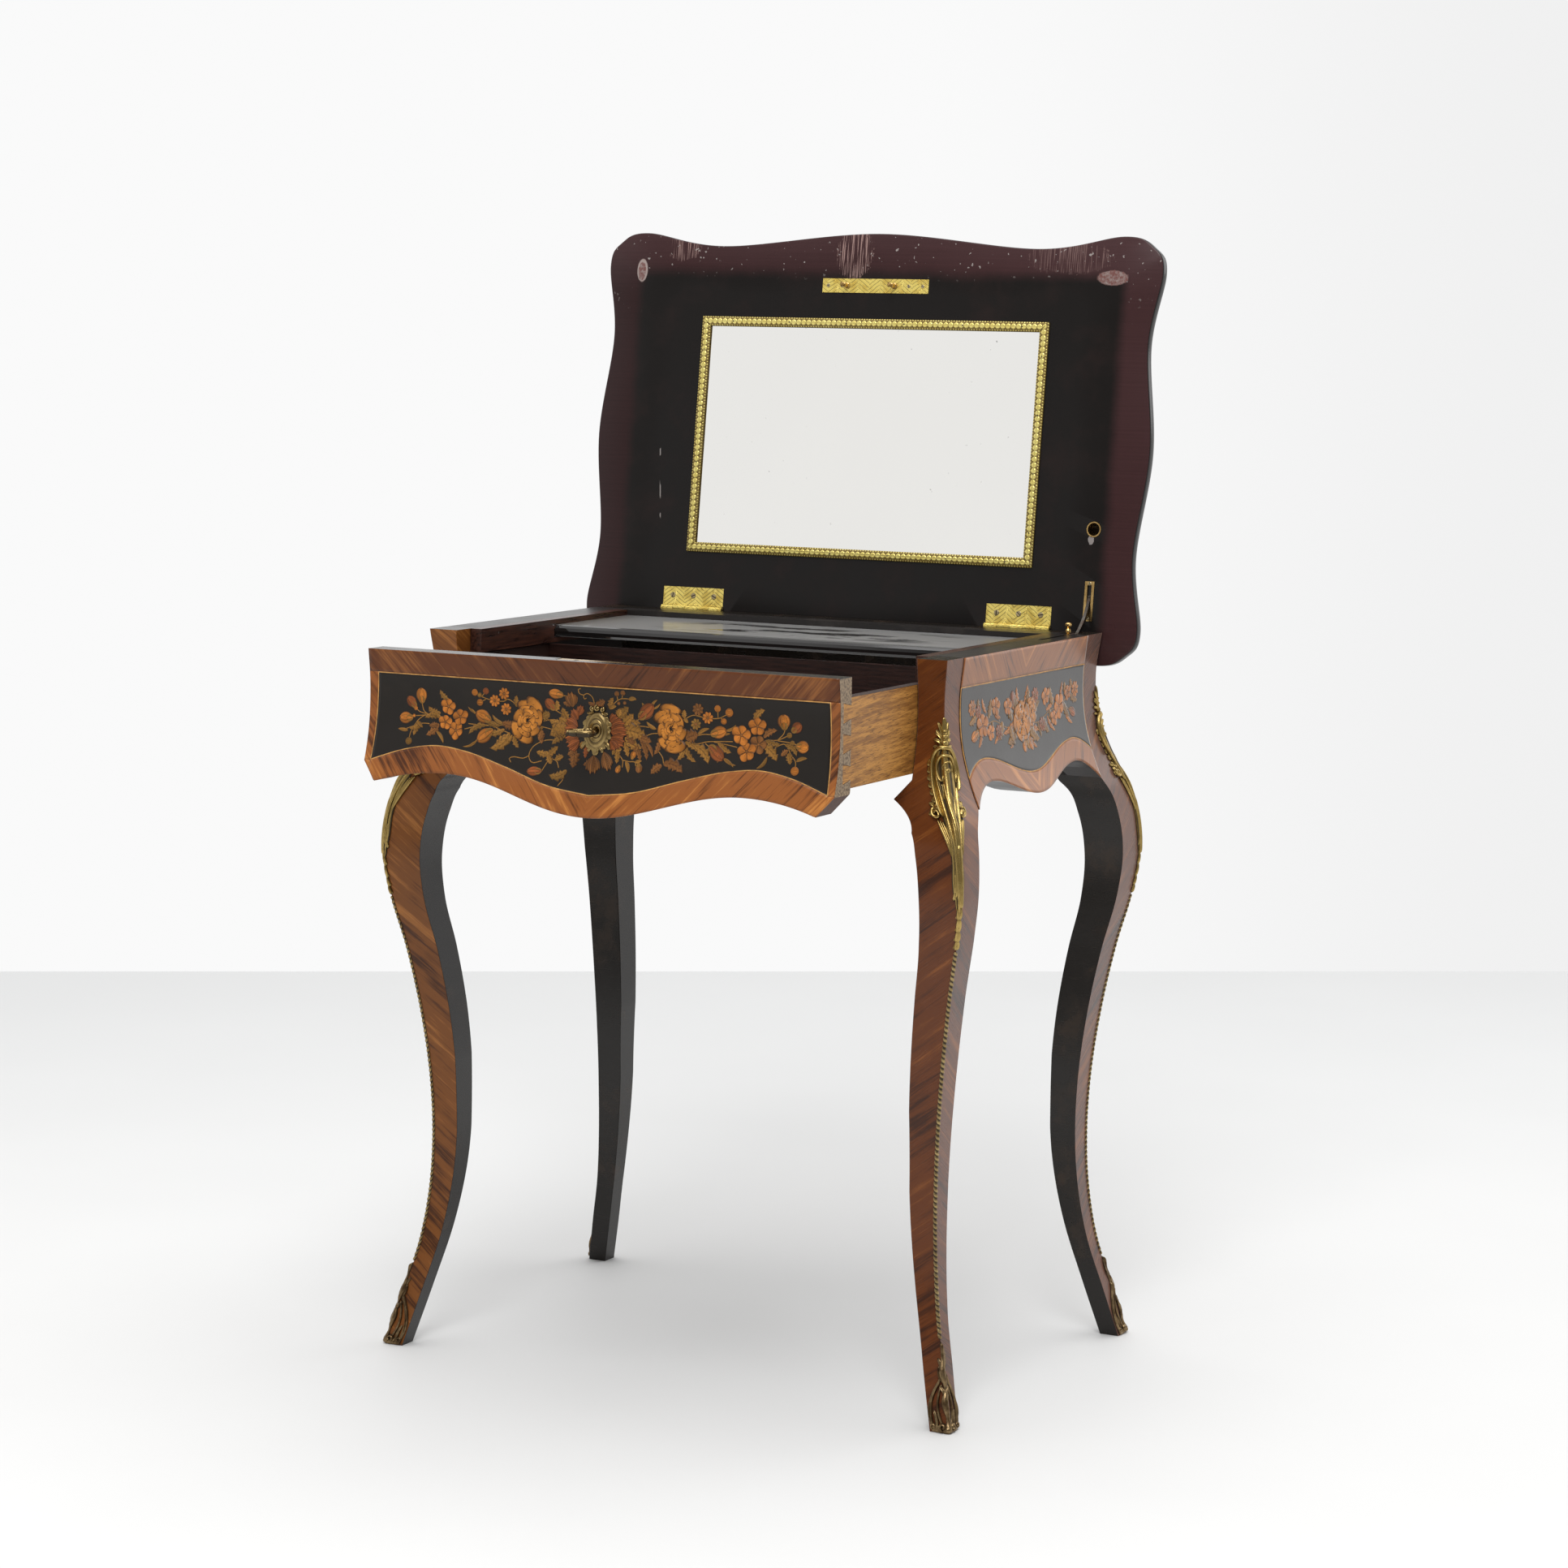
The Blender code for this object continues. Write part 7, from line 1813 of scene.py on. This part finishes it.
@dataclass(frozen=True)
class KeyAndEscutcheon:
    """The cast keyhole cartouche on the drawer face and the key that stands in it."""

    height: float = 0.6474
    bow_out: float = 0.027
    proud: float = 0.0004
    oval: tuple[float, float] = (12.5, 17.5)
    oval_drop: float = 0.5
    bit: tuple[tuple[float, ...], tuple[float, ...]] = ((-0.010, -0.0447, -0.0014), (0.0, -0.0409, 0.0014))
    shank: tuple[tuple[float, float], ...] = (
        (1.6, -7.6), (2.4, -8.2), (2.4, -9.6), (3.2, -10.2), (3.7, -11.0), (3.7, -12.0), (3.2, -12.6), (2.4, -13.1),
        (2.3, -14.6), (3.0, -15.2), (3.3, -15.9), (3.0, -16.6), (2.4, -17.1), (2.4, -44.0), (2.4, -48.9))

    def on_face(self, u: Array, v: Array, h: Array) -> Array:
        """World points on the drawer's face about the keyhole."""
        z = self.height + v
        return spread(u, -CASE.half_depth - CASE.sweep(z) - CASE.drawer_out - self.proud - h + SHIFT, z)

    def flat(self, u: Array, v: Array, h: Array) -> Array:
        """World points on the key's level plane; v runs out of the drawer from the bow's middle."""
        return spread(u, -CASE.half_depth - self.bow_out - CASE.drawer_out - v + SHIFT, self.height + h)

    def turned(self, relief: Relief) -> None:
        """The turned shank about the key's axis, by its radii and places along."""
        radius, along = np.vstack(((0.0, self.shank[0][1]), self.shank, (0.0, self.shank[-1][1]))).T[..., None]
        turn = once_round(25)
        relief.lay(radius * np.cos(turn), along, radius * np.sin(turn), (0.0, 0.0, 0.0))

    def escutcheon(self) -> None:
        """Oval rings round a keyhole painted dark as shade, a leafy rim, a crest of three rosettes and a tongue below.
        """
        relief = Relief(self.on_face)
        r = np.linspace(0.0, 1.0, 34)[:, None]
        turn = once_round(65)
        profile = np.interp(r, (0.0, 0.10, 0.16, 0.20, 0.30, 0.36, 0.46, 0.55, 0.62, 0.72, 0.82, 0.92, 1.0),
                            (0.6, 0.6, 0.8, 2.6, 3.2, 2.4, 3.5, 4.2, 3.0, 3.6, 3.0, 1.9, 0.0))
        # The middle, where the keyhole is, takes the deepest hollow value: painted shade of the hole.
        hollow = np.interp(r, (0.0, 0.18, 0.2, 0.30, 0.36, 0.46, 0.55, 0.62, 0.72, 0.85, 1.0),
                           (1.0, 1.0, 0.3, 0.0, 0.8, 0.1, 0.0, 0.75, 0.0, 0.3, 0.9))
        for height, value in ((profile, spread(np.cos(turn), r, hollow)), (0.0 * r, (0.0, 0.0, 1.0))):
            relief.lay(self.oval[0] * r * np.cos(turn), self.oval[1] * r * np.sin(turn) - self.oval_drop, height, value)
        for side in (1.0, -1.0):
            for k in range(9):
                base, tip = (math.radians(58.0 - 17.0 * k - more) for more in (0.0, 27.0))
                wide = 1.0 + 0.12 * (k % 2)
                rim = mirrored(side, (11.2 * math.cos(base), 15.8 * math.sin(base)),
                               (14.6 * wide * math.cos(tip), 19.0 * wide * math.sin(tip)))
                relief.leaf(*rim, 2.7, side * -0.16, 2.6, 0.2, flutes=2)
        for x, size in ((0.0, 3.0), (-5.2, 2.4), (5.2, 2.4)):
            relief.curl(x, 20.0 - abs(x) * 0.16, size, math.pi / 2, -1.3 if x > 0 else 1.3, 0.9, 2.4, 0.5)
            relief.bead(x, 20.0 - abs(x) * 0.16, size * 0.5, 2.2, 0.5)
        for side in (-1.0, 1.0):
            for base, tip, wide, bend, crown, lift in (((4.0, 17.5), (11.5, 15.5), 1.8, -0.2, 2.2, 0.4),
                                                       ((2.5, -15.0), (7.5, -20.5), 2.0, 0.2, 2.0, 0.3),
                                                       ((9.0, -11.0), (14.0, -17.5), 2.2, 0.2, 2.2, 0.3)):
                relief.leaf(*mirrored(side, base, tip), wide, side * bend, crown, lift)
        relief.leaf((0.0, -14.0), (0.0, -23.4), 3.6, 0.0, 2.0, 0.4)
        made = relief.shell.make("escutcheon_cast", (CARTOUCHE,), sharp=70.0)
        settle(made, "drawer", "gilt_brass", "escutcheon")

    def key(self) -> None:
        """A pierced bow of scrolls, a collared shank and a flat bit."""
        relief = Relief(self.flat)
        full = {"sink": 3.0, "base": 0.0, "power": 0.7}
        for side in (-1.0, 1.0):
            relief.bar(mirrored(side, (1.0, -8.6), (6.0, -7.4), (10.8, -3.0), (11.2, 2.6), (7.0, 5.8), (2.6, 6.8),
                                (0.0, 7.1)), (1.5, 1.8, 2.0, 2.0, 1.8, 1.6), 3.0, count=31, ends=0.05, **full)
            relief.bar(mirrored(side, (1.0, 6.5), (4.5, 3.5), (7.2, 0.0), (6.0, -3.4), (3.0, -3.0), (2.6, -0.4),
                                (4.4, 0.6)), (1.1, 1.4, 1.2, 0.9), 2.6, count=29, ends=0.08, **full)
            relief.leaf(*mirrored(side, (9.6, -4.4), (11.8, -7.0)), 1.5, 0.2, 2.6, sink=2.6)
            relief.leaf(*mirrored(side, (9.8, 4.4), (11.9, 6.6)), 1.5, -0.2, 2.6, sink=2.6)
        relief.bar([(0.0, -9.0), (0.0, -2.0), (0.0, 4.0), (0.0, 7.6)], (2.0, 1.3, 1.2, 1.8), 3.0, count=21, beads=4,
                   **full)
        self.turned(relief)
        relief.shell.box(*self.bit, self.flat)
        made = relief.shell.make("key_pierced", (KEYBRASS,), sharp=60.0)
        settle(made, "key", "gilt_brass", "key")

    def build(self) -> None:
        """Builds both."""
        self.escutcheon()
        self.key()


@dataclass(frozen=True)
class MirrorFrame:
    """Four stamped brass strips round the mirror, mitred, each with leaves between two rows of beads."""

    half_width: float = 0.1982
    near: float = 0.060
    far: float = 0.3068
    strip: float = 0.010
    rise: float = 0.003
    leaf: float = 0.0058
    stamp: float = 0.00055
    spacing: float = 0.00055
    gap: float = 0.0003
    columns: int = 25

    def section(self) -> tuple[Array, Array]:
        """The strip's closed section: places inward and heights, both as shares."""
        share = np.linspace(0.0, 1.0, self.columns)
        arch = np.clip(0.4 + 0.6 * np.sin(np.pi * share) ** 0.6, 0.0, 1.0)
        return np.concatenate((share, (1.0, 0.5, 0.0, 0.0))), np.concatenate((arch, (0.0, 0.0, 0.0, 0.4)))

    def build(self, lid: Lid) -> None:
        """Builds each strip as its section carried along, with the stamped pattern added to its height.

        A leaf's half width is a sine of the place along; it is raised with a groove in the middle, and
        beads at twice the pitch stand along both edges.

        Args:
            lid: The lid it lies on.
        """
        middle, half_depth = (self.near + self.far) / 2, (self.far - self.near) / 2
        inward, arch = self.section()
        top = np.arange(len(inward)) < self.columns
        for name, length, reach, level, sign in (("top", self.half_width, half_depth, True, 1.0),
                                                 ("bottom", self.half_width, half_depth, True, -1.0),
                                                 ("left", half_depth, self.half_width, False, -1.0),
                                                 ("right", half_depth, self.half_width, False, 1.0)):
            share = np.linspace(-1.0, 1.0, int(length * 2 / self.spacing))[:, None]
            along = share * (length - inward * self.strip - self.gap)
            phase = along / self.leaf
            spot, side = phase - np.floor(phase), np.abs(inward - 0.5) * 2.0
            shape = 0.62 * np.sin(np.pi * spot) ** 0.6 - side
            raised = np.clip(shape / 0.18, 0.0, 1.0) * (1.0 - 0.7 * np.exp(-(side / 0.10) ** 2))
            bead = np.clip(np.cos(4.0 * np.pi * phase), 0.0, 1.0) * np.exp(-((side - 0.84) / 0.11) ** 2)
            pattern = np.where(top, np.maximum(raised, bead), 0.0)
            height = self.gap + self.rise * arch * np.where(top, 0.80, 1.0) + self.stamp * pattern
            hollow = np.where(top, 0.85 * (1.0 - pattern), 0.9)
            across = sign * (reach - inward * self.strip)
            x, y = (along, middle + across) if level else (across, middle + along)
            points = lid.place(x, y, -height)
            cut = spread(0.0, 0.0, hollow)
            ends = [np.broadcast_to(points[k].mean(axis=0), points[k].shape)[None] for k in (0, -1)]
            shell = Shell()
            shell.grid(np.concatenate((ends[0], points, ends[1])), np.concatenate((cut[:1], cut, cut[-1:])))
            made = shell.make(f"mirror_frame_{name}_stamped", (STAMPED,), sharp=55.0)
            settle(made, "lid", "gilt_brass", f"mirror_frame_{name}")


@dataclass(frozen=True)
class Screws:
    """Slotted screw heads and pins of the lid's fittings."""

    def head(self, relief: Relief, u: float, v: float, radius: float, turn: float, lift: float) -> None:
        """A flat domed disc; its slot is sunk where a point lies near one diameter."""
        r = np.linspace(0.0, 1.0, 9)[:, None]
        angle = once_round(41)
        away = np.abs(r * np.sin(angle - turn))
        slot = np.clip((0.20 - away) / 0.06, 0.0, 1.0) * (r < 0.97)
        height = lift + 0.30 * np.sqrt(np.clip(1.0 - r ** 6, 0.0, 1.0)) - 0.2 * slot
        cut = spread(0.0, 0.0, np.maximum(slot, 0.9 * (r > 0.9)))
        for level, value in ((height, cut), (lift + 0.0 * r, (0.0, 0.0, 1.0))):
            relief.lay(u + radius * r * np.cos(angle), v + radius * r * np.sin(angle), level, value)

    def build(self, lid: Lid) -> None:
        """Puts screws in the hinges, strike plate and stay plate, and pins in the mirror frame."""
        def on_lid(u: Array, v: Array, h: Array) -> Array:
            """World points over the lid's inner face."""
            return lid.place(u, v, -h)
        relief = Relief(on_lid)
        for side in (-1.0, 1.0):
            for k, share in enumerate((0.16, 0.5, 0.84)):
                self.head(relief, side * (151.0 + 71.6 * share), 13.6, 2.9, 0.5 + 0.9 * k + side, -0.26)
        for k, x in enumerate((-54.0, -38.0, 38.0, 54.0)):
            self.head(relief, x, 340.8, 1.9, 0.3 + 0.8 * k, 0.42)
        for k, v in enumerate((13.0, 47.4)):
            self.head(relief, 262.2, v, 1.8, 0.8 + 1.1 * k, 0.42)
        made = relief.shell.make("lid_screws", (SCREW,), sharp=50.0)
        settle(made, "lid", "steel")
        pins = Relief(on_lid)
        spots = [(x, v) for x in np.linspace(-161.0, 169.0, 6) for v in (65.0, 301.8)]
        spots += [(x, v) for v in np.linspace(95.0, 272.0, 4) for x in (-193.2, 193.2)]
        for x, v in spots:
            pins.bead(x, v, 0.9, 0.5, 2.9)
        made = pins.shell.make("mirror_frame_pins", (Steel("pin_steel", (0.10, 0.085, 0.06)),), sharp=60.0)
        settle(made, "lid", "steel")


@dataclass(frozen=True)
class FloorPaper(Finish):
    """Pale seamless floor, greyer further from the camera as painted shade of the light's falloff."""

    def lay(self, tree: NodeTree) -> None:
        """Lays a faint cloud and the slow change of tone, which is painted shade."""
        x, y, _ = tree.axes(tree.place())
        # Greyer along the camera's level direction: painted shade of the light falling off towards the horizon.
        far = y * 0.885 - x * 0.4655
        cloud = tree.noise(tree.place(), 3.0, 2.0)
        floor_tone_painted_falloff = tree.blend(tree.fade(far, -0.6, 2.2), (0.765, 0.765, 0.76), (0.73, 0.735, 0.735))
        tree.shade({"Base Color": tree.dim(floor_tone_painted_falloff, 0.98 + cloud * 0.04), "Roughness": 0.6 + cloud * 0.1})


@dataclass(frozen=True)
class Studio:
    """Floor, soft light and camera."""

    eye: tuple[float, float, float] = (1.8259, -3.4343 + SHIFT, 1.0569)
    azimuth: float = 27.74
    elevation: float = 7.24
    roll: float = 0.77
    lens: float = 90.876
    horizon: float = -0.04735
    floor_half: float = 7.0
    floor_near: float = -3.0
    lamps: tuple[tuple[str, tuple[float, ...], tuple[float, ...], float, float], ...] = (
        ("key_light", (1.0, -2.3, 3.9), (0.0, 0.0, 0.6), 1.8, 78.0),
        ("top_light", (0.3, 0.2, 4.6), (0.0, 0.0, 0.0), 4.5, 78.0),
        ("mirror_card", (-1.385, -2.381, 1.190), (0.0, 0.265, 0.897), 1.25, 2.35),
        ("rim_light", (1.45, 2.75, 1.75), (0.1, 0.0, 0.5), 1.6, 7.0))

    def axes(self) -> tuple[Array, Array, Array]:
        """The camera's right, up and forward directions."""
        turn, tilt, roll = (math.radians(value) for value in (self.azimuth, self.elevation, self.roll))
        forward = np.array((-math.sin(turn) * math.cos(tilt), math.cos(turn) * math.cos(tilt), -math.sin(tilt)))
        side = np.cross(forward, (0.0, 0.0, 1.0))
        side /= np.linalg.norm(side)
        up = np.cross(side, forward)
        return (side * math.cos(roll) + up * math.sin(roll), up * math.cos(roll) - side * math.sin(roll), forward)

    def pose(self, x: Array, y: Array, z: Array, place: Sequence[float]) -> Matrix:
        """The matrix of an object's three directions and its place."""
        turned = np.eye(4)
        turned[:3] = np.column_stack((x, y, z, place))
        return Matrix(turned.tolist())

    def level(self) -> tuple[Array, Array]:
        """The level directions ahead of the camera and to its right."""
        forward = self.axes()[2]
        ahead = forward[:2] / np.hypot(forward[0], forward[1])
        return ahead, -square(ahead)

    def camera(self) -> None:
        """Sets the camera up."""
        right, up, forward = self.axes()
        camera = bpy.data.objects.new("camera", bpy.data.cameras.new("camera"))
        camera.data.lens, camera.data.sensor_width = self.lens, 36.0
        camera.data.clip_start, camera.data.clip_end = 0.05, 60.0
        camera.matrix_world = self.pose(right, up, -forward, self.eye)
        bpy.context.scene.collection.objects.link(camera)
        bpy.context.scene.camera = camera

    def floor(self) -> None:
        """Lays the floor, whose far edge shows as a level line across the picture."""
        _, up, forward = self.axes()
        ahead, aside = self.level()
        line = up - self.horizon * forward
        s, t = np.meshgrid(np.linspace(-self.floor_half, self.floor_half, 9), np.linspace(0.0, 1.0, 9))
        edge = (self.eye[2] * line[2] - s * (aside @ line[:2])) / (ahead @ line[:2])
        t = self.floor_near + (edge - self.floor_near) * t
        flat = np.array(self.eye[:2]) + s[..., None] * aside + t[..., None] * ahead
        shell = Shell()
        shell.grid(spread(flat[..., 0], flat[..., 1], 0.0))
        floor = shell.make("floor", (FloorPaper("floor_paper"),), weld=False)

    def sky(self) -> None:
        """Lights the world: a pale wall ahead, greyer to the right, a bright top and a dark room behind."""
        ahead, aside = self.level()
        world = bpy.data.worlds.new("studio")
        tree = NodeTree(world, "Background")
        sky = tree.add("ShaderNodeTexCoord", output="Generated")
        bright = tree.fade(tree.dot(sky, ahead), -0.50, 0.20).top(tree.fade(tree.axes(sky)[2], 0.70, 0.95))
        wall = tree.blend(tree.fade(tree.dot(sky, aside), 0.02, 0.20), (0.955, 0.955, 0.955), (0.875, 0.875, 0.875))
        tree.shade({"Color": tree.blend(bright, (0.26, 0.255, 0.25), wall), "Strength": 1.0})
        bpy.context.scene.world = world

    def lights(self) -> None:
        """Hangs the round lamps, each turned to its aim."""
        for name, place, aim, size, power in self.lamps:
            lamp = bpy.data.objects.new(name, bpy.data.lights.new(name, "AREA"))
            lamp.data.shape, lamp.data.size, lamp.data.energy = "DISK", size, power
            way = np.array(aim) - np.array(place)
            way /= np.linalg.norm(way)
            side = np.cross(way, (0.0, 0.02, 1.0))
            side /= np.linalg.norm(side)
            lamp.matrix_world = self.pose(side, np.cross(side, way), -way, place)
            bpy.context.scene.collection.objects.link(lamp)

    def build(self) -> None:
        """Builds the camera, floor, world and lights."""
        bpy.context.scene.view_settings.view_transform = "Standard"
        self.camera()
        self.floor()
        self.sky()
        self.lights()
        LOG.info("studio with %.1f mm lens", self.lens)


def main() -> None:
    """Builds every sub-assembly in order."""
    logging.basicConfig(level=logging.INFO, format="%(name)s: %(message)s")
    Studio().build()
    PlainNodes().dress()
    Legs().build()
    Walls().build()
    lid = Lid()
    lid.build()
    MirrorFrame().build(lid)
    Screws().build(lid)
    LegMounts().build()
    KeyAndEscutcheon().build()


if __name__ == "__main__":
    main()
